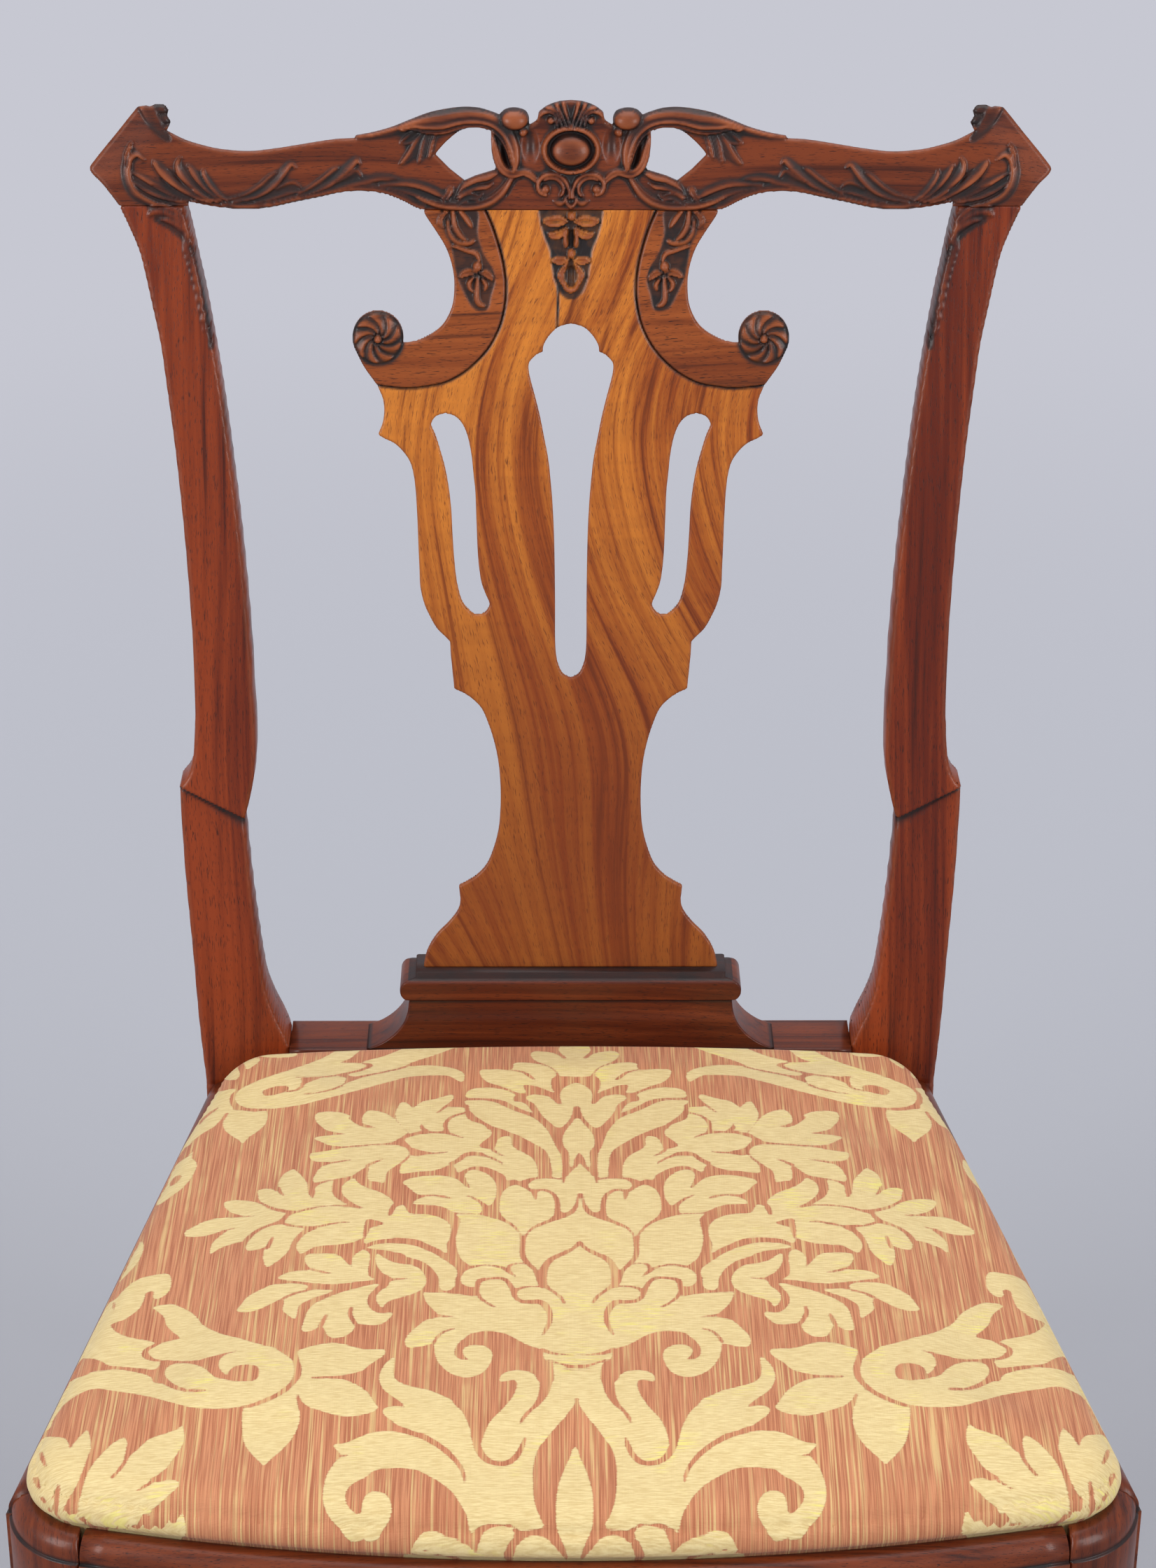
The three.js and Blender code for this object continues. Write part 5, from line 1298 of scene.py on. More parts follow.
def make_rear_rail():
    """The rear rail, a planed board with eased arrises."""
    middle = ((REAR_RAIL_FRONT + REAR_RAIL_BACK) / 2, (REAR_RAIL_BOTTOM_Z + REAR_RAIL_TOP_Z) / 2)
    half_depth = (REAR_RAIL_BACK - REAR_RAIL_FRONT) / 2
    half_height = (REAR_RAIL_TOP_Z - REAR_RAIL_BOTTOM_Z) / 2
    loop = eased_box(half_depth, half_height, REAR_RAIL_EASE, 5) + middle
    across = np.linspace(-REAR_RAIL_HALF, REAR_RAIL_HALF, 41)
    rings = [np.column_stack([np.full(len(loop), x), loop]) for x in across]
    points, faces = sweep(rings)
    rail = build("rear_rail_planed", points, faces, rail_wood, FRAME_BODY,
                 {"dirt_and_shade": np.zeros(len(points)), "wear_and_highlight": np.zeros(len(points))})
    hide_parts("rear_seat_rail")


make_rails()
make_legs()
make_shoe()
make_rear_rail()


# The damask's pattern: the left half as loops and lines of (across, along) in mm on a level plane
# at height PATTERN_Z, with the right half folded over from it. Cream loops are laid first, then
# ground loops and ground lines (across, along, half-width) are cut out of them. The fold isn't
# quite straight, because the cloth was stretched by hand, so FOLD_X gives its place at each FOLD_Y.

PATTERN_Z = 452.0
PATTERN_STEP = 0.6
PATTERN_REACH = 3.0
FOLD_Y = (-440, -362, -322, -184, -150, -110, -48, 24)
FOLD_X = (-0.5, 0.4, 1.6, 3.9, 4.6, 4.7, 3.2, 2.4)

CREAM_LEAVES = [
    # The big scroll at the rear corner, and the leaf that crosses it
    [(-113, 21.5), (-120, 22), (-128, 19.5), (-136, 14), (-141, 8.5), (-145, 4.5), (-150, 0.5),
     (-157, -4.5), (-165, -9.5), (-173, -14.5), (-180, -20), (-186, -25.5), (-190, -31), (-191.3, -38),
     (-189.5, -44), (-185, -48.5), (-178, -50), (-169, -49.8), (-160, -48), (-150, -44.5),
     (-140, -39.5), (-130, -34.5), (-120, -29.5), (-110, -24), (-102, -20), (-95, -16.2), (-88, -14.6),
     (-78, -14), (-71, -14.3), (-67, -17.5), (-62.5, -21.5), (-61, -17), (-61.5, -12), (-65, -8),
     (-71, -5), (-78, -3.3), (-86, -3), (-94, -4.2), (-103, -8.5), (-110, -11.5), (-118, -15),
     (-123, -18.5), (-128, -22), (-130.5, -24.5), (-129.7, -21), (-129.3, -16.5), (-134, -14.3),
     (-128, -11), (-121, -7.8), (-117.5, -4), (-118.5, -1.2), (-124, 0), (-134, 0.3), (-130, 3),
     (-126.5, 7), (-124, 11.5), (-121, 16), (-117, 19)],
    [(-128, -12.5), (-122, -9.3), (-116.5, -6), (-114, -3), (-116, -0.8), (-121, 0.8), (-115, 4),
     (-108, 7.8), (-102, 12.5), (-97, 16.5), (-91.5, 19.8), (-98, 20.8), (-104, 22.5), (-107, 27),
     (-104, 38), (-25, 38), (-24.5, 30), (-28, 25.5), (-35, 23.2), (-42, 23.4), (-48, 25.6), (-55, 25),
     (-60, 22.4), (-66, 18), (-72, 13.6), (-80, 8), (-88, 3), (-93, -0.6), (-97, -4.5), (-104, -8),
     (-112, -11), (-120, -14), (-126, -14.8)],
    # Leaves in the rear corner and the drop below the scroll
    [(-194, 6.5), (-190, 9), (-184, 12), (-176, 13.7), (-170, 15.5), (-164, 14.5), (-160, 12),
     (-159, 8.7), (-163, 6.5), (-170, 6), (-178, 6.7), (-185, 8.7)],
    [(-198, 0), (-194, 3), (-190, 5.5), (-185, 6.5), (-181, 5.5), (-180, 3), (-182, -1), (-184, -4),
     (-187, -7.5), (-188, -4), (-189, -1), (-190.5, 0.6), (-193, 0), (-197, -2)],
    [(-201, -8), (-197, -5), (-193, -4.5), (-191.5, -8), (-190.5, -14), (-192, -18), (-196, -19),
     (-199.5, -17)],
    [(-186, 24), (-176, 17.5), (-184, 14.5), (-191, 11), (-196, 6), (-200, 0), (-202.5, -10),
     (-203, -20), (-202, -31), (-196, -29.5), (-191, -29), (-193.3, -36), (-194, -42), (-192, -48),
     (-192, -52), (-195.5, -60), (-199, -67), (-203, -72), (-207, -77), (-211, -84), (-214, -90),
     (-225, -92), (-222, -40), (-210, 10)],
    [(-194, -50.5), (-190, -51.5), (-184, -52), (-178, -52.3), (-173.5, -51.5), (-171.5, -55),
     (-171.3, -62), (-172.5, -68), (-176, -74.5), (-180, -80), (-183, -86.5), (-185.5, -83),
     (-190, -78.5), (-194, -73), (-195.8, -66), (-194.8, -58)],
    [(-210, -95), (-213, -101), (-216, -105), (-219, -112), (-220.5, -120), (-221, -128), (-223, -135),
     (-225, -143), (-224.5, -149), (-221, -145), (-217, -139), (-213, -133), (-209.5, -125),
     (-207.5, -117), (-206.5, -110), (-208, -104), (-210, -102)],
    [(-229.5, -183), (-231, -190), (-233, -198), (-234, -206), (-236, -215), (-237, -221), (-234, -215),
     (-231, -208), (-228.5, -200), (-227.5, -192), (-228, -186)],
    # The side scroll with its leaf, its mass against the seat's edge, its bud and its two petals
    [(-213.5, -213.5), (-219, -214.7), (-225, -217), (-230, -222), (-234, -229), (-237.5, -237),
     (-243, -245), (-258, -289), (-247, -288.5), (-241, -289.3), (-237, -292), (-234, -294.5),
     (-226, -295.8), (-218, -297), (-211, -298), (-209, -295), (-207.5, -291.5), (-212, -291),
     (-216.5, -289), (-218.5, -285), (-216.5, -280.5), (-212.5, -276.5), (-214, -274.5), (-219, -272.8),
     (-225, -271), (-231, -268), (-235, -264), (-237, -260.3), (-236, -258.3), (-231, -255),
     (-227, -250), (-224, -245), (-222.5, -238), (-222, -231.5), (-219.5, -229.5), (-217.7, -230.5),
     (-218, -234.5), (-216, -236.5), (-212.5, -234), (-210, -229), (-209.7, -222), (-210.7, -216)],
    [(-217, -244.5), (-213, -242), (-207, -241.5), (-202, -244.5), (-197, -248.5), (-193, -254),
     (-190, -259.5), (-185, -264), (-178, -268.5), (-170, -271.5), (-162, -275.5), (-156, -278),
     (-150, -280.5), (-146, -284.5), (-142.5, -289), (-141, -295), (-140.5, -302), (-142, -309),
     (-145.5, -314.5), (-150, -320.5), (-156, -325.5), (-163, -328.8), (-172, -330.5), (-182, -330.5),
     (-190, -329.5), (-197, -326.5), (-203, -324), (-210, -321), (-220, -318), (-229, -316),
     (-236, -314), (-241, -314.5), (-247, -319), (-251, -324.5), (-254, -331), (-256.5, -340),
     (-258, -347), (-270, -340), (-258, -312), (-246, -303.5), (-241, -299.8), (-228, -297.5),
     (-212, -300), (-209, -292), (-213.5, -287), (-215.5, -283), (-213.5, -279), (-209.5, -275.5),
     (-205, -273.3), (-200.5, -271), (-205, -265.5), (-208.5, -260), (-210, -254), (-213, -249)],
    [(-163.5, -330.5), (-163.8, -337), (-163, -345), (-162, -353), (-160, -361), (-156, -368),
     (-152.5, -373), (-150, -376), (-147, -371), (-143, -365), (-139, -357.5), (-136.5, -350),
     (-135.3, -342), (-135.5, -334), (-137, -327), (-138.3, -321), (-142, -316), (-146, -320),
     (-150, -323.5), (-156, -327.5), (-160, -329.8)],
    [(-140, -283), (-136, -280), (-130, -277), (-123, -275.6), (-117, -276.5), (-112, -279),
     (-106, -281), (-100, -281.3), (-96, -281.5), (-95.5, -285), (-98, -289), (-103, -294.5),
     (-106, -299), (-111, -301.5), (-117, -303.3), (-124, -304), (-130, -304.6), (-134, -308),
     (-138, -308), (-138.5, -296), (-138.5, -290)],
    [(-138, -304), (-131, -305.5), (-124, -306), (-117, -306.3), (-112, -308.5), (-107, -312.5),
     (-103, -317), (-100.5, -322), (-98.5, -327), (-97, -330.5), (-101, -334.5), (-107, -336.5),
     (-113, -337.2), (-119, -335.5), (-126, -332), (-131, -329.5), (-135, -325), (-138, -322),
     (-142, -316)],
    # Leaves in the front corner
    [(-262, -354.5), (-252, -353.3), (-247.5, -356), (-245.3, -362.5), (-243.5, -357), (-240.5, -350.5),
     (-238.5, -348), (-236.6, -354), (-235.3, -362), (-235, -371), (-236, -380), (-238, -390),
     (-240, -398), (-242, -402.5), (-246, -404.5), (-249, -407), (-252, -413), (-262, -420),
     (-275, -400), (-272, -365)],
    [(-249, -407), (-246, -405.5), (-242, -407), (-238, -410), (-235.3, -414.5), (-235.5, -418.5),
     (-237, -424), (-242, -426), (-246, -422), (-248, -415)],
    [(-237, -409), (-236, -402), (-235.5, -392), (-234.7, -383), (-232.5, -374), (-229, -366),
     (-226, -360), (-222.5, -355.5), (-219.5, -354), (-218, -358), (-217, -365), (-216, -368),
     (-213, -364.5), (-209.5, -358), (-207, -354.5), (-200, -350.5), (-195, -347.5), (-192.5, -344.5),
     (-191, -350), (-190.5, -357), (-192, -364), (-194.5, -371), (-197, -378), (-200.5, -383),
     (-204, -387), (-200, -389), (-196, -387), (-192.5, -387.2), (-189.7, -389.5), (-190.5, -393.5),
     (-194, -399), (-197, -404.5), (-201, -409.5), (-206, -413), (-211, -415.3), (-218, -416.8),
     (-225, -418.5), (-230, -418), (-232, -414), (-235, -411)],
    [(-234, -427), (-231.5, -424), (-226, -421), (-219, -418.5), (-211, -417.3), (-203, -417.8),
     (-196, -417.3), (-190, -415), (-186, -412.5), (-184.7, -417), (-185, -421), (-187.5, -425.5),
     (-191, -428.5), (-197, -431), (-207, -434), (-220, -434), (-233, -432)],
    # The bulb on the middle line at the rear and the leaves on its stem
    [(12, 24), (2.7, 24), (-2, 22.5), (-5.5, 19), (-6.8, 15), (-5.8, 11), (-3.6, 7.8), (-2, 5),
     (-4.6, 4.9), (-6.5, 8), (-10.5, 11), (-16, 12.6), (-21, 12.6), (-23.2, 9.5), (-22.3, 5.5),
     (-19.5, 1.5), (-15.5, -1.5), (-11.5, -4.6), (-8.5, -8.5), (-6.8, -12.5), (-5.5, -15), (2.7, -15.8),
     (12, -16)],
    [(-33, -5), (-33, -1.5), (-29, 0.3), (-22, -0.6), (-15.5, -3), (-11.5, -6.3), (-9, -10.5),
     (-8.3, -14.5), (-10.5, -17.5), (-11.3, -22), (-10.8, -28), (-9, -34), (-12, -31.5), (-16, -28.8),
     (-20, -26), (-26, -24.6), (-27, -26), (-26.2, -30), (-25.5, -33.5), (-29, -33.5), (-32, -32),
     (-37, -28), (-43, -24.5), (-48, -21), (-51, -16.5), (-52.3, -12), (-52, -8.3), (-47, -7.3),
     (-40, -7.6), (-35, -8.3)],
    [(-59.5, -38.5), (-59, -31.5), (-54, -28.5), (-48, -27.5), (-42, -28.5), (-37, -30.5),
     (-33.5, -33.5), (-31.5, -36), (-33, -39), (-32, -42.5), (-28, -43.5), (-25, -46.5), (-23, -51),
     (-21.5, -56), (-27, -52.5), (-33, -48), (-38, -44), (-44, -41), (-52, -39.8)],
    [(-60, -41.8), (-52, -41.3), (-46, -42.3), (-41, -45), (-36, -49.5), (-30, -54), (-24, -57.8),
     (-20, -61.5), (-16.5, -67), (-13.5, -73), (-11.5, -79), (-9.7, -86), (-8, -92), (-6, -98),
     (-5.3, -106), (-5, -113), (-5.3, -118), (-5.5, -122), (-10.5, -121.5), (-10.7, -115),
     (-11.5, -108), (-12.3, -101), (-14.3, -95), (-17.5, -90.5), (-22, -86), (-27, -81), (-32, -77),
     (-39, -72), (-45.5, -68), (-50, -63), (-54, -58), (-57.5, -52), (-59.5, -46)],
    [(-25, -37), (-24.8, -41), (-21.8, -44), (-19.5, -48), (-17.8, -54), (-15, -60), (-12, -65),
     (-9.5, -69), (-6.3, -71), (-3.8, -68), (-1.5, -63.5), (0.3, -58), (1.2, -52), (2.2, -48),
     (12, -48), (12, -22.5), (2.7, -22.3), (-1, -25), (-4, -28), (-5.6, -32), (-6.2, -37), (-5.5, -42),
     (-5.2, -45.3), (-7.8, -45), (-9.5, -42), (-11.5, -38.8), (-14, -36.8), (-20, -35.2)],
    [(3, -61), (0.5, -66), (-2.3, -72), (-4.3, -78), (-4.8, -84), (-4.2, -90), (-1.5, -96), (-1, -103),
     (-1.2, -109), (0.5, -112.5), (2.5, -109), (3, -104), (4, -98.5), (14, -98), (14, -61)],
    # Leaves to the left of the stem
    [(-98, -48), (-96.5, -43.5), (-94, -43.5), (-91.5, -46.5), (-89.5, -49.5), (-87, -46), (-84, -42.5),
     (-80, -40.8), (-75, -38.8), (-70, -35.8), (-67.5, -35.5), (-66.8, -39), (-69, -43.5), (-71, -47),
     (-68, -48.5), (-63, -48.8), (-60, -50), (-60, -54.5), (-64, -56.5), (-68, -59), (-71, -63),
     (-72, -68), (-71.5, -73.5), (-76, -74.5), (-82, -74), (-86, -74.5), (-89.5, -76.8), (-92, -74),
     (-95, -69), (-98, -62), (-99.3, -56)],
    [(-60, -55.3), (-64, -57), (-67.5, -60.5), (-69.2, -66), (-69.2, -71.5), (-68, -75.5), (-71, -77),
     (-77, -76.3), (-84, -77.3), (-89, -79.5), (-93, -82.5), (-91.5, -86.5), (-89, -91), (-88.5, -97),
     (-90.5, -103), (-93.5, -108), (-94.5, -113), (-94, -117.5), (-89, -117), (-83, -115.5),
     (-77, -115), (-72, -112.5), (-69, -110.5), (-66.5, -108.5), (-64, -112), (-62.5, -117),
     (-58.5, -113.3), (-55, -111), (-50, -110.7), (-45, -112.5), (-40, -116.5), (-36.5, -120.5),
     (-35.5, -124.5), (-31, -124), (-28, -125.5), (-23.5, -122.7), (-19, -121.7), (-18.7, -116),
     (-19.3, -109), (-21.5, -102.5), (-25.5, -97.5), (-30, -93.5), (-33, -89), (-33.3, -83),
     (-34.5, -79.8), (-38, -80), (-41, -83), (-42, -88), (-43, -93), (-46, -92.5), (-50, -91),
     (-51, -88.5), (-48.5, -84), (-45.5, -80), (-44.5, -76), (-46, -71.5), (-50, -67), (-55, -64),
     (-58.5, -60.5)],
    [(-144.5, -58), (-143, -54.5), (-137, -53.3), (-130, -54.3), (-125, -57.5), (-121, -62),
     (-117.5, -66.5), (-117.8, -60), (-116, -54), (-113.5, -52), (-108, -53.3), (-103.5, -56.5),
     (-100, -60.5), (-97, -66), (-94, -71.5), (-91.5, -76.5), (-93.5, -79.5), (-97, -82.5), (-100, -86),
     (-106, -87.5), (-112, -87.8), (-120, -89.3), (-128, -89.8), (-135, -88.5), (-139, -85.5),
     (-143.5, -81.5), (-139, -79), (-132, -77.8), (-126, -76.8), (-131, -75.5), (-137, -73),
     (-141, -68), (-143.8, -63)],
    [(-145, -97.5), (-139, -95.5), (-132, -93.3), (-126, -91.3), (-118, -90.3), (-110, -89),
     (-103, -88.5), (-97, -88.7), (-92.5, -91), (-90.3, -95), (-90.5, -99.5), (-93.5, -105),
     (-97.5, -110.5), (-100.8, -115), (-102, -120), (-102.5, -127), (-107, -125.5), (-111, -124.5),
     (-112, -118), (-111.5, -112.5), (-113, -110.5), (-117, -115.5), (-120.5, -119.8), (-126, -122),
     (-132, -123.5), (-137, -125.5), (-140.5, -126.5), (-141.7, -123), (-140.5, -118), (-139.3, -113.5),
     (-136.5, -109.5), (-132, -107), (-138, -106), (-143.5, -104)],
    [(-92.5, -127), (-90, -123.5), (-84, -121), (-77, -119.8), (-70, -120), (-64, -122.5),
     (-60.5, -126.5), (-57.5, -131), (-55.5, -133), (-56.5, -128), (-58.3, -122), (-57.8, -117),
     (-54.5, -114), (-49.5, -115.5), (-45, -120), (-42, -126), (-41, -133), (-41.3, -141), (-43, -147),
     (-45.5, -150), (-50, -145.5), (-54, -141.3), (-58, -141), (-62, -144), (-66.5, -143), (-70, -140),
     (-77, -138.6), (-82, -139), (-86, -136), (-90, -130)],
    [(-86, -147.5), (-84, -143.5), (-80, -141), (-74, -140.3), (-68, -142.3), (-63, -141),
     (-58, -140.5), (-54, -142.8), (-50, -147.5), (-48.7, -152), (-49.5, -157), (-55, -157),
     (-61, -156.6), (-65, -155), (-69, -151.3), (-74, -149.2), (-80, -148.8)],
    # The hearts on the middle line and the vase below them
    [(14, -100), (4.8, -100), (3.8, -106), (2.5, -111.5), (0, -115.5), (-2, -119), (-3.5, -122),
     (-5.5, -124), (-11, -123.3), (-17, -123), (-21, -124.5), (-23.5, -128), (-23, -132),
     (-20.5, -133.7), (-16, -133.2), (-12, -134.5), (-8.7, -138.5), (-7, -143), (-6.3, -149),
     (-6, -155), (-3.5, -156.5), (-1, -154), (1, -150), (2.3, -145), (3, -140), (4.2, -137.5),
     (14, -137)],
    [(-31, -129), (-34, -131), (-37, -135), (-38.7, -141), (-39.2, -148), (-39, -155), (-37, -161),
     (-32, -167), (-29, -172), (-27, -177.5), (-26, -180), (-24.5, -176), (-22, -171), (-18, -167),
     (-13, -163.5), (-10, -159), (-9.3, -152), (-9.5, -145), (-11, -139.5), (-14, -136), (-17, -135.3),
     (-19.5, -137), (-21.5, -137), (-23.5, -135), (-27, -131.5), (-29, -129.5)],
    [(-24.5, -181), (-22, -174), (-17, -169.5), (-10, -165), (-4, -161.5), (1, -157), (3.5, -150),
     (4.7, -141), (14, -140), (14, -184), (3.9, -184.5), (2, -187.5), (-1.5, -191), (-6.5, -194.8),
     (-11.5, -198.5), (-15, -203.5), (-17, -209), (-18.3, -212), (-20.5, -208), (-23, -203),
     (-25, -198), (-25, -190)],
    [(-62.5, -157.7), (-55, -158), (-49, -158.8), (-44, -161), (-38, -164.3), (-33, -168.8),
     (-29.8, -174), (-27.6, -180), (-27.5, -188), (-28, -196), (-26.5, -202), (-23, -207),
     (-19.5, -212), (-18, -219), (-16, -224), (-13.5, -219), (-13.3, -212), (-12, -206), (-9, -201),
     (-4, -197), (0.5, -192.5), (3.9, -188), (14, -188), (14, -330), (1.6, -322), (0.5, -327),
     (-2, -333), (-5.5, -340), (-9, -346), (-12, -352), (-14.5, -357), (-17, -362), (-19, -370),
     (-20, -380), (-20, -392), (-19.5, -402), (-18, -411), (-16, -418), (-14.5, -424), (-20, -425),
     (-25.5, -426), (-28.5, -423), (-32.5, -420.5), (-37.5, -420), (-42.5, -421.5), (-46.5, -424.5),
     (-49.2, -428.5), (-50.3, -421), (-51.5, -414), (-54, -407), (-57, -400), (-61, -393.5),
     (-66, -388), (-72, -383), (-77, -379.5), (-84, -378.3), (-92, -378.8), (-97, -380.5),
     (-99.5, -384), (-102, -386.5), (-106, -390), (-109, -395), (-109.5, -401), (-108, -407),
     (-105, -412), (-102, -414), (-101.3, -410), (-101, -404), (-99.5, -398.5), (-96, -396.3),
     (-91.5, -397.5), (-88.5, -402), (-87, -409), (-87.5, -416), (-89.5, -423), (-93, -427.5),
     (-98, -429.5), (-103, -429), (-109, -426), (-113, -421), (-116.5, -415), (-119, -408),
     (-120.3, -400), (-120, -390), (-118.5, -381), (-116, -374), (-113.5, -368.5), (-115.5, -364),
     (-117.5, -360), (-112, -358.5), (-105, -354), (-99, -350.2), (-92, -349.3), (-86, -350),
     (-80, -352.5), (-78, -350.5), (-81, -347.5), (-86, -345), (-90, -340.5), (-93, -337),
     (-94.5, -333), (-93, -330), (-88, -328.9), (-83.5, -329.8), (-86.5, -325), (-90, -321),
     (-94, -316.5), (-96.5, -311), (-97.5, -304.5), (-96.5, -298), (-94, -292), (-90.5, -288),
     (-90.5, -295), (-90.7, -300), (-89.5, -306), (-86, -310), (-81, -312.5), (-75, -314.8),
     (-70, -317), (-66, -320), (-61, -323.5), (-59, -328), (-55.5, -333), (-53, -340), (-51, -348),
     (-50, -356), (-46, -360), (-44.5, -354), (-43, -347), (-40.5, -340), (-37, -334), (-33.5, -328),
     (-30.5, -321.5), (-28.7, -315), (-28.3, -309.5), (-30, -307.5), (-33, -308), (-37, -308.5),
     (-36.5, -304), (-34, -300.8), (-29, -299.3), (-23.5, -300), (-19.5, -303.5), (-17.3, -309),
     (-10.3, -309), (-10, -298), (-11, -293), (-14.5, -290), (-15.5, -284), (-16, -281.5), (-21, -279),
     (-26, -275.5), (-30, -271.5), (-34.5, -268), (-40, -266), (-46, -265.8), (-52, -267.5),
     (-55, -271), (-58.5, -276), (-60.2, -281.5), (-59.8, -286.5), (-57, -290), (-53, -290),
     (-54.5, -288), (-56, -284.5), (-55.5, -280.5), (-52, -277.8), (-47, -277.8), (-43, -280.5),
     (-41, -285), (-41.5, -291), (-43.5, -297.5), (-47, -302.5), (-52, -305), (-57, -304.5),
     (-62, -301.5), (-66, -296.5), (-69, -290), (-70.5, -283), (-71, -277), (-75, -277.8),
     (-79, -279.3), (-84, -279.5), (-85.8, -275), (-84.5, -269), (-82, -264.5), (-79, -260),
     (-76, -256), (-71, -254), (-67, -252), (-70, -250), (-72.5, -246), (-75.5, -241), (-77, -236),
     (-77.5, -231), (-70, -230.9), (-62, -231.8), (-54, -233.8), (-50.8, -232), (-50, -226.5),
     (-54, -226.2), (-57.8, -223), (-58.3, -217), (-56.5, -212), (-53, -208.5), (-55, -205.5),
     (-59, -200), (-61, -192), (-62, -182), (-61, -172), (-60, -163)],
    # Leaves to the left of the vase
    [(-160.5, -128), (-159, -120), (-156, -115.5), (-153, -113), (-150, -117), (-147.5, -121),
     (-145, -126), (-144, -133), (-143, -139), (-139.7, -138), (-140, -132), (-137.5, -128),
     (-133, -125.3), (-130.5, -124.5), (-131, -130), (-130.5, -136), (-128.5, -141), (-124.5, -145.5),
     (-121, -149), (-128, -148.8), (-135, -150), (-141, -151.5), (-146, -153.5), (-150, -154.3),
     (-156, -153), (-161, -151), (-166, -147.5), (-169.5, -144), (-170.5, -139), (-171.3, -135),
     (-168.5, -132.8), (-163.5, -133), (-160.5, -135.5)],
    [(-188.5, -147), (-186, -144.5), (-180, -144), (-174, -145), (-169, -147.5), (-165, -151),
     (-160, -154.5), (-154, -156.5), (-153.5, -160), (-156.5, -163.5), (-159, -166), (-164, -169),
     (-168, -172.5), (-171.5, -177), (-174, -183), (-179, -185), (-184, -188), (-188, -191),
     (-191.5, -195.5), (-192, -190), (-191, -184), (-188, -178.5), (-184.5, -173.5), (-187, -173.5),
     (-192, -176.5), (-198, -179), (-205, -179), (-207, -177), (-206.5, -173.5), (-202, -169),
     (-198, -165), (-192, -161.8), (-185, -161), (-175, -160), (-178, -158.7), (-183, -156.5),
     (-187, -152)],
    [(-172, -192.5), (-173.5, -188), (-172, -183), (-169.5, -177), (-165, -171.5), (-160, -168.5),
     (-156, -167.5), (-150, -169.5), (-143.5, -171.5), (-147, -178), (-148.5, -184), (-150, -191),
     (-153, -198), (-157, -204), (-161, -207.5), (-163.5, -199), (-163.3, -192), (-163, -189),
     (-167, -191.5)],
    [(-155, -164.5), (-152.5, -159), (-147, -155.8), (-141, -152.5), (-134, -150.8), (-127, -150.3),
     (-120, -150.5), (-112, -152), (-118, -147.5), (-122.5, -142), (-125, -137), (-125.3, -130),
     (-122.5, -125), (-119.3, -122.5), (-117, -126.5), (-113.5, -130.5), (-109, -133.5), (-104, -136.5),
     (-100, -140.5), (-97.5, -144), (-96, -149.5), (-97, -154), (-95.5, -151), (-91.5, -149),
     (-89.5, -152.5), (-87.5, -157), (-80, -158), (-75, -159), (-70, -162), (-66.5, -166),
     (-64.8, -172), (-65.5, -181), (-66.8, -187), (-66.5, -195), (-71, -191), (-77, -186.5),
     (-83, -182), (-90, -180.7), (-97, -181), (-104, -182.5), (-110, -186), (-111.5, -180),
     (-109, -173), (-108.5, -168), (-110, -163.5), (-110, -178), (-113, -182), (-118, -185),
     (-124, -186.7), (-130, -187.5), (-136, -188.5), (-140, -192), (-144, -195.3), (-146.5, -190),
     (-146, -184), (-142, -176), (-138.5, -171.5), (-137, -169.5), (-143, -169), (-150, -168)],
    [(-109, -189.5), (-104, -186.5), (-97, -185.5), (-90, -186), (-83, -188.5), (-77, -192.5),
     (-72, -196.5), (-68, -201), (-64, -205.5), (-61, -210), (-60.5, -215), (-61.5, -219),
     (-61.5, -225), (-64, -229), (-67.5, -229.3), (-69.5, -226), (-70, -219), (-72, -213),
     (-75, -207.5), (-79, -203), (-84, -200), (-88, -198), (-89, -196), (-95, -193.5), (-101, -192),
     (-106, -191)],
    [(-103, -195.5), (-100, -198.5), (-96, -202.5), (-90, -205), (-85, -206), (-80.5, -209.5),
     (-77.5, -215), (-76.5, -221), (-78, -227), (-82, -231.5), (-88, -235), (-94, -238), (-97, -241),
     (-98.5, -244.5), (-101.5, -240), (-102, -234), (-100, -229.5), (-97, -226), (-95.5, -221.5),
     (-95, -217.5), (-99, -214), (-102, -209), (-103.7, -203), (-104, -198)],
    [(-141, -197), (-138, -195.3), (-132, -195), (-126, -195.5), (-122.5, -198), (-120, -202),
     (-116, -208), (-116.3, -202), (-115.5, -197), (-112.5, -193), (-110.5, -191.8), (-107.5, -195),
     (-107, -202), (-107.5, -210), (-106.5, -216.5), (-103.5, -219.5), (-110, -220.8), (-117, -223),
     (-124, -223.7), (-131, -223), (-138, -222), (-145, -220.5), (-151, -219.5), (-154.5, -217.5),
     (-150, -213), (-144, -211), (-138, -210.3), (-141, -203)],
    [(-173.5, -247.5), (-172, -242.5), (-169.5, -236), (-166, -231.5), (-161.5, -227.5), (-158, -224.5),
     (-152, -223), (-145, -222.8), (-140, -223.7), (-138, -226), (-139, -229), (-134, -228.3),
     (-128, -228.5), (-124.5, -229), (-128, -232), (-134, -235.5), (-139, -239.5), (-141.8, -243.5),
     (-142.3, -249), (-143, -254.5), (-147, -251), (-150, -246.5), (-149.5, -241), (-151, -236.5),
     (-155, -240), (-159, -243.5), (-164, -247), (-169, -248.5)],
    [(-136, -265.7), (-139, -264), (-138.3, -257), (-137, -248), (-134.3, -242), (-130, -237.5),
     (-124, -233), (-117, -229), (-110, -226), (-103, -223.3), (-100.5, -225), (-103, -229.5),
     (-106, -236), (-106, -242), (-103, -247.5), (-99, -249.7), (-94, -249), (-93, -251), (-95, -255),
     (-98, -259), (-102, -260.3), (-107, -259.5), (-111, -259.5), (-113, -265.5), (-117, -270),
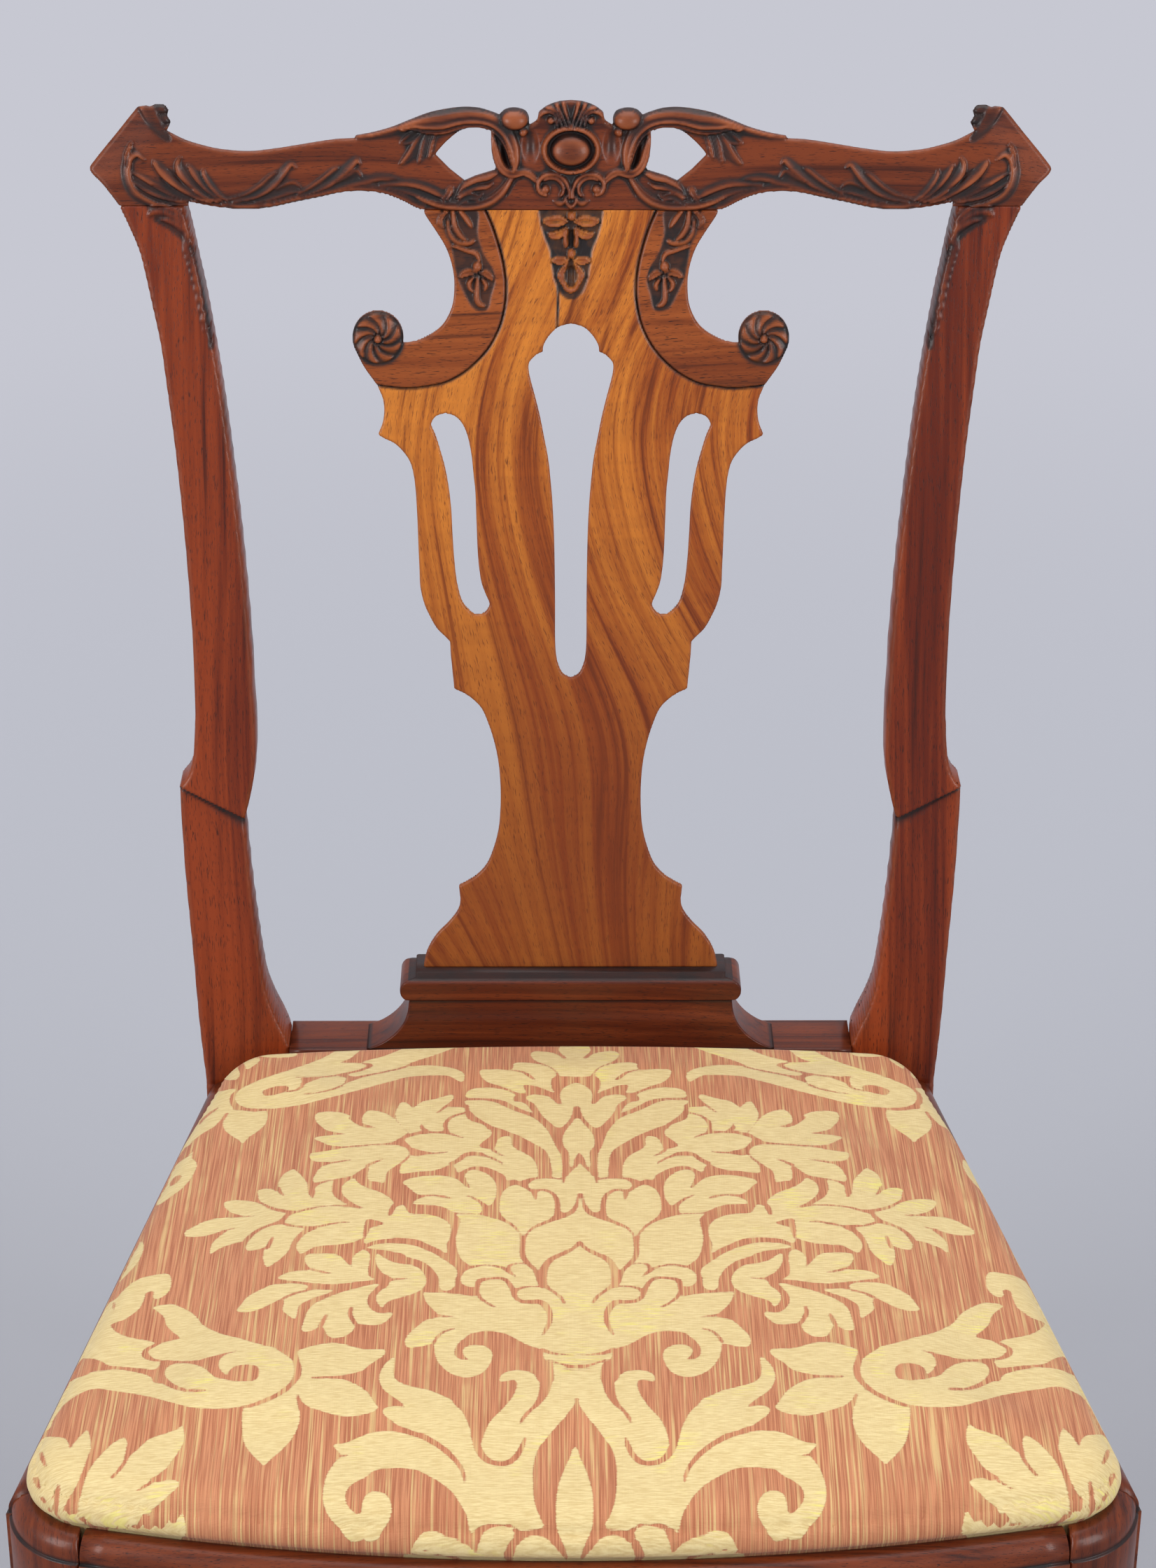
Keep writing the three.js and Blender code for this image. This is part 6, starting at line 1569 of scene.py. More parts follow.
     (-122, -271.5), (-125.5, -269), (-127.3, -264), (-129.5, -261), (-131.5, -263)],
    # Leaves at the front edge
    [(-80, -460), (-78, -436), (-76, -431), (-72, -427.5), (-66, -426.3), (-59, -428), (-54, -431),
     (-50, -434.5), (-47, -437.5), (-46, -434), (-44, -429), (-41, -425), (-37, -422.8), (-33, -422.5),
     (-30, -425), (-28.5, -428.5), (-31, -431), (-33.5, -436), (-33.8, -442), (-32, -460)],
    [(-90, -460), (-83, -443.5), (-78, -436), (-50, -440), (-50, -460)],
    [(-29, -437), (-27.5, -433), (-23.5, -430), (-18.5, -429.3), (-13.5, -431), (-10, -434.5),
     (-7, -439), (-5, -443.5), (-4.8, -460), (-28, -460), (-29.5, -442)],
    [(0.5, -362), (-2, -370), (-4.5, -378), (-6.5, -386), (-8, -394), (-8.8, -402), (-9, -410),
     (-9, -418), (-8.5, -425), (-7, -431), (-5, -436), (-3.5, -442), (-3.5, -460), (12, -460),
     (12, -362)],
]

GROUND_SHAPES = [
    [(-176, -31), (-172, -27.5), (-167, -25.5), (-162, -26), (-161.5, -30), (-165, -33), (-170, -35.5),
     (-174.5, -36)],
    [(-155, -16.5), (-150, -16.8), (-144, -16.8), (-149, -20.5), (-152.5, -24), (-153.5, -27.5),
     (-155, -25), (-154.5, -20)],
    [(-214, -119), (-214.5, -123), (-217, -128), (-219.5, -130), (-219, -124), (-217, -120)],
    [(-207.5, -290.3), (-198, -290.8), (-190, -290.3), (-185, -287.8), (-180, -285.8), (-176, -284),
     (-170, -282), (-176.5, -286), (-178.7, -290), (-178.8, -295), (-177, -299.5), (-174, -303),
     (-173, -299), (-170.5, -295.5), (-166, -294), (-161, -294.3), (-158.5, -297), (-157.8, -302),
     (-159, -306.5), (-163, -308), (-170, -307.8), (-176, -306), (-180.5, -304), (-182.5, -301),
     (-186, -297), (-189.5, -294.5), (-194, -293), (-199, -292.8), (-203, -294.3), (-205, -297.5),
     (-205.3, -301.5), (-204, -305), (-201, -309), (-197, -312.3), (-192, -314.6), (-184, -314.6),
     (-184, -316.3), (-190, -316.8), (-196, -316), (-201, -313.5), (-206, -309.8), (-210, -309),
     (-211.5, -305), (-216, -301.8), (-224, -299), (-232, -297.3), (-238, -297), (-243, -300.5),
     (-248, -304), (-258, -311), (-262, -289.5), (-247, -288.5), (-241, -289.3), (-237, -292),
     (-234, -294.5), (-226, -295.8), (-218, -297), (-211, -298), (-208.8, -295)],
    [(-89, -91.5), (-85, -93.5), (-78, -95.8), (-71, -95.6), (-66.5, -94.6), (-71, -97), (-79, -98),
     (-86, -100), (-88.8, -98)],
    [(-111, -164), (-106, -163.5), (-101, -166.5), (-104, -169), (-108, -171), (-109.5, -178),
     (-111.5, -183)],
]

GROUND_LINES = [
    [(-162, -31.5, 0.9), (-157, -30, 0.9), (-154.5, -27, 1.0)],
    [(-158, -16, 0.5), (-150, -16.4, 0.8), (-143, -15.7, 0.8), (-136, -14, 0.8), (-128, -11.2, 0.9),
     (-121, -8, 1.1), (-117.3, -5, 1.2), (-117, -2.5, 1.0), (-120, -1, 0.6)],
    [(-131, -25, 0.9), (-136, -29, 0.8), (-143, -32.2, 0.7), (-152, -34.6, 0.5)],
    [(-92, -2, 0.8), (-97, -5.5, 0.8), (-104, -8.8, 0.8), (-112, -12, 0.8), (-119, -15, 0.8)],
    [(-81, 18.5, 0.6), (-76, 21.5, 0.9), (-70, 25, 0.8), (-63, 30, 0.6)],
    [(-200, 2, 0.5), (-193, 8, 0.7), (-186, 12.6, 0.7), (-178, 15, 0.6), (-174, 16.5, 0.6)],
    [(-190.5, -30, 0.8), (-192.8, -36, 1.1), (-192.8, -43, 1.1), (-190.5, -47.5, 1.3), (-186, -50.5, 1.3),
     (-180, -52, 1.2), (-174, -51.5, 1.0), (-168, -51, 0.5)],
    [(-200, -49, 0.5), (-206, -58, 0.9), (-209.5, -67, 0.6)],
    [(-194.5, -55, 0.9), (-196, -61, 1.0), (-198.5, -67, 1.0)],
    [(-237.5, -240, 0.7), (-237.3, -246, 0.6)],
    [(-209.5, -274.5, 0.8), (-213.5, -278, 1.2), (-217, -282, 1.3), (-217, -286, 1.3),
     (-213, -289.5, 1.2), (-207, -291, 0.8)],
    [(-150, -280.5, 0.8), (-144, -286, 1.2), (-139.5, -292, 1.2), (-138, -299, 1.4), (-139, -306, 1.4),
     (-142.5, -313, 1.4), (-147.5, -319, 1.3), (-153, -323.5, 1.3), (-158, -327, 1.3),
     (-164, -329.6, 1.0), (-172, -331.2, 0.6)],
    [(-131, -304.9, 0.9), (-124, -305.2, 0.8), (-118, -304.8, 0.8), (-112, -304.3, 1.5),
     (-108, -303.5, 1.5)],
    [(-137.5, -320, 0.8), (-136, -325, 1.0), (-133.5, -329.5, 1.3)],
    [(-259, -366, 1.0), (-257.5, -371, 1.2), (-255.5, -376, 0.8)],
    [(-262.5, -384, 0.8), (-259, -385, 1.2), (-257, -392, 1.3), (-254.5, -400, 1.2), (-252.5, -407, 0.8)],
    [(-247.5, -390, 0.8), (-247, -396, 1.1), (-248.5, -404, 1.8), (-250, -408, 1.0)],
    [(-222.5, -385.5, 0.8), (-219.5, -379, 1.0), (-217.3, -372, 1.0), (-216.5, -364, 1.6),
     (-215.5, -357, 2.2)],
    [(-209.5, -395.5, 0.6), (-205, -391, 0.9), (-202, -387, 1.2)],
    [(-234, -366, 1.5), (-235.5, -378, 1.4), (-237, -390, 1.4), (-238.5, -400, 1.9), (-239, -405, 2.2)],
    [(-236, -410.5, 1.2), (-232.5, -415, 1.3)],
    [(-232, -419.5, 1.3), (-226, -419, 1.0), (-219, -417.3, 0.7), (-211, -416.5, 0.6),
     (-204, -415.5, 0.8), (-198, -414, 1.2)],
    [(-33.5, -8.3, 0.5), (-28, -10.3, 0.8), (-25, -13, 1.2), (-22.5, -16.5, 1.2), (-20, -19.5, 0.5)],
    [(-58.5, -39.3, 0.6), (-50, -39.8, 0.8), (-43, -41, 1.0), (-38, -43.7, 1.4), (-33.5, -47.7, 1.2),
     (-28, -52, 0.9), (-21, -57, 1.0)],
    [(-59, -47, 1.2), (-58.5, -54, 1.3), (-56.5, -59, 1.5), (-52, -63.5, 1.3), (-47.5, -67.5, 1.3),
     (-45.5, -71, 1.6)],
    [(4.8, -98, 1.2), (3.2, -104, 1.6), (2.2, -110, 1.2), (-0.5, -114.5, 0.9), (-2.8, -119.5, 1.0)],
    [(-9.5, -78, 1.2), (-7.6, -86, 1.2), (-5.6, -92, 1.2), (-3.6, -98, 1.7), (-3.2, -106, 1.8),
     (-3.2, -113, 1.7), (-4, -119, 1.3), (-4.6, -127, 0.6)],
    [(-4.5, -123.5, 0.7), (-10, -122.4, 0.7), (-16, -122.2, 0.8), (-21, -123.2, 1.2), (-25, -126, 2.2),
     (-27.5, -128.5, 2.0)],
    [(-70.5, -47, 0.9), (-73, -51, 0.9), (-76, -55, 0.5)],
    [(-84, -67, 0.5), (-83.5, -71, 1.3), (-81, -74, 1.5)],
    [(-90, -77.5, 1.0), (-86, -75.8, 0.9), (-80, -75, 0.9), (-74, -75.3, 1.0), (-69, -76.5, 1.0),
     (-64, -79, 0.9), (-60.5, -81, 0.4)],
    [(-60, -55, 0.9), (-64, -56.8, 0.9), (-68, -60, 1.1), (-70.5, -66, 1.1), (-70, -73, 1.1),
     (-69, -76, 1.1)],
    [(-66, -107.5, 1.8), (-62, -103.5, 1.6), (-59.5, -99.5, 1.6), (-56, -97.8, 2.2), (-51, -98, 2.0),
     (-47.5, -99.7, 1.0), (-43.5, -102.5, 0.9), (-39.5, -106, 0.8), (-38, -108.5, 0.4)],
    [(-43.5, -94, 1.2), (-40, -98, 0.8), (-36.5, -100.3, 0.4)],
    [(-124, -60, 1.6), (-119, -66, 1.6), (-114.5, -69, 1.4), (-110, -70, 0.4)],
    [(-127, -90.3, 0.6), (-119, -89.5, 0.8), (-110, -88.2, 0.8), (-103, -87.4, 0.9), (-97, -85.3, 1.2),
     (-94, -81.5, 1.2), (-91.5, -78, 1.3)],
    [(-139, -107, 1.3), (-133, -106.8, 1.0), (-129, -105.6, 0.8), (-122, -103.6, 0.5)],
    [(-112.5, -109.5, 1.3), (-108.5, -106, 1.0), (-104.5, -103.3, 0.5)],
    [(-82, -139.9, 1.0), (-76, -139.4, 0.7), (-70, -140.2, 0.8), (-66, -142, 0.8)],
    [(-57, -139.7, 0.5), (-53, -142.3, 0.8), (-49, -146.8, 1.0), (-46.5, -151, 1.6)],
    [(-63, -157.3, 0.5), (-56, -157.5, 0.5), (-49, -157.8, 0.6)],
    [(-20.5, -135, 1.6), (-20, -140, 1.3), (-19.7, -143.5, 0.6)],
    [(-27, -180, 1.2), (-26.5, -186, 1.3), (-26.6, -193, 1.5), (-25.6, -200, 1.5), (-23, -205.5, 1.4),
     (-20, -210, 1.3), (-18, -216, 1.7), (-17, -221, 1.8), (-15.8, -226, 1.6)],
    [(3.9, -185, 1.3), (1, -190, 1.2), (-4, -195.5, 1.0), (-9, -199.5, 1.1), (-12.8, -204, 1.6),
     (-14.7, -210, 1.8), (-15.3, -217, 2.0), (-15, -224, 1.8), (-11.5, -229, 1.0), (-7, -234.5, 1.1),
     (-4.5, -240.5, 0.9)],
    [(-53, -208, 1.3), (-47, -206.2, 0.7), (-41, -206.9, 0.9), (-36, -209.3, 1.1), (-32.5, -213.5, 1.2),
     (-30, -216.5, 0.6)],
    [(-33.5, -211, 1.0), (-33, -206.5, 1.0), (-29, -204.8, 0.6), (-25, -205.3, 0.6)],
    [(-50.5, -233, 1.2), (-49.8, -226, 1.4), (-48.7, -220.5, 1.6), (-44, -218.7, 1.2),
     (-38, -218.3, 1.3), (-34.5, -220.5, 1.3), (-32.5, -225, 1.4), (-30.8, -230, 1.6), (-30, -235, 1.4),
     (-27, -239, 1.3), (-22, -240, 1.6), (-17, -239.8, 2.0), (-14, -243.5, 2.0), (-12, -250, 1.6),
     (-12, -257, 1.4), (-13.5, -263, 1.2), (-15.5, -269, 0.7)],
    [(-49.5, -231, 0.9), (-48, -236, 1.0), (-45, -240, 0.9), (-41.5, -243.5, 0.9), (-39.5, -244.3, 0.4)],
    [(-30, -230, 1.4), (-27.5, -227.5, 1.0), (-22, -225.8, 0.7), (-16, -226, 0.8)],
    [(-67, -252.3, 0.9), (-60, -253.2, 0.4)],
    [(-71, -275.5, 1.0), (-69, -270, 0.9), (-66, -266, 0.8), (-61, -263.3, 0.6)],
    [(-15.5, -282, 1.6), (-11, -284.8, 1.2), (-5, -286, 0.6), (2, -286.6, 0.5)],
    [(-12, -291, 0.8), (-6, -294, 0.8), (-2, -295.8, 1.3), (3, -296, 1.4)],
    [(-5, -298.3, 0.4), (3, -298.9, 0.4)],
    [(-13.7, -309, 3.2), (-14.5, -316, 2.7), (-16, -322, 2.1), (-18.5, -328, 1.4), (-22, -333, 1.0),
     (-25, -339, 1.0), (-26.3, -343, 0.5)],
    [(-48.5, -352, 1.8), (-47.5, -360, 1.9), (-45.5, -367, 1.9), (-42.5, -372, 1.8), (-38, -374.8, 1.8),
     (-33, -374.8, 1.8), (-29.5, -371.5, 1.7), (-27, -366.5, 1.5), (-25.3, -361, 1.3),
     (-24, -355, 0.6)],
    [(-80, -350.5, 1.7), (-74, -353.5, 2.0), (-69, -357.8, 1.8), (-64, -363, 1.7), (-60, -368.5, 1.5),
     (-56.5, -374.5, 1.2), (-54.3, -380, 1.1), (-53, -386, 0.9), (-52.7, -390, 0.4)],
    [(-115, -369, 0.9), (-110.5, -368.5, 0.8)],
    [(-78, -437, 0.5), (-71, -436.7, 0.7), (-63, -438.5, 1.1), (-57, -443, 1.5), (-53, -449, 0.8)],
    [(-160.3, -132, 1.3), (-158.5, -136.5, 1.1), (-156.5, -139.5, 0.5)],
    [(-142, -132, 1.6), (-141.8, -136, 1.6), (-141, -141, 0.8)],
    [(-165, -150.5, 0.8), (-160, -153.7, 0.8), (-154, -155.5, 0.9), (-149, -155.5, 1.0),
     (-143, -152.8, 0.9), (-136, -150.4, 0.7), (-128, -149.6, 0.6), (-120, -149.8, 0.8),
     (-115, -151.5, 0.8)],
    [(-152.8, -156.5, 1.2), (-154.5, -161, 1.4), (-157, -165, 1.5), (-163, -168.6, 0.9),
     (-168.5, -173.3, 1.0), (-172.5, -179.5, 1.2), (-174, -184, 1.4)],
    [(-157, -165.5, 1.2), (-152, -168.3, 0.9), (-145, -169.9, 0.9), (-138, -170, 1.0),
     (-131, -167.7, 0.9), (-124, -165.7, 0.7), (-119, -165.4, 0.4)],
    [(-138.5, -171, 1.6), (-143, -175, 1.4), (-146.3, -180, 1.3), (-148, -186, 1.4), (-148.5, -193, 1.8)],
    [(-159.8, -180, 0.8), (-160.8, -185, 1.2), (-162, -190, 1.2)],
    [(-98.2, -158, 1.2), (-97.3, -153.5, 1.5), (-96, -149, 1.4)],
    [(-187, -173.7, 0.7), (-181, -171, 0.4)],
    [(-175, -159.8, 0.7), (-171, -159.4, 0.4)],
    [(-96, -219.8, 1.3), (-92, -218.9, 0.8), (-87, -218.5, 0.6)],
    [(-105.5, -193, 1.2), (-105.5, -200, 1.0), (-105.7, -207, 1.5), (-104, -214, 2.3),
     (-98.8, -219, 2.3), (-98.8, -223.5, 1.9), (-102, -229, 1.6), (-104.5, -235, 1.8),
     (-104.5, -241, 1.8), (-101.5, -246.5, 1.4), (-98, -249, 0.7)],
    [(-125, -225.3, 1.8), (-118, -223.9, 1.3), (-112, -222, 1.0), (-105, -220.7, 0.8),
     (-99, -220.5, 0.8)],
    [(-127, -213.3, 0.5), (-132, -212, 1.0), (-138, -209.5, 0.9)],
    [(-139, -229.6, 0.8), (-145, -232, 0.9), (-150, -236, 1.2)],
    [(-127, -251.5, 1.0), (-128.3, -256, 1.2), (-129.5, -261, 1.2)],
    [(-114.5, -245, 1.1), (-115, -250, 1.2), (-113, -256, 1.3), (-110.8, -260.5, 1.0)],
    [(-78, -230.4, 0.8), (-70, -230.4, 0.9), (-60, -231.3, 1.3), (-52, -233.4, 1.2)],
]


def closed(points, steps=3):
    """A smooth closed curve through points."""
    p = np.asarray(points, float)
    return smooth(np.vstack([p[-1:], p, p[:2]]), steps)[steps:(len(p) + 1) * steps]


def draw_pattern():
    """The pattern's signed distance in mm over a grid: above 0 is cream, below is ground."""
    every = np.vstack(CREAM_LEAVES)
    (low_x, low_y), (high_x, high_y) = every.min(0), every.max(0)
    grid = Sheet([np.array([(low_x, low_y), (high_x, low_y), (high_x, high_y), (low_x, high_y)])],
                 PATTERN_STEP, reach=1.0)
    motif = np.full(grid.u.shape, -PATTERN_REACH)

    def signed(points):
        loop = closed(points)
        far = grid.nearest([ring_of(loop)], PATTERN_REACH)
        return np.where(grid.inside([loop]), far, -far)

    for points in CREAM_LEAVES:
        motif = np.maximum(motif, signed(points))
    for points in GROUND_SHAPES:
        motif = np.minimum(motif, -signed(points))
    for path in GROUND_LINES:
        line = smooth(path, 3)
        for a, b in zip(line[:-1], line[1:]):
            spot = grid.window(np.array([a[:2], b[:2]]), PATTERN_REACH)
            if spot is None:
                continue
            du, dv = b[0] - a[0], b[1] - a[1]
            pu, pv = grid.u[spot] - a[0], grid.v[spot] - a[1]
            t = np.clip((pu * du + pv * dv) / max(du * du + dv * dv, 1e-9), 0, 1)
            far = np.hypot(pu - t * du, pv - t * dv) - (a[2] + t * (b[2] - a[2]))
            motif[spot] = np.minimum(motif[spot], far)
    return grid, motif


def paint_motif(x, y):
    """The pattern at points of its plane."""
    grid, motif = draw_pattern()
    fold = np.interp(y, FOLD_Y, FOLD_X)
    return grid.sample(motif, fold - np.abs(x - fold), y)


# The loose seat

COVER_INSET = 14.8
TOP_INSET = COVER_INSET + 2.2
COVER_BOTTOM_Z = 426.3
COVER_STEP = 1.15
TOP_REACH = 70.0
EDGE_RISE = 21.5
EDGE_ROLL = 13.0
CROWN = 11.0
DOME = 4.0
# The pad stands higher along the middle of its rear edge
REAR_SWELL = 9.0
# How far the pad starts below its finished height, and how far the simulation may lift it
SWELL_ROOM = 5.0
SWELL_MOST = 1.3 * SWELL_ROOM
SWELL_STEP = 7.0
SWELL_VOXEL = 0.006
SWELL_FRAMES = 20
# The Y at which the sides begin to bulge over the rails, and the Y at which they bulge fully
BULGE_START = -25.0
BULGE_FULL = -95.0
# The side's run from the top's edge, as (outward, rise over seat height, how much further out it
# stands where the pad bulges). It draws in at the rails, turns under the frame, and ends against
# the frame's outer face and over its webbing.
UNDER = COVER_BOTTOM_Z - SEAT_Z
COVER_SIDE = [
    (0.0, 14.5, 4.6), (1.0, 11.0, 5.6), (1.9, 7.5, 5.4), (2.4, 4.5, 4.2), (2.2, 1.8, 1.4), (2.2, -1.0, 0),
    (2.0, -6.0, 0), (1.2, UNDER + 0.7, 0), (0.2, UNDER, 0), (-22.0, UNDER, 0), (-23.8, UNDER + 0.4, 0),
    (-23.8, UNDER + 1.1, 0), (1.0, UNDER + 1.1, 0), (1.0, 9.0, 0), (-4.0, 12.4, 0)]
SEAT_REAR_GAP = 4.0
REAR_CORNER = 30.0


def seat_loop(inset):
    """The seat's plan at an inset from the rails' outer edge."""
    radius = REAR_CORNER - (inset - COVER_INSET)
    rear = -SEAT_REAR_GAP - (inset - COVER_INSET)
    corner_x = side_at(rear - radius, inset + radius)[0]
    corner = arc((corner_x, rear - radius), radius, 90, SIDE_ANGLE, 17)
    right = np.vstack([[(0, rear)], corner, front_edge(inset, 25, 41)])
    return np.vstack([right, mirrored(right[1:-1])[::-1]])


def damask():
    """Cream leaves of weft on a rose ground of warp, with slubs and a few painted glints on the weft."""
    n = Nodes("damask")
    motif = n.value("motif")
    # Warp threads run from front to back and drift a little
    warp = n.noise(n.mapped((1500.0, 25.0, 25.0)), 1.0, 2.0, 0.6)
    weft = n.noise(n.mapped((160.0, 2000.0, 160.0)), 1.0, 2.0, 0.6)
    stripes = n.noise(n.mapped((620.0, 7.0, 7.0)), 1.0, 2.0, 0.75)
    patches = n.noise(n.mapped((28.0, 28.0, 28.0)), 1.0, 2.0, 0.5)
    picks = n.noise(n.mapped((90.0, 1300.0, 90.0)), 1.0, 1.0, 0.5)
    ragged = n.math("MULTIPLY", n.math("SUBTRACT", weft, 0.5), 1.6)
    inside = n.span(n.math("ADD", motif, ragged), -0.35, 0.35)
    ground = n.mix(n.span(warp, 0.3, 0.7), rgb(170, 98, 62), rgb(212, 143, 100))
    slub = n.math("MULTIPLY", n.span(stripes, 0.50, 0.64), n.span(patches, 0.36, 0.6, 0.25, 0.8))
    ground = n.mix(slub, ground, rgb(224, 190, 128))
    cream = n.mix(n.span(weft, 0.3, 0.7), rgb(216, 187, 126), rgb(237, 214, 156))
    # A few painted glints of yellow on the cream
    glint = n.math("MULTIPLY", n.span(picks, 0.52, 0.62), n.span(patches, 0.56, 0.68, 0.0, 0.75))
    cream = n.mix(glint, cream, rgb(238, 224, 120))
    n.link(n.mix(inside, ground, cream), n.shader.inputs["Base Color"])
    n.link(n.math("SUBTRACT", 0.72, n.math("MULTIPLY", inside, 0.12)), n.shader.inputs["Roughness"])
    n.constant(Sheen_Weight=0.12, Sheen_Roughness=0.5)
    n.bump(n.math("ADD", n.math("ADD", warp, weft), n.math("MULTIPLY", inside, 0.9)), 0.5, 0.0005)
    return n.material


def make_cover():
    """The crowned cushion: its top is a fine net over the seat's plan, swollen by a cloth
    simulation, and its sides roll over the edge, draw in at the rails and turn under the frame."""
    sheet = Sheet([seat_loop(TOP_INSET)], COVER_STEP, reach=TOP_REACH)
    used, x, y, quads, edges = sheet.net()
    height = SEAT_Z + cushion_rise(sheet.edge, sheet.u, sheet.v)
    height = height + swollen(sheet)
    gu, gv = np.gradient(sheet.depth, sheet.step)
    size = np.maximum(np.hypot(gu, gv), 0.3)
    spread = 2.9 * (ramp(30, 0, sheet.edge) * ramp(BULGE_START, BULGE_FULL, sheet.v) / size)[used]
    front = np.stack([x - gu[used] * spread, y - gv[used] * spread, height[used]], 1)

    rim = walked(edges)
    outward = -np.stack([(gu / size)[used][rim], (gv / size)[used][rim]], 1)
    centre = np.stack([x, y], 1)[rim]
    pattern_at = traced(front)
    rings = []
    ring_patterns = []
    # The pattern runs on down the side by the cloth's own length
    run = 0.0
    before = (0.0, front[rim, 2].mean() - SEAT_Z)
    bulging = ramp(BULGE_START, BULGE_FULL, centre[:, 1])[:, None]
    for out, rise, bulge in COVER_SIDE:
        run += math.hypot(out - before[0], rise - before[1])
        before = (out, rise)
        around = centre + outward * (out + bulge * bulging)
        rings.append(np.column_stack([around, np.full(len(rim), SEAT_Z + rise)]))
        ring_patterns.append(pattern_at[rim] + outward * run)

    points = np.vstack([front] + rings)
    faces = [quads]
    rows = [rim] + [np.arange(len(rim)) + len(front) + n * len(rim) for n in range(len(rings))]
    for above, below in zip(rows, rows[1:]):
        faces.append(np.stack([np.roll(above, -1), above, below, np.roll(below, -1)], 1))
    faces.append(rows[-1][None, :])
    where = np.vstack([pattern_at] + ring_patterns)
    cover = build("seat_cushion", points, oriented(points, faces), damask_cloth, SEAT_BODY,
                  {"motif": paint_motif(where[:, 0], where[:, 1])})
    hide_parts("seat_cover", "seat_stuffing")


def walked(edges):
    """The border's points in order, from its directed edges."""
    after = dict(edges.tolist())
    rim = [int(edges[0, 0])]
    while len(rim) < len(edges):
        rim.append(after[rim[-1]])
    return np.array(rim)


def traced(points):
    """Where points meet the pattern's plane along the lines it was drawn by."""
    share = ((CAMERA_AT[2] - PATTERN_Z) / (CAMERA_AT[2] - points[:, 2]))[:, None]
    eye = np.array(CAMERA_AT[:2])
    return eye + (points[:, :2] - eye) * share


def cushion_rise(edge, x, y):
    """The stuffed pad's height over seat height, before it swells."""
    inward = np.clip(edge, 0, TOP_REACH)
    roll = EDGE_RISE - 0.62 * rolled_edge(inward, EDGE_ROLL)
    crown = CROWN * np.sin(inward / TOP_REACH * math.pi / 2) ** 0.9
    dome = DOME * np.clip(1 - (x / 270) ** 2, 0, 1) * np.clip(1 - ((y + 215) / 225) ** 2, 0, 1)
    rear = REAR_SWELL * ramp(-80, -14, y) * np.clip(1 - (x / 205) ** 2, 0, 1) ** 0.7 * ramp(0, 14, inward)
    return roll + crown + dome + rear - SWELL_ROOM * ramp(0, 60, inward)


def evaluated(thing):
    """A copy of an object's mesh with its modifiers applied."""
    return bpy.data.meshes.new_from_object(thing.evaluated_get(bpy.context.evaluated_depsgraph_get()))


def swollen(fine):
    """How far a cloth simulation with inner pressure lifts the cushion's top, over a grid."""
    coarse = Sheet([seat_loop(TOP_INSET)], SWELL_STEP, reach=TOP_REACH)
    used, x, y, quads, edges = coarse.net()
    rise = cushion_rise(coarse.edge, coarse.u, coarse.v)
    front = np.stack([x, y, SEAT_Z + rise[used]], 1)
    back = np.stack([x, y, np.full(len(x), SEAT_Z - 6)], 1)
    points, faces = skin(front, back, quads, edges)
    mesh = bpy.data.meshes.new("swelling")
    mesh.from_pydata((points * MM).tolist(), [], [face for group in faces for face in group.tolist()])
    thing = bpy.data.objects.new("swelling", mesh)
    bpy.context.scene.collection.objects.link(thing)
    remesh = thing.modifiers.new("remesh", "REMESH")
    remesh.mode = "VOXEL"
    remesh.voxel_size = SWELL_VOXEL
    thing.data = evaluated(thing)
    thing.modifiers.clear()

    # The sides and the underside are held, as the seat frame holds them
    held = thing.vertex_groups.new(name="held")
    held.add([v.index for v in thing.data.vertices if v.co.z < (SEAT_Z + 12) * MM], 1.0, "ADD")
    cloth = thing.modifiers.new("cloth", "CLOTH")
    cloth.settings.vertex_group_mass = "held"
    cloth.settings.use_pressure = True
    cloth.settings.uniform_pressure_force = 4.0
    cloth.settings.effector_weights.gravity = 0.0
    scene = bpy.context.scene
    for number in range(1, SWELL_FRAMES + 1):
        scene.frame_set(number)
    result = evaluated(thing)
    bpy.data.objects.remove(thing)
    scene.frame_set(1)

    tree = BVHTree.FromPolygons([v.co.copy() for v in result.vertices],
                                [tuple(p.vertices) for p in result.polygons])
    lifted = np.zeros(coarse.u.shape)
    for i, j in np.argwhere(coarse.depth > 0):
        above = Vector((coarse.u[i, j] * MM, coarse.v[i, j] * MM, 1.0))
        found = tree.ray_cast(above, Vector((0, 0, -1)))[0]
        if found is not None:
            lifted[i, j] = found.z / MM - SEAT_Z - rise[i, j]
    lifted = blurred(SWELL_MOST * np.tanh(np.maximum(lifted, 0) / SWELL_MOST), 1.0)
    lifted = coarse.sample(lifted, fine.u, fine.v, 0.3)
    return blurred(lifted, 3.5) * ramp(0, 12, fine.edge)


damask_cloth = damask()
make_cover()


# What keeps its solid gets its material

for node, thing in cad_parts.items():
    if node.startswith(("corner_block", "seat_frame")):
        surface = beech
    elif node.startswith("webbing"):
        surface = jute
    elif node == "hessian":
        surface = hessian_cloth
    else:
        surface = rail_wood
    thing.data.materials.clear()
    thing.data.materials.append(surface)


# Floor, light and camera

# The pale paper of the background, and the sweep of the floor, in metres
PAPER = rgb(199, 200, 210)
FLOOR_HALF = 9.0
FLOOR_FRONT = -6.0
FLOOR_REAR = 7.0
WALL_TOP = 4.5
FLOOR_BEND = 1.2
# Where the floor starts to pass into plain paper, and where it has
PAPER_NEAR = 0.6
PAPER_FAR = 3.0
# The point that the lamps are turned to
LAMP_AIM = Vector((0.0, 0.1, 0.7))


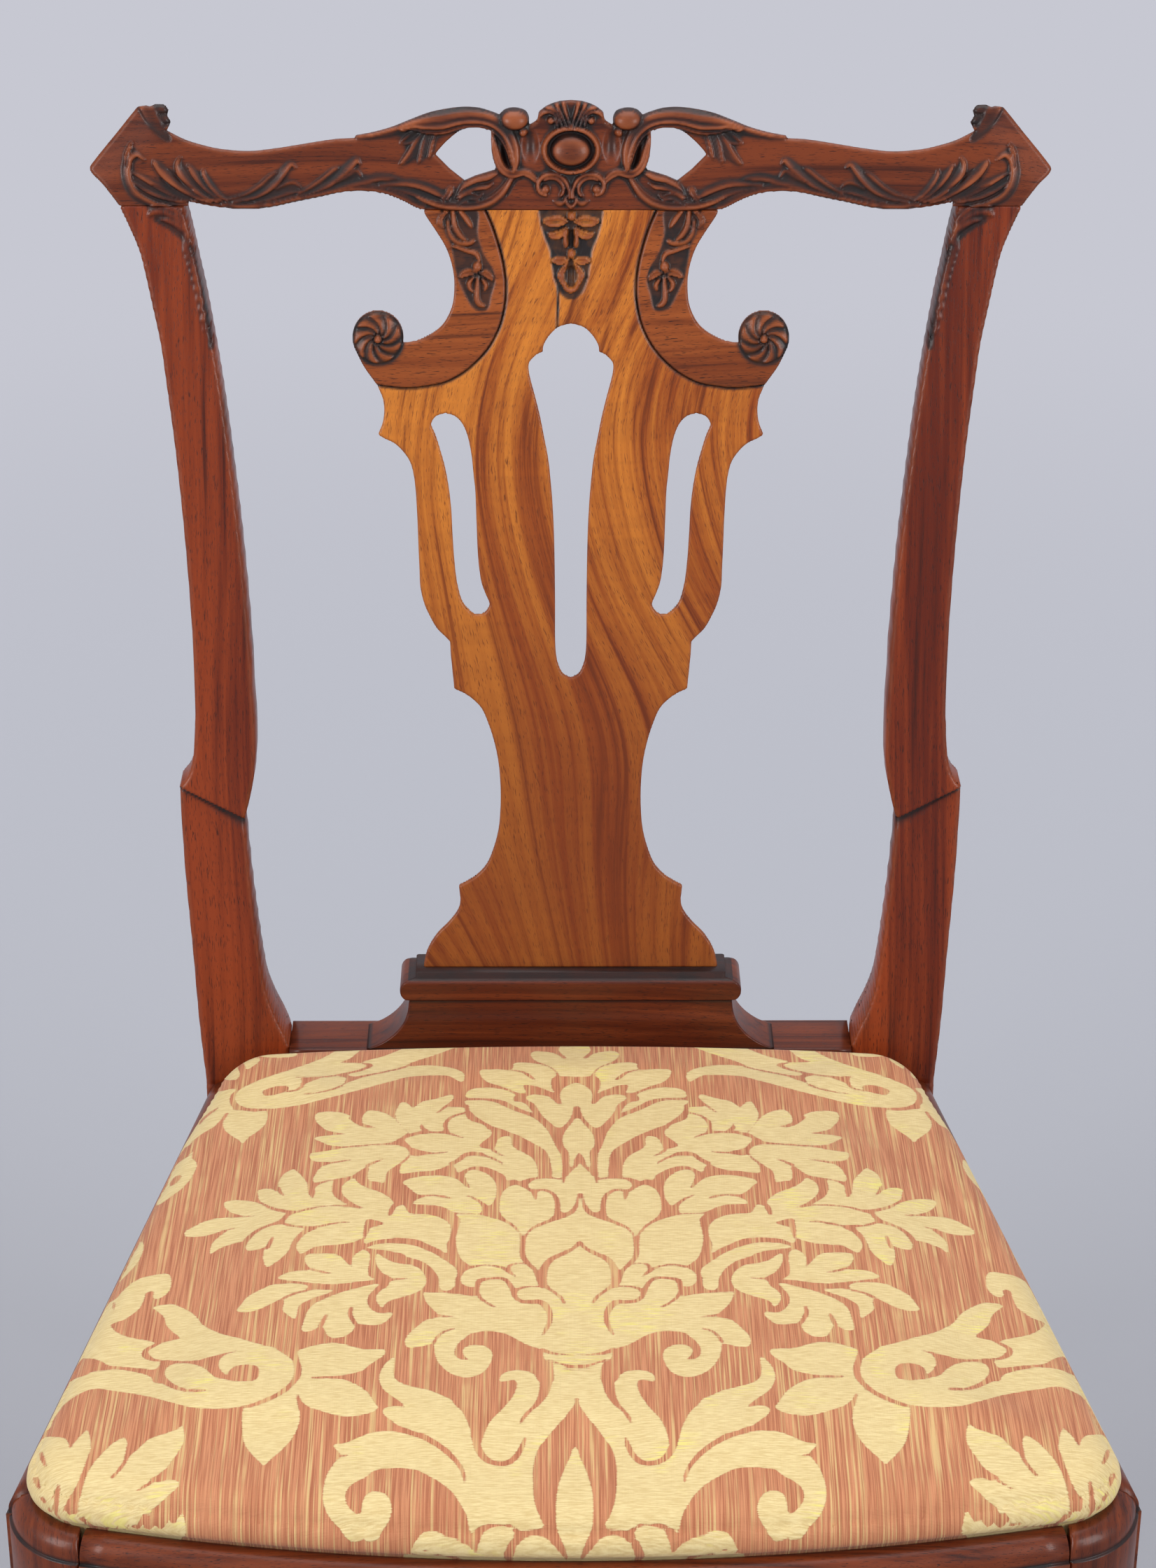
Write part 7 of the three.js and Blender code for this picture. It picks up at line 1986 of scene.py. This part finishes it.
def seen_and_mirrored(tree):
    """1 for camera, glossy and transmission rays, and 0 for the rays that light the chair."""
    path = tree.nodes.new("ShaderNodeLightPath")
    seen = path.outputs["Is Camera Ray"]
    for kind in ("Is Glossy Ray", "Is Transmission Ray"):
        either = tree.nodes.new("ShaderNodeMath")
        either.operation = "MAXIMUM"
        tree.links.new(seen, either.inputs[0])
        tree.links.new(path.outputs[kind], either.inputs[1])
        seen = either.outputs[0]
    return seen


def stage():
    """A pale floor that bends up into a wall behind."""
    n = Nodes("floor_paper")
    split = n.add("ShaderNodeSeparateXYZ")
    n.link(n.coordinates, split.inputs[0])
    # Painted light falloff: the paper is darker at the front and paler behind
    tone = n.span(split.outputs["Y"], -0.6, 2.2)
    n.link(n.mix(tone, rgb(172, 172, 178), rgb(206, 208, 217)), n.shader.inputs["Base Color"])
    n.constant(Roughness=0.9, Specular_IOR_Level=0.1)
    away = n.math("SQRT", n.math("ADD", n.math("POWER", split.outputs["X"], 2.0),
                                 n.math("POWER", split.outputs["Y"], 2.0)))
    # Far from the chair the paper is as pale as the photograph's, whatever light reaches it
    glow = n.add("ShaderNodeEmission")
    glow.inputs["Color"].default_value = PAPER
    blend = n.add("ShaderNodeMixShader")
    far = n.span(away, PAPER_NEAR, PAPER_FAR)
    n.link(n.math("MULTIPLY", seen_and_mirrored(n.tree), far), blend.inputs[0])
    n.link(n.shader.outputs[0], blend.inputs[1])
    n.link(glow.outputs[0], blend.inputs[2])
    n.link(blend.outputs[0], n.tree.nodes["Material Output"].inputs["Surface"])
    mesh = bpy.data.meshes.new("floor")
    middle = FLOOR_REAR - FLOOR_BEND
    profile = [(FLOOR_FRONT, 0.0), (middle, 0.0)]
    for turn in np.linspace(0.1, math.pi / 2, 12):
        profile.append((middle + FLOOR_BEND * math.sin(turn), FLOOR_BEND * (1 - math.cos(turn))))
    profile.append((FLOOR_REAR, WALL_TOP))
    points = [(x, y, z) for x in (-FLOOR_HALF, FLOOR_HALF) for y, z in profile]
    count = len(profile)
    faces = [(i, i + count, i + count + 1, i + 1) for i in range(count - 1)]
    mesh.from_pydata(points, [], faces)
    mesh.shade_smooth()
    mesh.materials.append(n.material)
    floor = bpy.data.objects.new("floor", mesh)
    bpy.context.scene.collection.objects.link(floor)


def lamp(name, place, size, power):
    """A soft rectangular lamp, in metres and watts, turned to the chair."""
    light = bpy.data.lights.new(name, "AREA")
    light.shape = "RECTANGLE"
    light.size, light.size_y = size
    light.energy = power
    thing = bpy.data.objects.new(name, light)
    thing.location = place
    thing.rotation_euler = (LAMP_AIM - Vector(place)).to_track_quat("-Z", "Y").to_euler()
    bpy.context.scene.collection.objects.link(thing)


def studio():
    """Soft lamps, and a world that lights the chair softly and is seen and mirrored as paper."""
    lamp("softbox_left", (-2.3, -1.7, 1.9), (1.2, 1.6), 51)
    lamp("softbox_right", (2.3, -1.7, 1.9), (1.2, 1.6), 46)
    lamp("overhead", (0.0, 0.6, 3.4), (3.0, 2.4), 50)
    world = bpy.data.worlds.new("studio")
    bpy.context.scene.world = world
    world.use_nodes = True
    background = world.node_tree.nodes["Background"]
    background.inputs["Color"].default_value = (0.86, 0.89, 0.95, 1)
    background.inputs["Strength"].default_value = 0.35
    nodes = world.node_tree.nodes
    links = world.node_tree.links
    paper = nodes.new("ShaderNodeBackground")
    paper.inputs["Color"].default_value = PAPER
    blend = nodes.new("ShaderNodeMixShader")
    links.new(seen_and_mirrored(world.node_tree), blend.inputs[0])
    links.new(background.outputs[0], blend.inputs[1])
    links.new(paper.outputs[0], blend.inputs[2])
    links.new(blend.outputs[0], nodes["World Output"].inputs["Surface"])


# The camera's turn and focal length were solved from the photograph
PITCH = math.radians(26.466)
YAW = math.radians(0.479)
ROLL = math.radians(0.169)
FOCAL_PIXELS = 5001.45
PHOTO_HEIGHT = 2240
FILM = 36.0


def make_camera():
    """The photograph's own camera."""
    camera = bpy.data.cameras.new("camera")
    camera.sensor_fit = "VERTICAL"
    camera.sensor_height = FILM
    camera.lens = FOCAL_PIXELS / PHOTO_HEIGHT * FILM
    camera.clip_end = 100
    level = math.cos(PITCH)
    ahead = Vector((math.sin(YAW) * level, math.cos(YAW) * level, -math.sin(PITCH)))
    right = Vector((math.cos(YAW), -math.sin(YAW), 0))
    up = right.cross(ahead)
    right_rolled = math.cos(ROLL) * right + math.sin(ROLL) * up
    up_rolled = -math.sin(ROLL) * right + math.cos(ROLL) * up
    thing = bpy.data.objects.new("camera", camera)
    turn = Matrix((right_rolled, up_rolled, -ahead)).transposed().to_4x4()
    x, y, z = CAMERA_AT
    thing.matrix_world = Matrix.Translation(Vector((x, y + Y0, z)) * MM) @ turn
    bpy.context.scene.collection.objects.link(thing)
    bpy.context.scene.camera = thing


stage()
studio()
make_camera()
bpy.context.scene.view_settings.view_transform = "Standard"
